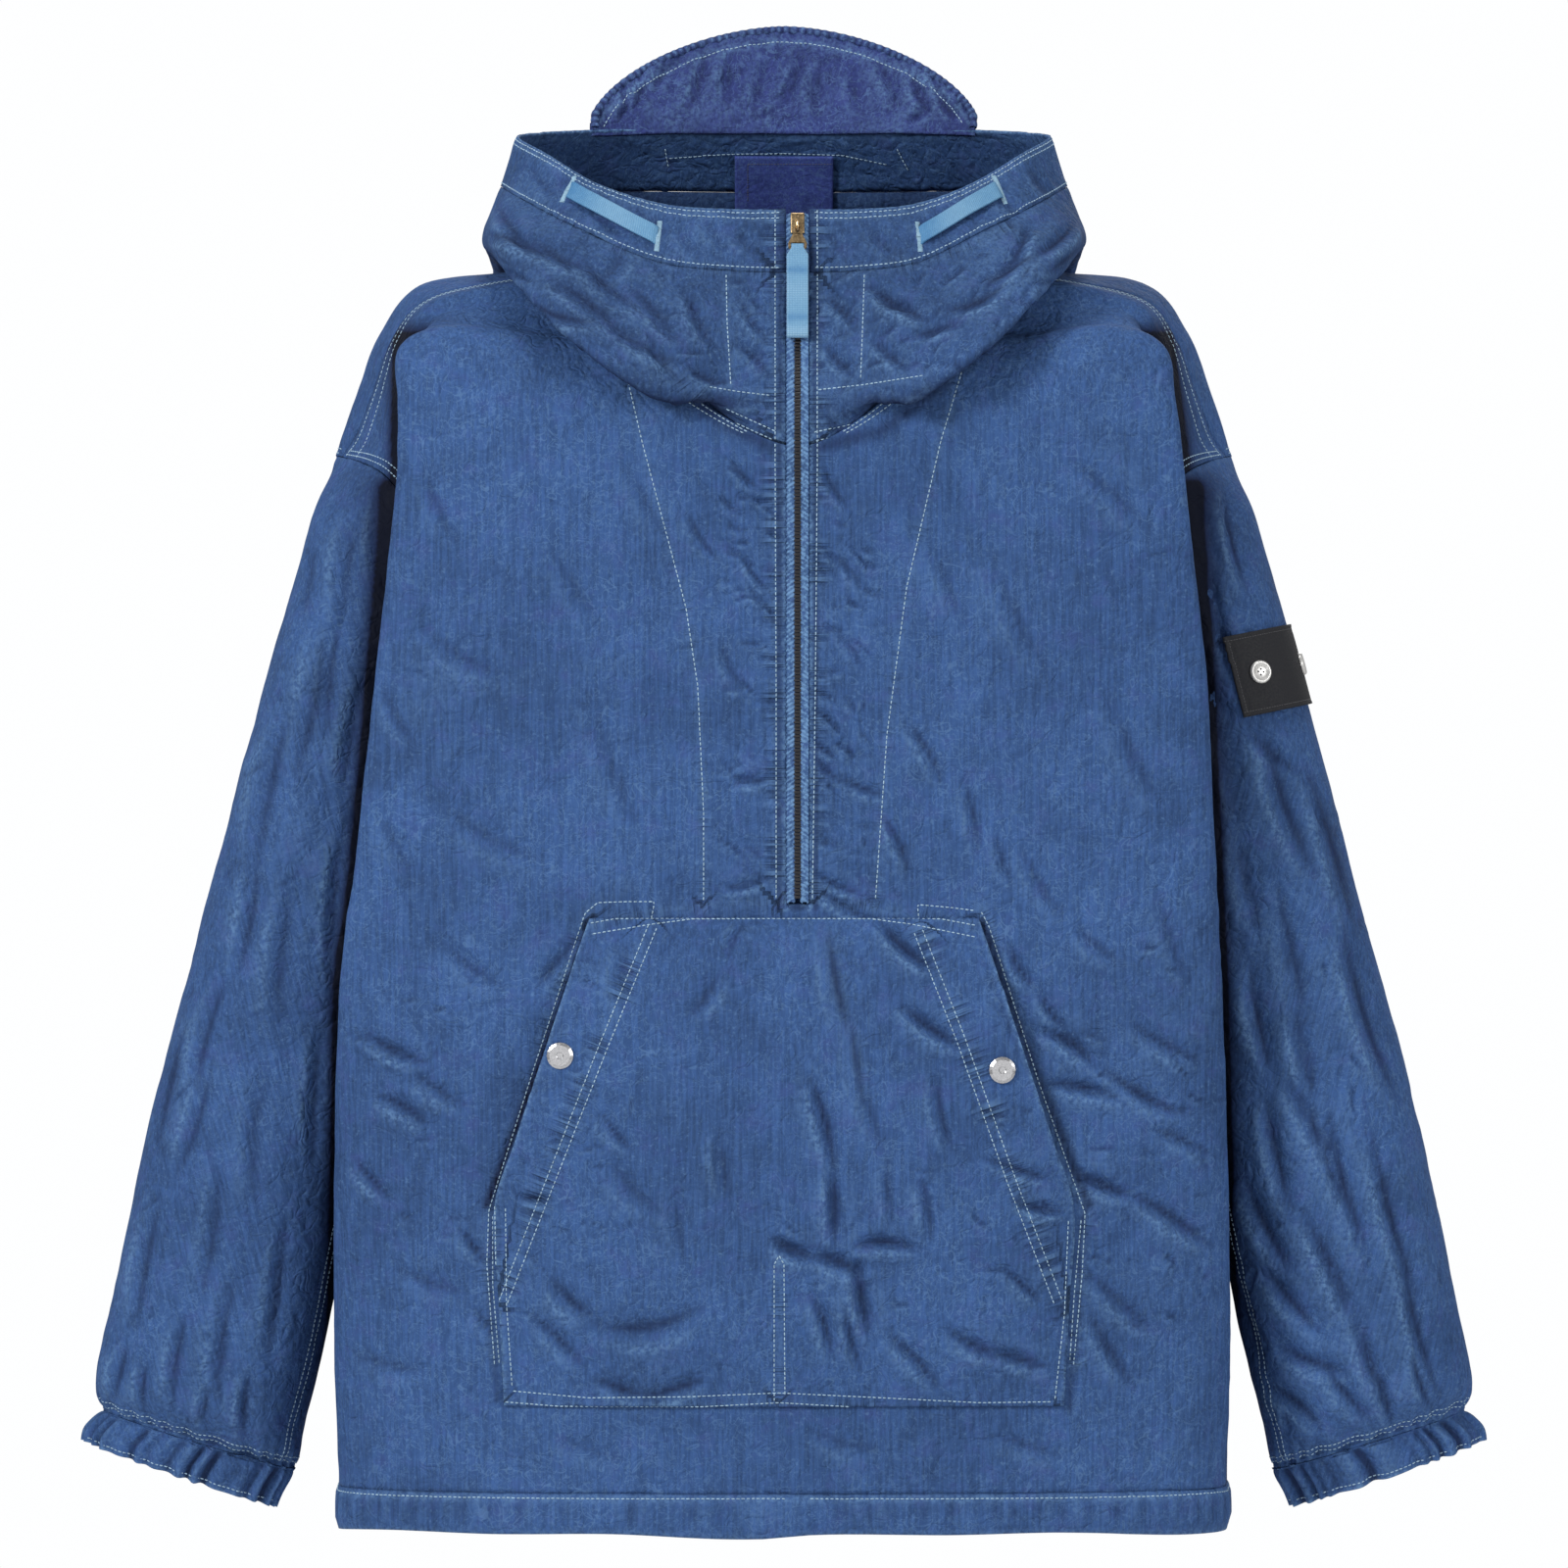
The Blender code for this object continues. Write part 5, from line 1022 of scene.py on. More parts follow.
def sheet_grid(name, node, points, out, look, relief, closed=False, keep=None,
               thickness=CLOTH, inner=0, seams=(0.0, 0.0)):
    """A cloth piece from a grid, its points moved out by the height that its relief begins with.

    With inner, its inner face is a grid of its own that takes each inner-th line of the outer one."""
    height, rub, hollow = relief
    normals, turned = facing(points, closed, out)
    moved = points + normals * height[..., None]
    rows, columns = points.shape[:2]
    faces = [grid_faces(rows, columns, closed, turned, keep)]
    places = [moved.reshape(-1, 3)]
    layers = [[np.broadcast_to(v, (rows, columns)).reshape(-1)] for v in (rub, hollow, *seams)]
    if inner:
        there = np.ones((rows - 1, columns - 1), bool) if keep is None else keep
        r, c = coarse_lines(there, inner, 4), coarse_lines(there.T, inner, 12)
        lining = (moved - normals * thickness)[np.ix_(r, c)]
        outside = numbered(rows, columns, closed)
        inside = numbered(*lining.shape[:2], closed, rows * columns)
        if closed:
            c = np.append(c, columns)
            there = np.ones((rows - 1, columns), bool)
        kept = coarse_cells(there, r, c)
        faces.append(cells_of(inside, kept, not turned))
        faces.append(rim_faces(outside, inside, kept, r, c, turned, closed))
        places.append(lining.reshape(-1, 3))
        # The inner faces get painted shade.
        for layer, value in zip(layers, (0.0, INSIDE_SHADE, 0.0, 0.0)):
            layer.append(np.full(lining.shape[0] * lining.shape[1], value))
    places = np.concatenate(places)
    used = np.zeros(len(places), bool)
    for group in faces:
        used[group.ravel()] = True
    renumber = np.cumsum(used) - 1
    item = put_mesh(name, places[used], [renumber[group] for group in faces], look, nodes=(node,))
    rub, hollow, run, near = (np.concatenate(layer)[used] for layer in layers)
    set_values(item, rub.shape, rub=np.clip(rub, 0, 1), hollow=np.clip(hollow, 0, 1), run=run, near=near)
    return item if inner else wall(item, thickness)


def seam_values(points, normals, lines):
    """Run along the nearest row of stitches and nearness to it, for the small puckers beside it."""
    places = picture(points)
    run, near, best = np.zeros(points.shape[:2]), np.zeros(points.shape[:2]), 1e9
    front = smooth(-normals[..., 1], 0.0, 0.4)
    for k, (line, reach, strength) in enumerate(lines):
        d, s, _ = along_line(places, line)
        closer = d < best
        best = np.where(closer, d, best)
        run = np.where(closer, (s + 300.0 * k) * PIXEL, run)
        near = np.where(closer, strength * bell(d, reach) * front, near)
    return run, near


def surface_relief(points, normals, strokes, lines, amount=1.0):
    """Height, wear with painted highlight, and painted shade of a piece from its creases, the pull of its
    seams and its crinkle.
    """
    places = picture(points)
    front = smooth(-normals[..., 1], -0.05, 0.35)
    rear = smooth(normals[..., 1], -0.05, 0.35)
    mirrored = np.stack([1600.0 - places[..., 0], places[..., 1] + 9.0], -1)
    drawn = 1.7 * (creases(places, strokes) * front + creases(mirrored, strokes) * rear * 0.8)
    dark, pale = fold_lines(places, strokes)
    height = drawn + crinkle(points, CRINKLE_SEED, amount)
    rub = np.zeros(height.shape)
    for k, (line, pitch, reach, deep) in enumerate(lines):
        beside = along_line(places, line)
        height += puckers(beside, pitch, reach, deep, CRINKLE_SEED + k) * front
        height -= 0.00055 * bell(beside[0], 2.2) * front
        rub = np.maximum(rub, 0.22 * bell(beside[0], 5.0) * front)
    # Paler on raised cloth and on fold ridges: painted highlight, on top of the wear beside the stitch rows.
    rub = rub + smooth(height, 0.0004, 0.0018) * 0.20 + 0.40 * pale * front
    # Darker in troughs and at fold bottoms: painted shade.
    hollow = np.maximum(smooth(-height, 0.0008, 0.0026) * 0.40, smooth(-drawn, 0.0006, 0.0030) * 0.50)
    hollow = np.maximum(hollow, 0.80 * dark * front)
    return height, rub, hollow


def beside_zip(points, there, height, rub, hollow):
    """A relief calmed beside the zip, worn pale at the slit's edge and darkened with painted shade at the
    placket, where it is.
    """
    away = np.abs(points[..., 0] - ZIP_X)
    calm = smooth(away, 0.0055, 0.013)
    edge = np.exp(-((away - SLIT) / 0.0022) ** 2) * there
    placket = smooth(0.0125 - away, 0.0, 0.0015) * there
    height = np.where(there, height * (0.25 + 0.75 * calm), height)
    return height, np.maximum(rub, 0.75 * edge), np.maximum(hollow, 0.55 * placket * (1.0 - edge))


def graded(curve, low, high, count, dense):
    """Places between two ends of a curve, closer together where dense, of the run, is larger."""
    fine = np.linspace(low, high, 1500)
    run = run_along(curve(fine))
    load = np.concatenate([[0.0], np.cumsum(np.diff(run) * 0.5 * (dense(run[1:]) + dense(run[:-1])))])
    return np.interp(np.linspace(0, load[-1], count + 1), load, fine)


ZIP_ROWS = [(line, 13, 13, 0.55) for line in (ZIP_LEFT, ZIP_RIGHT)]
ZIP_SEAMS = [(line, 12, 1.0) for line in (ZIP_LEFT, ZIP_RIGHT)]
FRONT_SEAMS = ZIP_SEAMS + [
    (FACING_LEFT, 7, 0.45), (FACING_RIGHT, 7, 0.45), (POCKET_TOP, 8, 0.6),
    *((line, 8, 0.6) for line in BODY_SIDE[:2]),
]
# Where the side folds of the body stand over the sleeves, in the picture
FOLD_LEFT = [
    (412, 340), (408, 500), (402, 560), (385, 700), (365, 900), (350, 1000), (345, 1250), (342, 1470),
]
FOLD_RIGHT = [(1186, 340), (1205, 480), (1228, 700), (1243, 1000), (1256, 1470)]
# Shade that the hood and the pocket throw on the front beside their edges
UNDER_EDGES = [
    ([(604, 940), (560, 1060), (498, 1228)], 5.0, 1.0), ([(1003, 945), (1052, 1080), (1110, 1230)], 5.0, 0.8),
    ([(505, 1228), (500, 1320), (508, 1428)], 4.0, 0.5),
    ([(1106, 1230), (1101, 1320), (1090, 1440)], 4.0, 0.5),
    ([(540, 300), (600, 345), (680, 385), (745, 436), (790, 458)], 8.0, 0.55),
    ([(833, 458), (900, 440), (970, 385), (1040, 320)], 8.0, 0.55),
]
FRONT_LINES = ZIP_ROWS + [
    (FACING_LEFT, 15, 9, 0.30), (FACING_RIGHT, 15, 9, 0.30), (POCKET_TOP, 12, 9, 0.35),
    *((line, 13, 9, 0.45) for line in BODY_SIDE[:2]),
]



def beyond_fold(places, line, sign):
    """How far places are past a drawn upright line, on the side of the sign."""
    fold = np.array(line, float)
    return (places[..., 0] - np.interp(places[..., 1], fold[:, 1], fold[:, 0])) * sign


def below_armhole(keep, rows, count):
    """Takes the shoulder's cells, count at each end of a row, away from the rows below the armhole."""
    low = rows[:-1] < FLAP_ROW - 1e-6
    keep[low, :count] = False
    keep[low, keep.shape[1] - count:] = False


def body_front(look):
    """The front with both its halves, slit for the zip."""
    rows = even(lambda a: main_point(FRONT, 1.0, a, 1.0), 0.0, 13.0, 0.00245, (PIT_ROW, FLAP_ROW))
    main = graded(lambda a: main_point(FRONT, 1.0, 3.0, a), 0.0, 1.0, 106,
                  lambda run: 1.0 + 0.9 * (run < 0.050))
    flap = np.linspace(2.0, 3.0, 27)[1:]
    across = np.concatenate([main, np.linspace(1.0, 2.0, 15)[1:], flap])
    at = rows[:, None]
    left = panel_point(FRONT, -1.0, at, across[None, ::-1])
    right = panel_point(FRONT, 1.0, at, across[None, :])
    bridge = np.linspace(0.0, 1.0, 8)[1:-1]
    middle = left[:, -1:, :] * (1 - bridge)[None, :, None] + right[:, :1, :] * bridge[None, :, None]
    points = np.concatenate([left, middle, right], 1)
    keep = np.ones((len(rows) - 1, points.shape[1] - 1), bool)
    below_armhole(keep, rows, len(flap))
    first, last = len(across), len(across) + len(bridge) - 1
    slit_rows = points[:, first, 2] > ZIP_BOTTOM_Z
    keep[slit_rows[:-1], first + 1:last - 1] = False
    for k, roll in enumerate(np.array([(0.0005, 0.0009, 0.0), (0.0003, 0.0022, 0.0)])):
        points[slit_rows, first + k] = points[slit_rows, first - 1] + roll
        points[slit_rows, last - k] = points[slit_rows, last + 1] + roll * (-1.0, 1.0, 1.0)
    out = (60, first + 20, FORWARD)
    normals, _ = facing(points, False, out)
    relief = surface_relief(points, normals, BODY_FOLDS, FRONT_LINES)
    height, rub, hollow = beside_zip(points, points[..., 2] > ZIP_BOTTOM_Z - 0.004, *relief)
    spread = np.concatenate([across[::-1], [0] * len(bridge), across])[None, :]
    # Painted shade where the panel turns back beyond its side fold, below the shoulder.
    hollow = np.maximum(hollow, 0.6 * smooth(spread, 1.0, 1.5) * (at < FLAP_ROW))
    places = picture(points)
    for sign, line in ((-1.0, FOLD_LEFT), (1.0, FOLD_RIGHT)):
        beside = beyond_fold(places, line, sign)
        beside = np.where(points[..., 0] * sign > 0, beside, 99.0)
        # Painted shadow in the gap between the front's fold and the dropped shoulder.
        tuck = smooth(spread, 1.4, 2.0) * np.exp(-np.maximum(beside - 8.0, 0.0) / 7.0) * (at >= FLAP_ROW)
        hollow = np.maximum(hollow, 1.3 * tuck * smooth(places[..., 1], 318.0, 350.0))
    for line, wide, deep in UNDER_EDGES:
        shade = deep * np.exp(-(along_line(places, line)[0] / wide) ** 2)
        hollow = np.maximum(hollow, shade * (normals[..., 1] < 0))
    return sheet_grid("front_cloth", "body_front", points, out, look, (height, rub, hollow), keep=keep,
                      inner=3, seams=seam_values(points, normals, FRONT_SEAMS))


def body_back(look):
    """The back with both its halves."""
    rows = even(lambda a: main_point(BACK, 1.0, a, 1.0), 0.0, 13.0, 0.0035, (PIT_ROW, FLAP_ROW))
    flap = np.linspace(2.0, 3.0, 17)[1:]
    across = np.concatenate([np.linspace(0.0, 1.0, 70), np.linspace(1.0, 2.0, 17)[1:], flap])
    at = rows[:, None]
    left = panel_point(BACK, -1.0, at, across[None, ::-1])
    points = np.concatenate([left, panel_point(BACK, 1.0, at, across[None, 1:])], 1)
    keep = np.ones((len(rows) - 1, points.shape[1] - 1), bool)
    below_armhole(keep, rows, len(flap))
    out = (60, len(across) + 20, (0.0, 1.0, 0.0))
    normals, _ = facing(points, False, out)
    relief = surface_relief(points, normals, BODY_FOLDS, [])
    return sheet_grid("back_cloth", "body_back", points, out, look, relief, keep=keep, inner=3)


SHOULDER_LINES = {-1.0: [(347, 463), (375, 470), (405, 488)], 1.0: [(1252, 463), (1225, 472), (1200, 490)]}
# At rows of the picture: how wide the body's shade on the sleeves is, and how much of it is full
SHADE_ROWS, SHADE_WIDE = [500.0, 640.0, 1000.0, 1450.0], [18.0, 12.0, 8.0, 6.0]
FULL_ROWS, FULL_WIDE = [500.0, 600.0, 760.0, 1450.0], [16.0, 12.0, 8.0, 8.0]


def sleeve(side, word, look):
    """One sleeve, from the armhole seam to the cuff."""
    turn = np.linspace(0.5, 1.5, 181)[:-1]
    at = even(lambda a: sleeve_points(side, a, np.array([0.25]))[:, 0], 0.0, 11.0, 0.0024)
    points = sleeve_points(side, at, turn)
    quarter = int(np.argmin(np.abs(turn - 1.25)))
    out = (90, quarter, FORWARD)
    normals, _ = facing(points, True, out)
    strokes, fold = (LEFT_SLEEVE_FOLDS, FOLD_LEFT) if side < 0 else (RIGHT_SLEEVE_FOLDS, FOLD_RIGHT)
    height, rub, hollow = surface_relief(points, normals, strokes, [(SHOULDER_LINES[side], 12, 9, 0.35)])
    run = run_along(points[:, quarter])
    from_cuff = (run[-1] - run)[:, None]
    gathers = np.cos(2 * math.pi * (26 * turn[None, :] + 0.35 * np.sin(5 * 2 * math.pi * turn[None, :])))
    height = height + 0.0013 * gathers * bell(from_cuff, 0.016)
    rub = rub + 0.35 * smooth(gathers, 0.3, 1.0) * bell(from_cuff, 0.012)
    close = smooth(run, 0.0, 0.010)[:, None] * 0.8 + 0.2
    height = height * (close * (0.25 + 0.75 * smooth(from_cuff, 0.0, 0.006)))
    # Painted shade on the sleeve's inner side, fading out near the cuff.
    inner = smooth(np.cos(2 * math.pi * (turn[None, :] - 0.5)), 0.55, 0.95)
    hollow = np.maximum(hollow, 0.45 * inner * smooth(from_cuff, 0.02, 0.10))
    places = picture(points)
    # Painted shadow that the body's side fold throws on the sleeve.
    beside = beyond_fold(places, fold, side)
    wide = np.interp(places[..., 1], SHADE_ROWS, SHADE_WIDE)
    full = np.interp(places[..., 1], FULL_ROWS, FULL_WIDE)
    shade = np.exp(-np.maximum(beside - full, 0.0) / wide) * smooth(-normals[..., 1], -0.6, -0.1)
    hollow = np.maximum(hollow, 1.25 * shade * smooth(places[..., 1], 470.0, 500.0))
    seams = seam_values(points, normals, [(SHOULDER_LINES[side], 8, 0.6)])
    return sheet_grid("sleeve_cloth_" + word, "sleeve_" + word, points, out, look, (height, rub, hollow),
                      closed=True, inner=3, seams=seams)


def cuff(side, word, look):
    """Gathered wrist end of a sleeve."""
    turn = np.linspace(0.5, 1.5, 289)[:-1]
    at = np.linspace(0.0, 3.0, 26)
    rings = spline(ring_points(CUFF, side, turn), at)
    grow = np.interp(at, (0.0, 0.6, 1.4, 3.0), (0.0002, 0.0006, 0.0024, 0.0026))[:, None]
    phase = 24 * turn + 0.45 * np.sin(2 * math.pi * 5 * turn + side) + 0.2 * np.sin(2 * math.pi * 11 * turn)
    wave = np.cos(2 * math.pi * phase)[None, :]
    size = (0.8 + 0.35 * np.sin(2 * math.pi * (7 * turn + 0.3)))[None, :]
    height = grow * wave * size + crinkle(rings, CRINKLE_SEED, 0.4)
    height -= 0.0006 * bell(at[:, None], 0.25, 0.75)
    # Wear at the cuff's end; painted highlight on the tops of the gathers and painted shade in their troughs.
    rub = 0.30 * smooth(wave * size, 0.3, 1.0) + 0.5 * smooth(at, 2.6, 3.0)[:, None]
    hollow = 0.75 * smooth(-wave * size, 0.1, 1.0) * smooth(grow, 0.0004, 0.0018)
    out = (13, int(np.argmin(np.abs(turn - 1.25))), FORWARD)
    return sheet_grid("cuff_cloth_" + word, "cuff_" + word, rings, out, look, (height, rub, hollow),
                      closed=True)


def hem_band(look):
    """Hem of the body, gathered a little on its stitch row."""
    half = np.linspace(0.0, 2.0, 141)
    there, again = half[:-1], half[:0:-1]
    quarters = ((FRONT, 1.0, there), (BACK, 1.0, again), (BACK, -1.0, there), (FRONT, -1.0, again))
    ring = np.concatenate([main_point(rows, side, 0.0, stations) for rows, side, stations in quarters])
    down = np.linspace(0.0, 1.0, 13)[:, None]
    pinch = np.interp(down, (0.0, 0.25, 0.75, 1.0), (0.0, 0.0022, 0.0024, 0.0006))
    grow = 1.0 + pinch / np.hypot(ring[:, 0], ring[:, 1])
    run = run_along(ring)
    wave = 0.0012 * np.sin(run / 0.055) + 0.0007 * np.sin(run / 0.021 + 1.0)
    fall = HEM_SEAM_Z + (HEM_Z - HEM_SEAM_Z) * down
    points = np.stack([ring[:, 0] * grow, ring[:, 1] * grow, fall + down ** 3 * wave], -1)
    ripple = np.sin(run / 0.0021 + 1.6 * np.sin(run / 0.017) + 1.1 * np.sin(run / 0.041))
    strength = 0.55 + 0.45 * np.sin(run / 0.030 + 2.0)
    body = bell(down, 0.30, 0.42)
    height = 0.0007 * (ripple * strength) * body + crinkle(points, CRINKLE_SEED, 0.6)
    height = height * smooth(down, 0.0, 0.14)
    # Wear at the stitch row and the bottom edge; painted highlight on the ripple crests and painted shade in
    # their troughs.
    rub = 0.40 * bell(down, 0.10, 0.12) + 0.45 * smooth(down, 0.86, 1.0)
    rub = rub + 0.2 * smooth(ripple, 0.4, 1.0) * body
    hollow = 0.35 * smooth(-ripple, 0.3, 1.0) * body
    return sheet_grid("hem_cloth", "hem_band", points, (6, 20, FORWARD), look, (height, rub, hollow),
                      closed=True)


HOOD_LINES = [(line, 11, 12, 0.55) for line in BAND_STITCHES] + [
    (NECK_LEFT, 11, 10, 0.6), (NECK_RIGHT, 11, 10, 0.6), *((line, 12, 8, 0.35) for line in CHIN_LINES),
] + ZIP_ROWS
BAND_SEAMS = ZIP_SEAMS + [(line, 8, 0.6) for line in BAND_STITCHES]


def round_hood(down, stations):
    """Hood points: rows down its lines, columns from the left of the zip round the back to its right."""
    left = hood_points(-1.0, stations, down)
    right = hood_points(1.0, stations[::-1][1:], down)
    return np.concatenate([left, right], 1)


def hood_stations(step):
    """Places about one step apart round half the hood."""
    return even(lambda a: hood_lines(1.0, a)[2], 0.0, 1.0, step)


def hood(look):
    """Collapsed hood, from its opening band over the fullest line to the neck seam."""
    down = even(lambda d: hood_points(1.0, [0.3], d)[:, 0], 1.012, 6.0, 0.0024)
    points = round_hood(down, hood_stations(0.0026))
    out = (12, 40, FORWARD)
    normals, _ = facing(points, False, out)
    relief = surface_relief(points, normals, HOOD_FOLDS, HOOD_LINES, 1.5)
    height, rub, hollow = beside_zip(points, points[..., 1] < 0, *relief)
    points[-1] += unit(points[-1] - points[-2]) * 0.0016
    # Painted shade under the hood's fold, away from the zip.
    under = smooth(down, 3.0, 4.2)[:, None]
    hollow = np.maximum(hollow, 0.8 * under * smooth(np.abs(points[..., 0] - ZIP_X), 0.02, 0.05))
    ends = smooth(down, 1.0, 1.12) * smooth(6.0 - down, 0.0, 0.3)
    height = height * (0.15 + 0.85 * ends[:, None]) - 0.0010 * smooth(down, 5.6, 6.0)[:, None]
    seams = seam_values(points, normals, BAND_SEAMS + [(NECK_LEFT, 8, 0.7), (NECK_RIGHT, 8, 0.7)])
    return sheet_grid("hood_cloth", "hood", points, out, look, (height, rub, hollow), inner=3, seams=seams)


def hood_band(look):
    """Band round the hood's opening."""
    step = 0.0027
    down = np.linspace(0.0, 0.999, 15)[:, None]
    points = round_hood(down[:, 0], hood_stations(step))
    out = (7, 40, FORWARD)
    normals, _ = facing(points, False, out)
    height, rub, hollow = surface_relief(points, normals, BAND_FOLDS, HOOD_LINES[:2])
    run = np.arange(points.shape[1]) * step
    ripple = np.sin(run / 0.0018 + 1.4 * np.sin(run / 0.02))
    height = height * smooth(down, -0.05, 0.2) + 0.0004 * ripple * bell(down, 0.2, 0.22)
    rub = rub + 0.6 * bell(down, 0.05) + 0.28 * bell(down, 0.08, 0.18)
    # Painted shade at the placket beside the zip.
    placket = smooth(0.0125 - np.abs(points[..., 0] - ZIP_X), 0.0, 0.0015) * (points[..., 1] < 0)
    hollow = np.maximum(hollow, 0.45 * placket)
    return sheet_grid("hood_band_cloth", "hood_band", points, out, look, (height, rub, hollow),
                      seams=seam_values(points, normals, BAND_SEAMS))


# ---------------------------------------------------------------- visor
def visor_outline(t):
    """Across and up of the visor's edge, from its left foot (0) to its right one (1)."""
    angle = math.pi * (1.0 - np.asarray(t, float))
    return (VISOR_HALF * rounded(np.cos(angle), VISOR_POWER),
            VISOR_HEIGHT * np.maximum(np.sin(angle), 0.0) ** (2.0 / VISOR_POWER))


def visor_points(x, height):
    """Places on the visor, which stands on the back of the opening and leans backwards."""
    stations = np.linspace(0.5, 1.0, 400)
    found = []
    for side in (-1.0, 1.0):
        ring = hood_lines(side, stations)[0]
        order = np.argsort(np.abs(ring[:, 0]))
        reach = np.abs(ring[order, 0])
        found.append([np.interp(np.abs(x), reach, ring[order, k]) for k in (1, 2)])
    y, z = np.where(np.asarray(x) < 0, found[0], found[1])
    return np.stack([x, y + (math.sin(VISOR_LEAN) + 0.10) * height,
                     z + math.cos(VISOR_LEAN) * height + 0.0006], -1)


def visor(look):
    """Half-moon peak that stands up behind the opening."""
    x, top = visor_outline(np.linspace(0.03, 0.97, 101))
    levels = np.linspace(0.0, 1.0, 31)[:, None]
    points = visor_points(np.broadcast_to(x, (31, 101)), -0.004 + levels * (top + 0.004))
    height = 2.2 * creases(picture(points), VISOR_FOLDS) + crinkle(points, 8, 2.2)
    gap = (1.0 - levels) * top
    t = np.linspace(0.0, 1.0, 101)
    ripple = np.sin(2 * math.pi * (44 * t + 0.4 * np.sin(2 * math.pi * 7 * t)))
    height = height + 0.0007 * ripple * bell(gap, 0.006)
    dark, pale = fold_lines(picture(points), VISOR_FOLDS)
    # Worn pale near the top edge; painted highlight on raised cloth and fold ridges; painted shade in troughs
    # and fold bottoms.
    rub = 0.35 * bell(gap, 0.003, 0.006) + 0.25 * smooth(height, 0.0006, 0.0020) + 0.35 * pale
    hollow = np.maximum(0.40 * smooth(-height, 0.0005, 0.0024), 0.7 * dark)
    return sheet_grid("visor_cloth", "visor", points, (15, 50, FORWARD), look, (height, rub, hollow),
                      thickness=0.0022)


def tube_points(path, radius, sides):
    """Rings round a path: (points, sides, 3)."""
    path = np.asarray(path, float)
    along = unit(np.gradient(path, axis=0))
    first = unit(np.cross(along, (0.0, 1.0, 0.3)))
    second = np.cross(along, first)
    angle = np.linspace(0, 2 * math.pi, sides, endpoint=False)[None, :, None]
    radius = np.broadcast_to(np.asarray(radius, float), (len(path),))
    ring = first[:, None] * np.cos(angle) + second[:, None] * np.sin(angle)
    return path[:, None] + radius[:, None, None] * ring


def capped(points):
    """Faces of a tube of rings with its two ends closed by fans of quads."""
    rows, columns = points.shape[:2]
    faces = grid_faces(rows, columns, closed=True)
    fan = np.arange(columns // 2 - 1)
    caps = []
    for base, flip in ((0, False), ((rows - 1) * columns, True)):
        quad = np.stack([fan + base, fan + 1 + base, columns - 2 - fan + base, columns - 1 - fan + base], -1)
        caps.append(quad[:, ::-1] if flip else quad)
    return np.concatenate([faces] + caps)


def visor_piping(look):
    """Ruched edge round the visor."""
    x, height = visor_outline(np.linspace(0.012, 0.988, 420))
    grow = 1.0 + PIPING_RADIUS / np.hypot(x, height)
    wide = x * np.minimum(grow, VISOR_HALF / np.maximum(np.abs(x), 1e-6))
    points = visor_points(wide - 0.0016 * np.sign(x) * (1 - height / VISOR_HEIGHT), height * grow)
    points[:, 2] -= 0.0006
    run = run_along(points)
    swell = np.sin(run / 0.00074 + 1.6 * np.sin(run / 0.011) + 0.9 * np.sin(run / 0.0043))
    rings = tube_points(points, PIPING_RADIUS * (0.98 + 0.07 * swell), 12)
    item = put_mesh("visor_piping_cloth", rings, capped(rings), look, nodes=("visor_piping",))
    # Painted highlight on the swells of the ruching and painted shade in its dips.
    swell = swell[:, None]
    set_values(item, rings.shape[:2], rub=0.20 + 0.35 * smooth(swell, 0.0, 1.0),
               hollow=0.55 * smooth(-swell, 0.2, 1.0))
    return item


# ---------------------------------------------------------------- pocket
def front_points(x, z):
    """Points and outward directions of the front at heights below the zip and places across."""
    x, z = np.broadcast_arrays(np.asarray(x, float), np.asarray(z, float))
    rows = np.linspace(0.0, PIT_ROW, 300)
    table = spline(FRONT, rows)
    at = np.interp(z, table[:, 1], rows)
    row = spline(FRONT, at)
    side = np.where(x >= ZIP_X, 1.0, -1.0)
    reach = side * x
    shifted = reach
    for _ in range(7):
        shifted = reach - side * ZIP_X * np.maximum(0.0, 1.0 - (shifted - SLIT) / 0.10)
    fold_x = row[..., 2] + side * row[..., 3]
    share = np.clip((shifted - SLIT) / (fold_x - SLIT), 0.0, 1.0)
    angle = np.arcsin(share ** (ROUNDNESS / 2.0))
    depth = np.maximum(np.cos(angle), 0.0) ** (2.0 / ROUNDNESS)
    y = row[..., 4] + (row[..., 0] - row[..., 4]) * depth
    return np.stack([x, y, z], -1)


def pocket_grid(rows, columns):
    """Points, normals and lift off the front of the pocket, and its places across from -1 to 1."""
    s = np.linspace(-1.0, 1.0, columns)[None, :]
    z, half, middle, side = spline(POCKET, np.linspace(0.0, len(POCKET) - 1.0, rows)).T[..., None]
    skin = front_points(half * s, z)
    normals, _ = facing(skin, False, (rows // 2, columns // 2, FORWARD))
    middle, side = np.maximum(middle, 0.0002), np.maximum(side, 0.0002)
    lift = side + (middle - side) * (1.0 - s ** 4)
    return skin + normals * (lift + CLOTH + SEAM_GAP)[..., None], normals, lift, s


POCKET_MIDDLE_PULL = [(795, 1431), (795, 1283)]
POCKET_LINES = [
    (POCKET_TOP, 11, 9, 0.5), (POCKET_BOTTOM[0], 12, 10, 0.45),
    *((line, 12, 12, 0.8) for line in POCKET_FACING),
    (POCKET_SIDES[0], 12, 10, 0.5), (POCKET_SIDES[2], 12, 10, 0.5), (POCKET_MIDDLE_PULL, 12, 9, 0.4),
]
POCKET_SEAMS = [
    (POCKET_TOP, 9, 0.8), (POCKET_BOTTOM[0], 9, 0.7), *((line, 13, 1.0) for line in POCKET_FACING),
    (POCKET_SIDES[0], 9, 0.7), (POCKET_SIDES[2], 9, 0.7), (POCKET_MIDDLE_PULL, 8, 0.7),
]


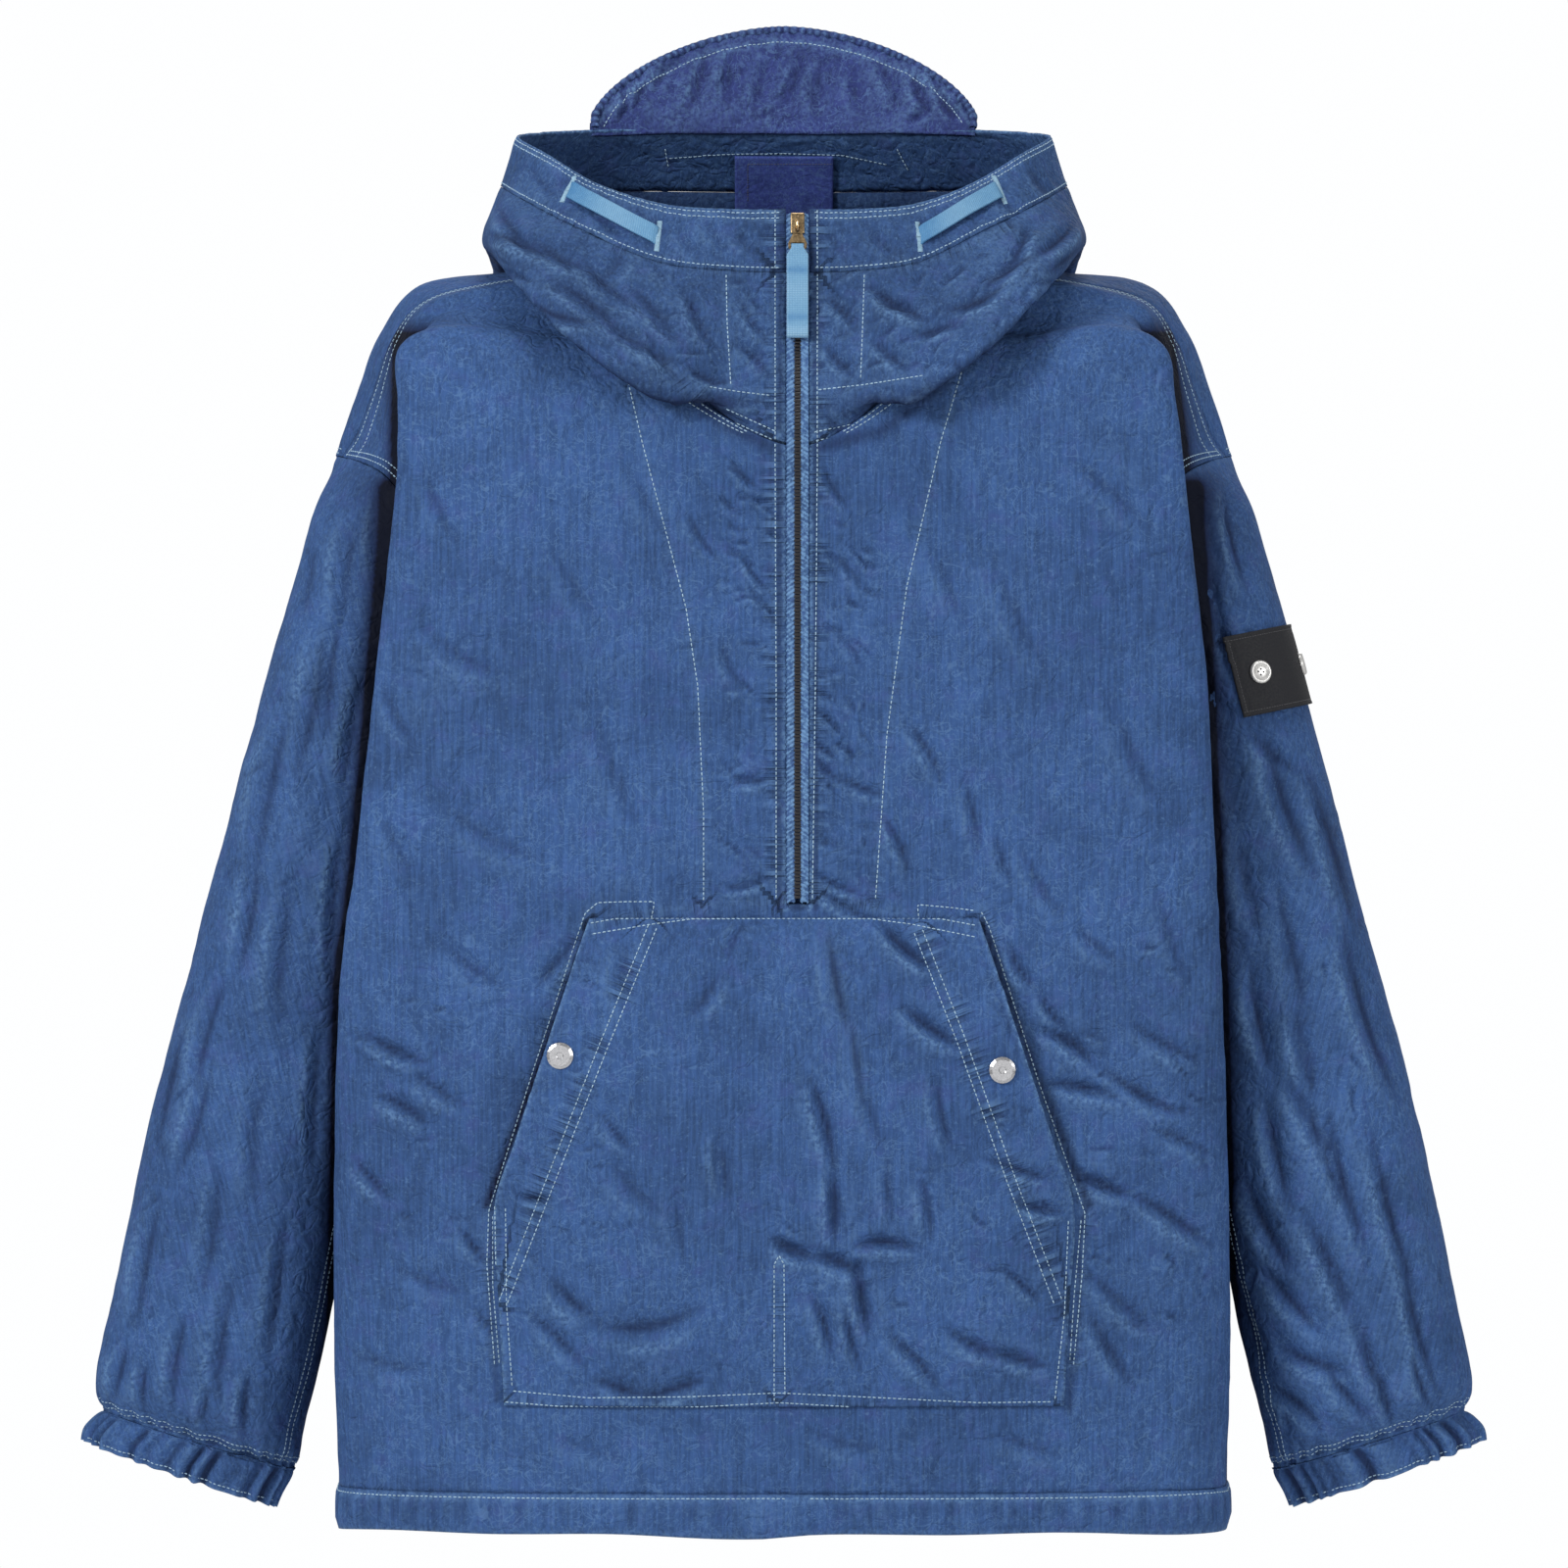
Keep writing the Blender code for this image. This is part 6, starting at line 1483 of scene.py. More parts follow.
def pocket(look):
    """Pouch pocket with its slanted hand openings."""
    points, normals, lift, s = pocket_grid(136, 154)
    height, rub, hollow = surface_relief(points, normals, POCKET_FOLDS, POCKET_LINES)
    height = np.maximum(height, -(lift + 0.0001)) * (0.3 + 0.7 * smooth(lift, 0.0002, 0.0020))
    rub = np.maximum(rub, 0.7 * np.exp(-((1.0 - np.abs(s)) / 0.012) ** 2))
    return sheet_grid("pocket_cloth", "kangaroo_pocket", points, (68, 77, FORWARD), look,
                      (height, rub, hollow), seams=seam_values(points, normals, POCKET_SEAMS))


# ---------------------------------------------------------------- trim
def strip_piece(name, node, points, out, look, slot, thickness, height, **marks):
    """A flat strip from a grid, moved out by a height, with its marks as attributes."""
    normals, turned = facing(points, False, out)
    shape = points.shape[:2]
    item = put_mesh(name, points + normals * height[..., None], grid_faces(*shape, False, turned), look,
                    nodes=(node,))
    set_values(item, shape, **marks)
    return wall(item, thickness)


def keeper_points(side, u, v):
    """Surface of a webbing keeper: u along it, v across it in metres."""
    rows = []
    for k in u:
        at, middle = (low + (high - low) * k for low, high in (LOOP_AT, LOOP_DROP))
        down = unit(hood_place(side, at, middle + 0.05) - hood_place(side, at, middle - 0.05))
        rows.append(hood_place(side, at, middle + 0.02) + v[:, None] * down)
    return np.stack(rows, 1)


def keepers(look):
    """Flat webbing keepers on the opening band, their ends tucked into bar-tacked slits."""
    u = np.linspace(0.0, 1.0, 61)
    v = LOOP_WIDTH * np.linspace(-0.5, 0.5, 15)
    lift = LAP_GAP + 0.0012 + 0.0018 * np.sin(math.pi * u) + 0.00012 * np.sin(2 * math.pi * 30 * u)
    lift = lift - 0.0016 * bell(u, 0.03) - 0.0016 * np.exp(-((1 - u) / 0.03) ** 2)
    for side, word in SIDES:
        # Each keeper is paler about its middle, where it stands up most, as painted highlight, and darker
        # towards one end as painted shade.
        item = strip_piece("keeper_" + word, "loop_" + word, keeper_points(side, u, v),
                           (7, 30, (0.0, -1.0, 0.4)), look, "webbing", 0.0012, lift,
                           run=u * 0.052, near=v[:, None],
                           rub=0.35 * bell(u, 0.22, 0.42),
                           hollow=0.10 + 0.55 * smooth(u if side < 0 else 1 - u, 0.45, 1.0))


def pull_tab(look):
    """Webbing folded round the puller's lower bar and stitched to itself."""
    down, out = np.array([0.0, -0.33872, -0.94089]), np.array([0.0, -0.94089, 0.33872])
    bar = np.array([ZIP_X, -0.083668, -0.0090]) + out * 0.0043 + down * (0.0012 + 0.01445)
    turn = np.linspace(-0.5 * math.pi, 0.5 * math.pi, 17)
    low, front = 0.0515, 0.00125
    fall = np.linspace(0.0030, low, 70)
    face = front + 0.00025 * np.sin(fall * 260.0) * np.exp(-(low - fall) / 0.02)
    top = [(-0.0024 * math.cos(a), 0.0024 * math.sin(a)) for a in turn]
    end = [(low + front * math.cos(a), -front * math.sin(a)) for a in turn[1:-1]]
    ring = np.array(top + list(zip(fall, face)) + end + list(zip(fall[::-1], -face[::-1])))
    half = 0.0032 + 0.0028 * smooth(ring[:, 0], 0.0004, 0.0042)
    across = np.linspace(-1.0, 1.0, 15)
    x = across[:, None] * half[None, :]
    edge = 1.0 - 0.10 * np.abs(across[:, None]) ** 6
    points = bar + ring[None, :, :1] * down + ring[None, :, 1:] * out * edge[..., None]
    points[..., 0] += x
    item = put_mesh("pull_tab_webbing", points, grid_faces(15, len(ring), True, True), look,
                    body="pull", nodes=("zip_pull_tab",))
    place = ring[:, 0]
    # Darker in two bands across the tab; paler about its middle, at its lower end and at its edges.
    deep = 0.85 * bell(place, 0.0026, 0.0135) + 0.80 * bell(place, 0.0024, 0.0420)
    pale = 0.25 + 0.30 * bell(place, 0.006, 0.026) + 0.5 * smooth(place, 0.0455, 0.050)
    set_values(item, x.shape, run=run_along(ring), near=x, hollow=deep,
               rub=np.clip(pale + 0.5 * smooth(np.abs(across), 0.86, 0.98)[:, None], 0, 1))
    wall(item, 0.0009)


def neck_label(look):
    """Plain cloth patch on the inside of the hood, at the centre back."""
    down = np.linspace(0.50, 1.70, 31)
    columns = []
    for x in np.linspace(-0.029, 0.029, 41):
        line = hood_points(1.0 if x >= 0 else -1.0, [1.0 - abs(x) * 1.55], down)[:, 0]
        line[:, 0] = x
        columns.append(line)
    points = np.stack(columns, 1)
    out = (15, 20, FORWARD)
    points = points + facing(points, False, out)[0] * (CLOTH + 0.0024)
    item = strip_piece("neck_patch", "neck_label", points, out, look, "inner_cloth", 0.0008,
                       0.4 * crinkle(points, 12))


BUTTON_RADIUS = 0.0066
# From the middle: share of the radius, height
BUTTON_PROFILE = [
    (0.02, 0.0010), (0.12, 0.0010), (0.52, 0.0010), (0.62, 0.0013), (0.74, 0.0019), (0.84, 0.0021),
    (0.93, 0.0018), (0.99, 0.0011), (1.0, 0.0006), (0.98, 0.0003),
]


def four_hole_button(name, centre, normal, node, metal, dark):
    """Sew-on button with a rim and four holes."""
    z = Vector(normal)
    x = z.orthogonal().normalized()
    y = z.cross(x)
    angle = np.linspace(0, 2 * math.pi, 40, endpoint=False)
    spokes = BUTTON_RADIUS * (np.outer(np.cos(angle), x) + np.outer(np.sin(angle), y))
    points = np.stack([spokes * out + np.array(z) * up + np.array(centre) for out, up in BUTTON_PROFILE])
    put_mesh(name, points, capped(points), metal, nodes=(node,))
    turned = np.arange(5)
    top = np.stack([turned + 12, turned + 13, 22 - turned, 23 - turned], -1)
    faces = np.concatenate([grid_faces(2, 12, True), top, top[:, ::-1] - 12])
    # The holes are small dark discs standing just out of the top: painted shade in place of open holes.
    for k in range(4):
        turn = math.pi * (k + 0.5) / 2
        spot = Vector(centre) + (x * math.cos(turn) + y * math.sin(turn)) * BUTTON_RADIUS * 0.24 + z * 0.00085
        ring = tube_points([spot, spot + z * 0.00032], BUTTON_RADIUS * 0.085, 12)
        put_mesh("%s_hole_%d" % (name, k), ring, faces, dark)


# ---------------------------------------------------------------- badge
BADGE_LENGTH, BADGE_HEIGHT = 0.078, 0.0475
BADGE_CELLS = 60, 36
BADGE_PLACE = (0.2530, -0.2620)
BADGE_SLOPE, BADGE_LEAN = 0.20, 0.25
BADGE_LIFT = LAP_GAP + 0.0008


def badge_base(columns, levels):
    """Points of the right sleeve's cloth under the badge, each row from the badge's front end."""
    turns = np.arange(0.36, -0.24, -0.0025)
    surface = sleeve_points(1.0, np.linspace(1.0, 5.0, 240), turns)[::-1]
    above = surface[..., 2] - BADGE_SLOPE * (surface[..., 0] - BADGE_PLACE[0])
    reach = np.linspace(0.0, BADGE_LENGTH, columns + 1)
    rows = []
    for k in range(levels + 1):
        level = BADGE_PLACE[1] + BADGE_HEIGHT * (k / levels - 0.5)
        path = np.array([at_places(level, above[:, c], surface[:, c]) for c in range(len(turns))])
        start = int(np.argmax(path[:, 0] >= BADGE_PLACE[0] + BADGE_LEAN * (BADGE_PLACE[1] - level)))
        rows.append(at_places(reach, run_along(path[start:]), path[start:]))
    return np.array(rows)


def badge(patch, metal, dark):
    """Bare cloth patch buttoned round the outside of the right sleeve."""
    points = badge_base(*BADGE_CELLS)
    out = (18, 30, (1.0, -0.3, 0.0))
    normals, _ = facing(points, False, out)
    height = BADGE_LIFT + 0.5 * crinkle(points, CRINKLE_SEED) + 0.0006
    rows, columns = height.shape
    r, c = np.mgrid[0:rows, 0:columns]
    edge = np.minimum(np.minimum(r, rows - 1 - r) * BADGE_HEIGHT / rows,
                      np.minimum(c, columns - 1 - c) * BADGE_LENGTH / columns)
    height = height - 0.0005 * bell(edge, 0.0010, 0.0030) + 0.0003 * bell(edge, 0.002)
    item = strip_piece("sleeve_patch", "sleeve_badge", points, out, patch, "patch", 0.0012, height)
    for word, column in (("front", 12), ("back", 48)):
        node = "badge_button_" + word
        centre = 0.5 * np.sum(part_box(node), axis=0) - normals[18, column] * 0.0009
        four_hole_button("patch_button_" + word, centre, normals[18, column], node, metal, dark)


# ---------------------------------------------------------------- zip
def zip_depth(z):
    """Depth of the centre-front line at heights, over the hood and the body alike."""
    down = np.linspace(0.0, 5.0, 400)
    hood_line = hood_points(-1.0, [0.0], down)[:, 0]
    rows = np.linspace(0.0, NECK_ROW, 300)
    table = spline(FRONT, rows)
    return np.where(z > -0.124, np.interp(-z, -hood_line[:, 2], hood_line[:, 1]),
                    np.interp(z, table[:, 1], table[:, 0]))


def zip_frame(z):
    """Points of the centre-front line at heights, and its directions away from the cloth."""
    slope = (zip_depth(z + 0.003) - zip_depth(z - 0.003)) / 0.006
    out = unit(np.stack([np.zeros_like(z), -np.ones_like(z), slope], -1))
    return np.stack([np.full_like(z, ZIP_X), zip_depth(z), z], -1), out


def zip_tapes(look):
    """Diagonally ribbed tapes on both sides of the teeth."""
    z = np.linspace(ZIP_BOTTOM_Z + 0.0012, ZIP_TOP_Z, 520)
    place, out = zip_frame(z)
    for side, word in SIDES:
        x = side * np.linspace(SLIT - SEAM_GAP, 0.0014, 11)
        away = np.abs(x)
        lift = 0.0004 + 0.0004 * np.sin(2 * math.pi * (z[:, None] / 0.0026 + away / 0.0040))
        lift = lift * smooth(away, 0.0014, 0.0024)
        points = place[:, None] + np.stack([x, 0 * x, 0 * x], -1) + out[:, None] * 0.0004
        # Pale tape with painted highlight on its raised ribs, less pale near its outer edge as painted shade
        # under the slit's edge.
        rub = 0.55 + 0.9 * smooth(lift, 0.0003, 0.0008) - 0.5 * smooth(away, 0.0052, 0.0064)
        strip_piece("tape_" + word, "zip_tape_" + word, points, (200, 5, FORWARD), look, "tape", 0.0024, lift,
                    rub=rub)


TOOTH = np.array([(-1, -0.42), (1, -0.30), (1.25, 0.0), (1, 0.30), (-1, 0.42)]) * (0.0021, 0.0023)
TOOTH_PITCH = 0.00195


def zip_teeth(look):
    """Moulded teeth that stand by turns on both sides of the zip's middle."""
    z = np.arange(ZIP_BOTTOM_Z + 0.004, ZIP_TOP_Z - 0.012, TOOTH_PITCH)
    points, faces = [], []
    for k, (place, out) in enumerate(zip(*zip_frame(z))):
        side = 1.0 if k % 2 else -1.0
        along = np.array([0.0, out[2], -out[1]])
        for level, size in ((-0.0012, 1.0), (0.00045, 1.0), (0.0007, 0.8)):
            points += [place + np.array([-side * a * size, 0, 0]) + along * b * size + out * level
                       for a, b in TOOTH]
        base = 15 * k
        for ring in (base, base + 5):
            faces += [(ring + j, ring + (j + 1) % 5, ring + 5 + (j + 1) % 5, ring + 5 + j) for j in range(5)]
        faces.append((base + 10, base + 11, base + 13, base + 14))
    put_mesh("zip_teeth", np.array(points), np.array(faces), look, nodes=("zip_chain",),
             smooth_faces=False)


# ---------------------------------------------------------------- stitches
NEAR_REACH = 0.02
BACK_PITCH = 0.0032         # longer stitches at the back's shoulders
FINE_STITCH = 0.00022, 0.0017, 0.8      # radius, pitch and share of the pitch that is thread
BAR_RADIUS, BAR_REACH = 0.00034, 0.0016


def outer_surface(name):
    """Search tree over the outer face of a piece."""
    item = bpy.data.objects[name]
    points = np.zeros(len(item.data.vertices) * 3)
    item.data.vertices.foreach_get("co", points)
    corners = np.zeros(len(item.data.loops), dtype=np.int32)
    item.data.loops.foreach_get("vertex_index", corners)
    faces = corners[:4 * item["outer_faces"]].reshape(-1, 4)
    return BVHTree.FromPolygons(points.reshape(-1, 3).tolist(), faces.tolist())


def seen_line(tree, line):
    """Points and normals of a surface behind a line drawn in the picture."""
    found = []
    for (u0, v0), (u1, v1) in zip(line, line[1:]):
        steps = max(2, int(math.hypot(u1 - u0, v1 - v0) / 2.0))
        for t in np.arange(steps) / steps:
            hit, normal, _, _ = tree.ray_cast(Vector(EYE), sight(u0 + (u1 - u0) * t, v0 + (v1 - v0) * t))
            if hit is not None:
                found.append((hit, normal if normal.y < 0 else -normal))
    return found


def near_line(tree, points):
    """Points and normals of a surface beside a line in space."""
    found = [tree.find_nearest(Vector(p), NEAR_REACH)[:2] for p in points]
    return [(hit, normal) for hit, normal in found if hit is not None]


class Sewing:
    """Collects stitches and builds them as one mesh of small tapered prisms."""

    # Along a stitch: how far, how wide and how high
    shape = ((0.0, 0.35, -0.6), (0.18, 0.9, 0.55), (0.5, 1.0, 1.0), (0.82, 0.9, 0.55), (1.0, 0.35, -0.6))
    section = ((1, 0), (0.3, 1), (-0.6, 0.8), (-1, 0))

    def __init__(self, radius=None, pitch=None, share=0.74):
        settings = bpy.context.scene.parka
        self.radius, self.pitch, self.share = radius or settings.thread, pitch or settings.pitch, share
        self.points, self.faces = [], []
        self.random = np.random.default_rng(11)

    def run(self, found, pitch=None, lift=0.0):
        """Stitches along points and normals."""
        pitch = pitch or self.pitch
        if len(found) < 3:
            return
        spots, outs = (np.array([f[k] for f in found]) for k in (0, 1))
        run = run_along(spots)
        for k in range(int(run[-1] / pitch)):
            start = (k + 0.13) * pitch
            reach = self.share * pitch * self.random.uniform(0.93, 1.06)
            a, b = at_places(np.array([start, start + reach]), run, spots)
            if np.linalg.norm(b - a) <= 1.6 * pitch:
                self.stitch(a, b, outs[min(np.searchsorted(run, start), len(outs) - 1)], lift)

    def stitch(self, a, b, out, lift=0.0):
        """One stitch between two points of the cloth."""
        if np.linalg.norm(b - a) < 1e-6:
            return
        along = unit(b - a)
        out = unit(out - along * (out @ along))
        cross = np.cross(along, out)
        first = len(self.points)
        for t, wide, rise in self.shape:
            centre = a + (b - a) * t + out * (self.radius * (0.55 * rise) + lift)
            self.points += [centre + cross * (c * self.radius * wide) + out * (s * self.radius * wide * 0.9)
                            for c, s in self.section]
        for base in range(first, first + 16, 4):
            self.faces += [(base + j, base + j + 1, base + 5 + j, base + 4 + j) for j in range(3)]

    def build(self, name, look, slot):
        """Makes one piece of all the stitches."""
        if not self.faces:
            raise RuntimeError("no stitches for " + name)
        put_mesh(name, np.array(self.points), np.array(self.faces), look)


def shifted(line, distance):
    """A drawn line moved sideways by a number of picture points, to its right as it runs."""
    along = unit(np.gradient(np.array(line, float), axis=0))
    return (line + distance * np.stack([-along[:, 1], along[:, 0]], -1)).tolist()


def body_stitches(look):
    """Topstitching of the body's front and back."""
    sew = Sewing()
    front, back = outer_surface("front_cloth"), outer_surface("back_cloth")
    for line in [ZIP_LEFT, ZIP_RIGHT, FACING_LEFT, FACING_RIGHT] + BODY_SIDE + POCKET_CORNERS:
        sew.run(seen_line(front, line))
    shoulder = np.linspace(1.6, 2.95, 50)
    for side, _ in SIDES:
        for at in (12.85, 12.62):
            sew.run(near_line(front, panel_point(FRONT, side, at, np.linspace(0.10, 1.05, 60))))
        for at in (7.22, 7.45):
            sew.run(near_line(front, panel_point(FRONT, side, at, shoulder)))
        for across in (2.93, 2.80):
            sew.run(near_line(front, panel_point(FRONT, side, np.linspace(7.1, 13.0, 90), across)))
    for side, _ in SIDES:
        for at in (7.22, 7.45):
            sew.run(near_line(back, panel_point(BACK, side, at, shoulder)), BACK_PITCH)
    sew.build("body_stitches", look, "body_cloth")


def sleeve_stitches(look):
    """Double rows above the cuffs and down the sleeves, and one round each cuff."""
    turn = np.linspace(0.0, 1.0, 200)
    for side, word in SIDES:
        sew = Sewing()
        tree = outer_surface("sleeve_cloth_" + word)
        for at in (9.35, 9.75):
            sew.run(near_line(tree, sleeve_points(side, [at], turn)[0]))
        for offset in (0.415, 0.432):
            sew.run(near_line(tree, sleeve_points(side, np.linspace(1.2, 9.8, 220), [offset])[:, 0]))
        rings = spline(ring_points(CUFF, side, turn), np.array([2.55]))[0]
        sew.run(near_line(outer_surface("cuff_cloth_" + word), rings))
        sew.build("sleeve_stitches_" + word, look, "body_cloth")


def hem_stitches(look):
    """Row round the hem."""
    sew = Sewing()
    tree = outer_surface("hem_cloth")
    for rows in (FRONT, BACK):
        for side, _ in SIDES:
            line = main_point(rows, side, 0.0, np.linspace(0.0, 2.0, 140))
            line[:, 2] = HEM_SEAM_Z - 0.0030
            sew.run(near_line(tree, line))
    sew.build("hem_stitches", look, "body_cloth")


def hood_stitches(look):
    """Rows round the opening, under the band, at the neck seam, on the chin and inside."""
    sew = Sewing()
    band, tree = outer_surface("hood_band_cloth"), outer_surface("hood_cloth")
    rows = [(band, np.linspace(0.02, 1.0, 420), down) for down in (0.10, 0.21, 0.93)]
    rows += [(tree, np.linspace(0.66, 1.0, 160), down) for down in (5.62, 5.78)]
    for side, _ in SIDES:
        for surface, stations, down in rows:
            sew.run(near_line(surface, hood_points(side, stations, np.array([down]))[0]))
    for line in (ZIP_LEFT[:3], ZIP_RIGHT[:3]):
        sew.run(seen_line(tree, line))
        sew.run(seen_line(band, line[:2]))
    for line in CHIN_LINES:
        sew.run(seen_line(tree, line))
    for line in (NECK_LEFT[2:], NECK_RIGHT[:2]):
        for offset in (-14, -5):
            sew.run(seen_line(tree, shifted(line, offset)))
    for line in INSIDE_ROWS:
        sew.run(seen_line(band, line), lift=CLOTH + 0.0003)
    sew.build("hood_stitches", look, "body_cloth")


def pocket_stitches(look):
    """Rows round the pocket, its facings and its middle."""
    sew = Sewing()
    tree = outer_surface("pocket_cloth")
    rows = [POCKET_TOP, POCKET_TOP_INNER] + POCKET_SIDES + POCKET_BOTTOM + POCKET_FACING + POCKET_MIDDLE
    for line in rows + [shifted(line, -9 if line[0][0] < 800 else 9) for line in POCKET_FACING]:
        sew.run(seen_line(tree, line))
    sew.build("pocket_stitches", look, "body_cloth")


def fine_stitches(look, pale, dark):
    """Edge rows of the visor, the neck patch, the sleeve patch and the keepers' slits."""
    sew = Sewing()
    x, top = visor_outline(np.linspace(0.05, 0.95, 300))
    line = visor_points(x * 0.955, np.maximum(top - 0.0062, 0.001))
    sew.run(near_line(outer_surface("visor_cloth"), line))
    sew.build("visor_stitches", look, "inner_cloth")
    edge, label = Sewing(*FINE_STITCH), Sewing(*FINE_STITCH)
    patch = outer_surface("sleeve_patch")
    base = badge_base(*BADGE_CELLS)
    for line in (base[2], base[34], base[2:35, 2], base[2:35, 58]):
        edge.run(near_line(patch, line))
    edge.build("patch_stitches", dark, "patch")
    label.run(seen_line(outer_surface("neck_patch"), NECK_PATCH_EDGE))
    label.build("neck_patch_stitches", dark, "inner_cloth")
    slits = Sewing(BAR_RADIUS)
    band = outer_surface("hood_band_cloth")
    for side, _ in SIDES:
        for end in (0.0, 1.0):
            line = keeper_points(side, np.array([end]), LOOP_WIDTH * np.linspace(-0.85, 0.85, 33))[:, 0]
            across = unit(line[-1] - line[0])
            for hit, normal in near_line(band, line):
                lay = BAR_REACH * np.cross(across, np.array(normal))
                slits.stitch(np.array(hit) - lay, np.array(hit) + lay, np.array(normal))
    slits.build("slit_stitches", pale, "webbing")


# ---------------------------------------------------------------- settings, operators and panel
def colour_choice(name, description, default):
    """A colour among the settings."""
    return bpy.props.FloatVectorProperty(name=name, description=description, subtype="COLOR", size=3,
                                         min=0.0, max=1.0, default=default)


def share_choice(name, description, highest):
    """A strength among the settings."""
    return bpy.props.FloatProperty(name=name, description=description, subtype="FACTOR", default=1.0,
                                   min=0.0, max=highest)


class ParkaSettings(bpy.types.PropertyGroup):
    """Sizes and colours of the parka's looks."""

    dye: colour_choice("Cloth", "Colour of the dyed cloth", (0.0375, 0.0900, 0.240))
    inner_dye: colour_choice("Inner cloth", "Colour of the visor and the neck patch", (0.028, 0.043, 0.165))
    # Pale colour of worn seams and edges, also used for painted highlight on ridges and puckers.
    rubbed: colour_choice("Wear and highlight colour", "Colour where seams and edges are rubbed pale", (0.150, 0.285, 0.500))
    # Colour of painted shade in folds, gaps, the placket and inner faces.
    hollow: colour_choice("Painted shades", "Colour of the dye in folds", (0.0055, 0.0095, 0.038))
    thread_dye: colour_choice("Stitches", "Colour of the stitches", (0.400, 0.580, 0.740))
    webbing: colour_choice("Webbing", "Colour of the webbing", (0.190, 0.400, 0.590))
    brass: colour_choice("Brass", "Colour of the zip's slider and puller", (0.560, 0.400, 0.220))
    crinkle: share_choice("Crinkle", "Strength of the cloth's small creases", 3.0)
    pitch: bpy.props.FloatProperty(
        name="Stitch length", description="From one stitch to the next", default=0.0028, min=0.001, max=0.01,
        unit="LENGTH", precision=4)
    thread: bpy.props.FloatProperty(
        name="Thread", description="Half the thickness of the thread", default=0.00034, min=0.0001, max=0.001,
        unit="LENGTH", precision=5)
    floor: bpy.props.FloatProperty(
        name="Floor", description="Height of the floor", default=-1.20, max=-0.76, unit="LENGTH")
    lamps: share_choice("Light", "Strength of the studio lamps", 5.0)


def body_cloth():
    """Cloth of the body and its pocket."""
    return cloth_material("body cloth", bpy.context.scene.parka.dye)


def painted_shade_hood_look():
    """Cloth of the hood, darkened as painted shade."""
    return cloth_material("hood cloth", bpy.context.scene.parka.dye, dark=0.80)


def sleeve_cloth(side, word):
    """Cloth of a sleeve, its weave leaning with it."""
    return cloth_material("sleeve cloth " + word, bpy.context.scene.parka.dye, lean=side * -0.235)


def thread_look(name, colour, spots):
    """Thread of one colour."""
    return plain_material(name, colour, 0.7, spots=spots, scale=700.0)


class PARKA_OT_body(bpy.types.Operator):
    """Builds the front and the back"""

    bl_idname = "parka.body"
    bl_label = "Body"

    def execute(self, context):
        front = body_front(body_cloth())
        back = body_back(body_cloth())
        return {"FINISHED"}


class PARKA_OT_sleeves(bpy.types.Operator):
    """Builds both sleeves"""

    bl_idname = "parka.sleeves"
    bl_label = "Sleeves"

    def execute(self, context):
        for side, word in SIDES:
            item = sleeve(side, word, sleeve_cloth(side, word))
        return {"FINISHED"}


class PARKA_OT_cuffs(bpy.types.Operator):
    """Builds both gathered cuffs"""

    bl_idname = "parka.cuffs"
    bl_label = "Cuffs"

    def execute(self, context):
        for side, word in SIDES:
            item = cuff(side, word, sleeve_cloth(side, word))
        return {"FINISHED"}


class PARKA_OT_hem(bpy.types.Operator):
    """Builds the hem band"""

    bl_idname = "parka.hem"
    bl_label = "Hem"

    def execute(self, context):
        item = hem_band(body_cloth())
        return {"FINISHED"}


class PARKA_OT_hood(bpy.types.Operator):
    """Builds the hood and the band round its opening"""

    bl_idname = "parka.hood"
    bl_label = "Hood"

    def execute(self, context):
        item = hood(painted_shade_hood_look())
        item = hood_band(painted_shade_hood_look())
        return {"FINISHED"}


class PARKA_OT_visor(bpy.types.Operator):
    """Builds the visor with its piping"""

    bl_idname = "parka.visor"
    bl_label = "Visor"

    def execute(self, context):
        look = cloth_material("visor cloth", context.scene.parka.inner_dye, crease=1.2)
        item = visor(look)
        visor_piping(look)
        return {"FINISHED"}


class PARKA_OT_trim(bpy.types.Operator):
    """Builds the webbing keepers, the webbing pull tab and the plain neck patch"""

    bl_idname = "parka.trim"
    bl_label = "Keepers and neck patch"

    def execute(self, context):
        webbing = webbing_material("woven webbing", context.scene.parka.webbing)
        keepers(webbing)
        pull_tab(webbing)
        neck_label(cloth_material("neck patch", context.scene.parka.inner_dye, dark=1.75, crease=0.3))
        return {"FINISHED"}


class PARKA_OT_pocket(bpy.types.Operator):
    """Builds the pouch pocket"""

    bl_idname = "parka.pocket"
    bl_label = "Pocket"

    def execute(self, context):
        item = pocket(body_cloth())
        steel = plain_material("snap steel", (0.60, 0.60, 0.62), 0.30, 1.0, spots=0.25)
        for node in ("snap_left", "snap_right"):
            bpy.data.objects[node].material_slots[0].material = steel
        return {"FINISHED"}


class PARKA_OT_badge(bpy.types.Operator):
    """Builds the bare sleeve patch with its buttons"""

    bl_idname = "parka.badge"
    bl_label = "Sleeve patch"

    def execute(self, context):
        patch = plain_material("patch cloth", (0.012, 0.013, 0.018), 0.75, spots=0.3, bump=0.0002)
        metal = plain_material("button metal", (0.80, 0.79, 0.77), 0.30, 0.5, spots=0.12)
        dark = plain_material("button holes", (0.02, 0.02, 0.025), 0.7)
        badge(patch, metal, dark)
        return {"FINISHED"}


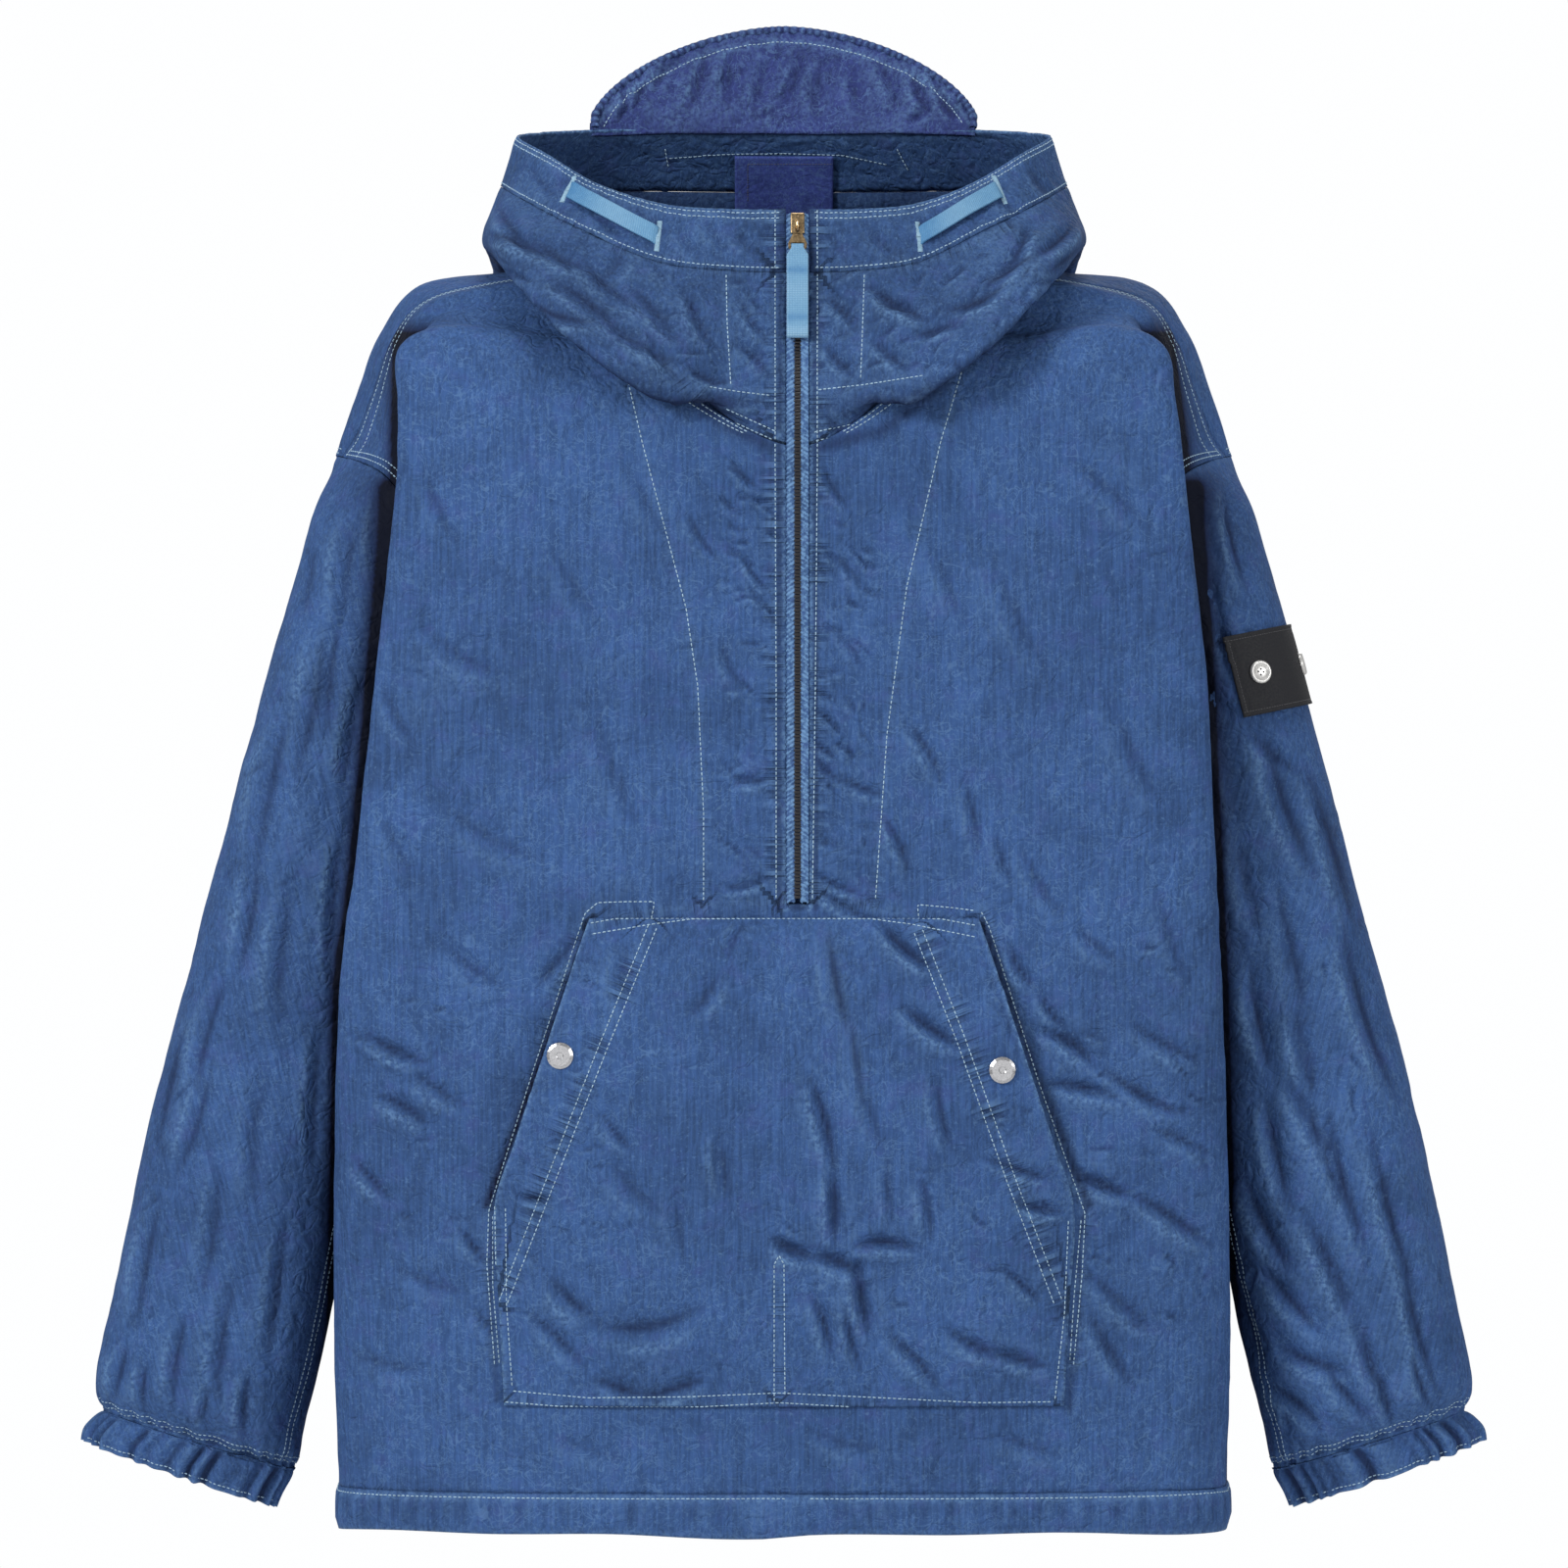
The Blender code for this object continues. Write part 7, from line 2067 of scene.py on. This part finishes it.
class PARKA_OT_zip(bpy.types.Operator):
    """Builds the tapes and teeth of the zip"""

    bl_idname = "parka.zip"
    bl_label = "Zip"

    def execute(self, context):
        settings = context.scene.parka
        zip_tapes(cloth_material("zip tape", settings.dye, dark=0.9, crease=0.2))
        zip_teeth(plain_material("moulded teeth", (0.012, 0.012, 0.016), 0.38))
        brass = plain_material("aged brass", settings.brass, 0.30, 1.0, spots=0.45, scale=600.0, bump=0.0001)
        for node in ("zip_slider", "zip_puller"):
            bpy.data.objects[node].material_slots[0].material = brass
        return {"FINISHED"}


class PARKA_OT_stitches(bpy.types.Operator):
    """Sews all the rows of stitches"""

    bl_idname = "parka.stitches"
    bl_label = "Stitches"

    def execute(self, context):
        look = thread_look("thread", context.scene.parka.thread_dye, 0.35)
        body_stitches(look)
        sleeve_stitches(look)
        hem_stitches(look)
        hood_stitches(look)
        pocket_stitches(look)
        fine_stitches(look, thread_look("pale thread", (0.30, 0.48, 0.62), 0.2),
                      thread_look("patch thread", (0.10, 0.10, 0.11), 0.2))
        return {"FINISHED"}


LENS = 201.0
FLOOR_RINGS = 0.02, 0.6, 1.2, 2.0, 2.3
LIT_PLACE = Vector((0.0, 0.0, -0.35))
# Each lamp: place, size, watts
LAMPS = (
    ("key", (-2.1, -2.2, 1.1), 0.8, 62.0), ("fill", (2.3, -2.2, 0.3), 1.4, 24.0),
    ("top", (0.2, -0.5, 2.6), 1.2, 20.0), ("low", (0.0, -3.0, -0.9), 1.6, 7.0),
    ("back", (0.4, 2.6, 1.2), 2.0, 22.0),
)


class PARKA_OT_stage(bpy.types.Operator):
    """Sets up the floor, the studio lamps and the camera"""

    bl_idname = "parka.stage"
    bl_label = "Stage"

    def execute(self, context):
        scene = context.scene
        settings = scene.parka
        view = bpy.data.cameras.new("camera")
        view.lens = LENS
        view.sensor_width = 36.0
        view.clip_end = 60.0
        camera = bpy.data.objects.new("camera", view)
        camera.location = EYE
        camera.rotation_euler = (math.radians(90), 0.0, 0.0)
        scene.collection.objects.link(camera)
        scene.camera = camera
        turn = np.linspace(0, 2 * math.pi, 96, endpoint=False)
        circle = np.stack([np.cos(turn), np.sin(turn), 0 * turn], -1)
        rings = circle * np.array(FLOOR_RINGS)[:, None, None] + (0.0, 0.0, settings.floor)
        mesh = bpy.data.meshes.new("floor")
        faces = grid_faces(len(FLOOR_RINGS), len(turn), True).tolist()
        mesh.from_pydata(rings.reshape(-1, 3).tolist(), [], faces)
        mesh.materials.append(plain_material("floor", (0.80, 0.80, 0.80), 0.8))
        floor = bpy.data.objects.new("floor", mesh)
        scene.collection.objects.link(floor)
        for name, place, size, power in LAMPS:
            lamp = bpy.data.lights.new(name, "AREA")
            lamp.shape = "DISK"
            lamp.size = size
            lamp.energy = power * settings.lamps
            item = bpy.data.objects.new(name, lamp)
            item.location = place
            item.rotation_euler = (LIT_PLACE - Vector(place)).to_track_quat("-Z", "Y").to_euler()
            scene.collection.objects.link(item)
        world = bpy.data.worlds.new("studio")
        world.use_nodes = True
        w = Wiring(world.node_tree)
        sky = world.node_tree.nodes["Background"]
        seen = w.add("LightPath").outputs["Is Camera Ray"]
        w.feed(sky, "Color", (0.99, 0.995, 1.0, 1.0))
        w.feed(sky, "Strength", w.ramp(seen, 0.0, 1.0, 0.38, 1.0))
        scene.world = world
        scene.view_settings.view_transform = "Standard"
        return {"FINISHED"}


OPERATORS = (
    PARKA_OT_stage, PARKA_OT_body, PARKA_OT_sleeves, PARKA_OT_cuffs, PARKA_OT_hem, PARKA_OT_hood,
    PARKA_OT_visor, PARKA_OT_trim, PARKA_OT_pocket, PARKA_OT_badge, PARKA_OT_zip, PARKA_OT_stitches,
)


class PARKA_PT_panel(bpy.types.Panel):
    """Lists the pieces of the parka"""

    bl_idname = "PARKA_PT_panel"
    bl_label = "Half-zip parka"
    bl_space_type = "VIEW_3D"
    bl_region_type = "UI"
    bl_category = "Parka"

    def draw(self, context):
        column = self.layout.column()
        for name in ParkaSettings.__annotations__:
            column.prop(context.scene.parka, name)
        for operator in OPERATORS:
            column.operator(operator.bl_idname)


CLASSES = (ParkaSettings, *OPERATORS, PARKA_PT_panel)


def register():
    for item in CLASSES:
        bpy.utils.register_class(item)
    bpy.types.Scene.parka = bpy.props.PointerProperty(type=ParkaSettings)


def unregister():
    del bpy.types.Scene.parka
    for item in reversed(CLASSES):
        bpy.utils.unregister_class(item)


def main():
    """Builds every piece."""
    register()
    for operator in OPERATORS:
        group, name = operator.bl_idname.split(".")
        getattr(getattr(bpy.ops, group), name)()
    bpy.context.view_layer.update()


if __name__ == "__main__":
    main()
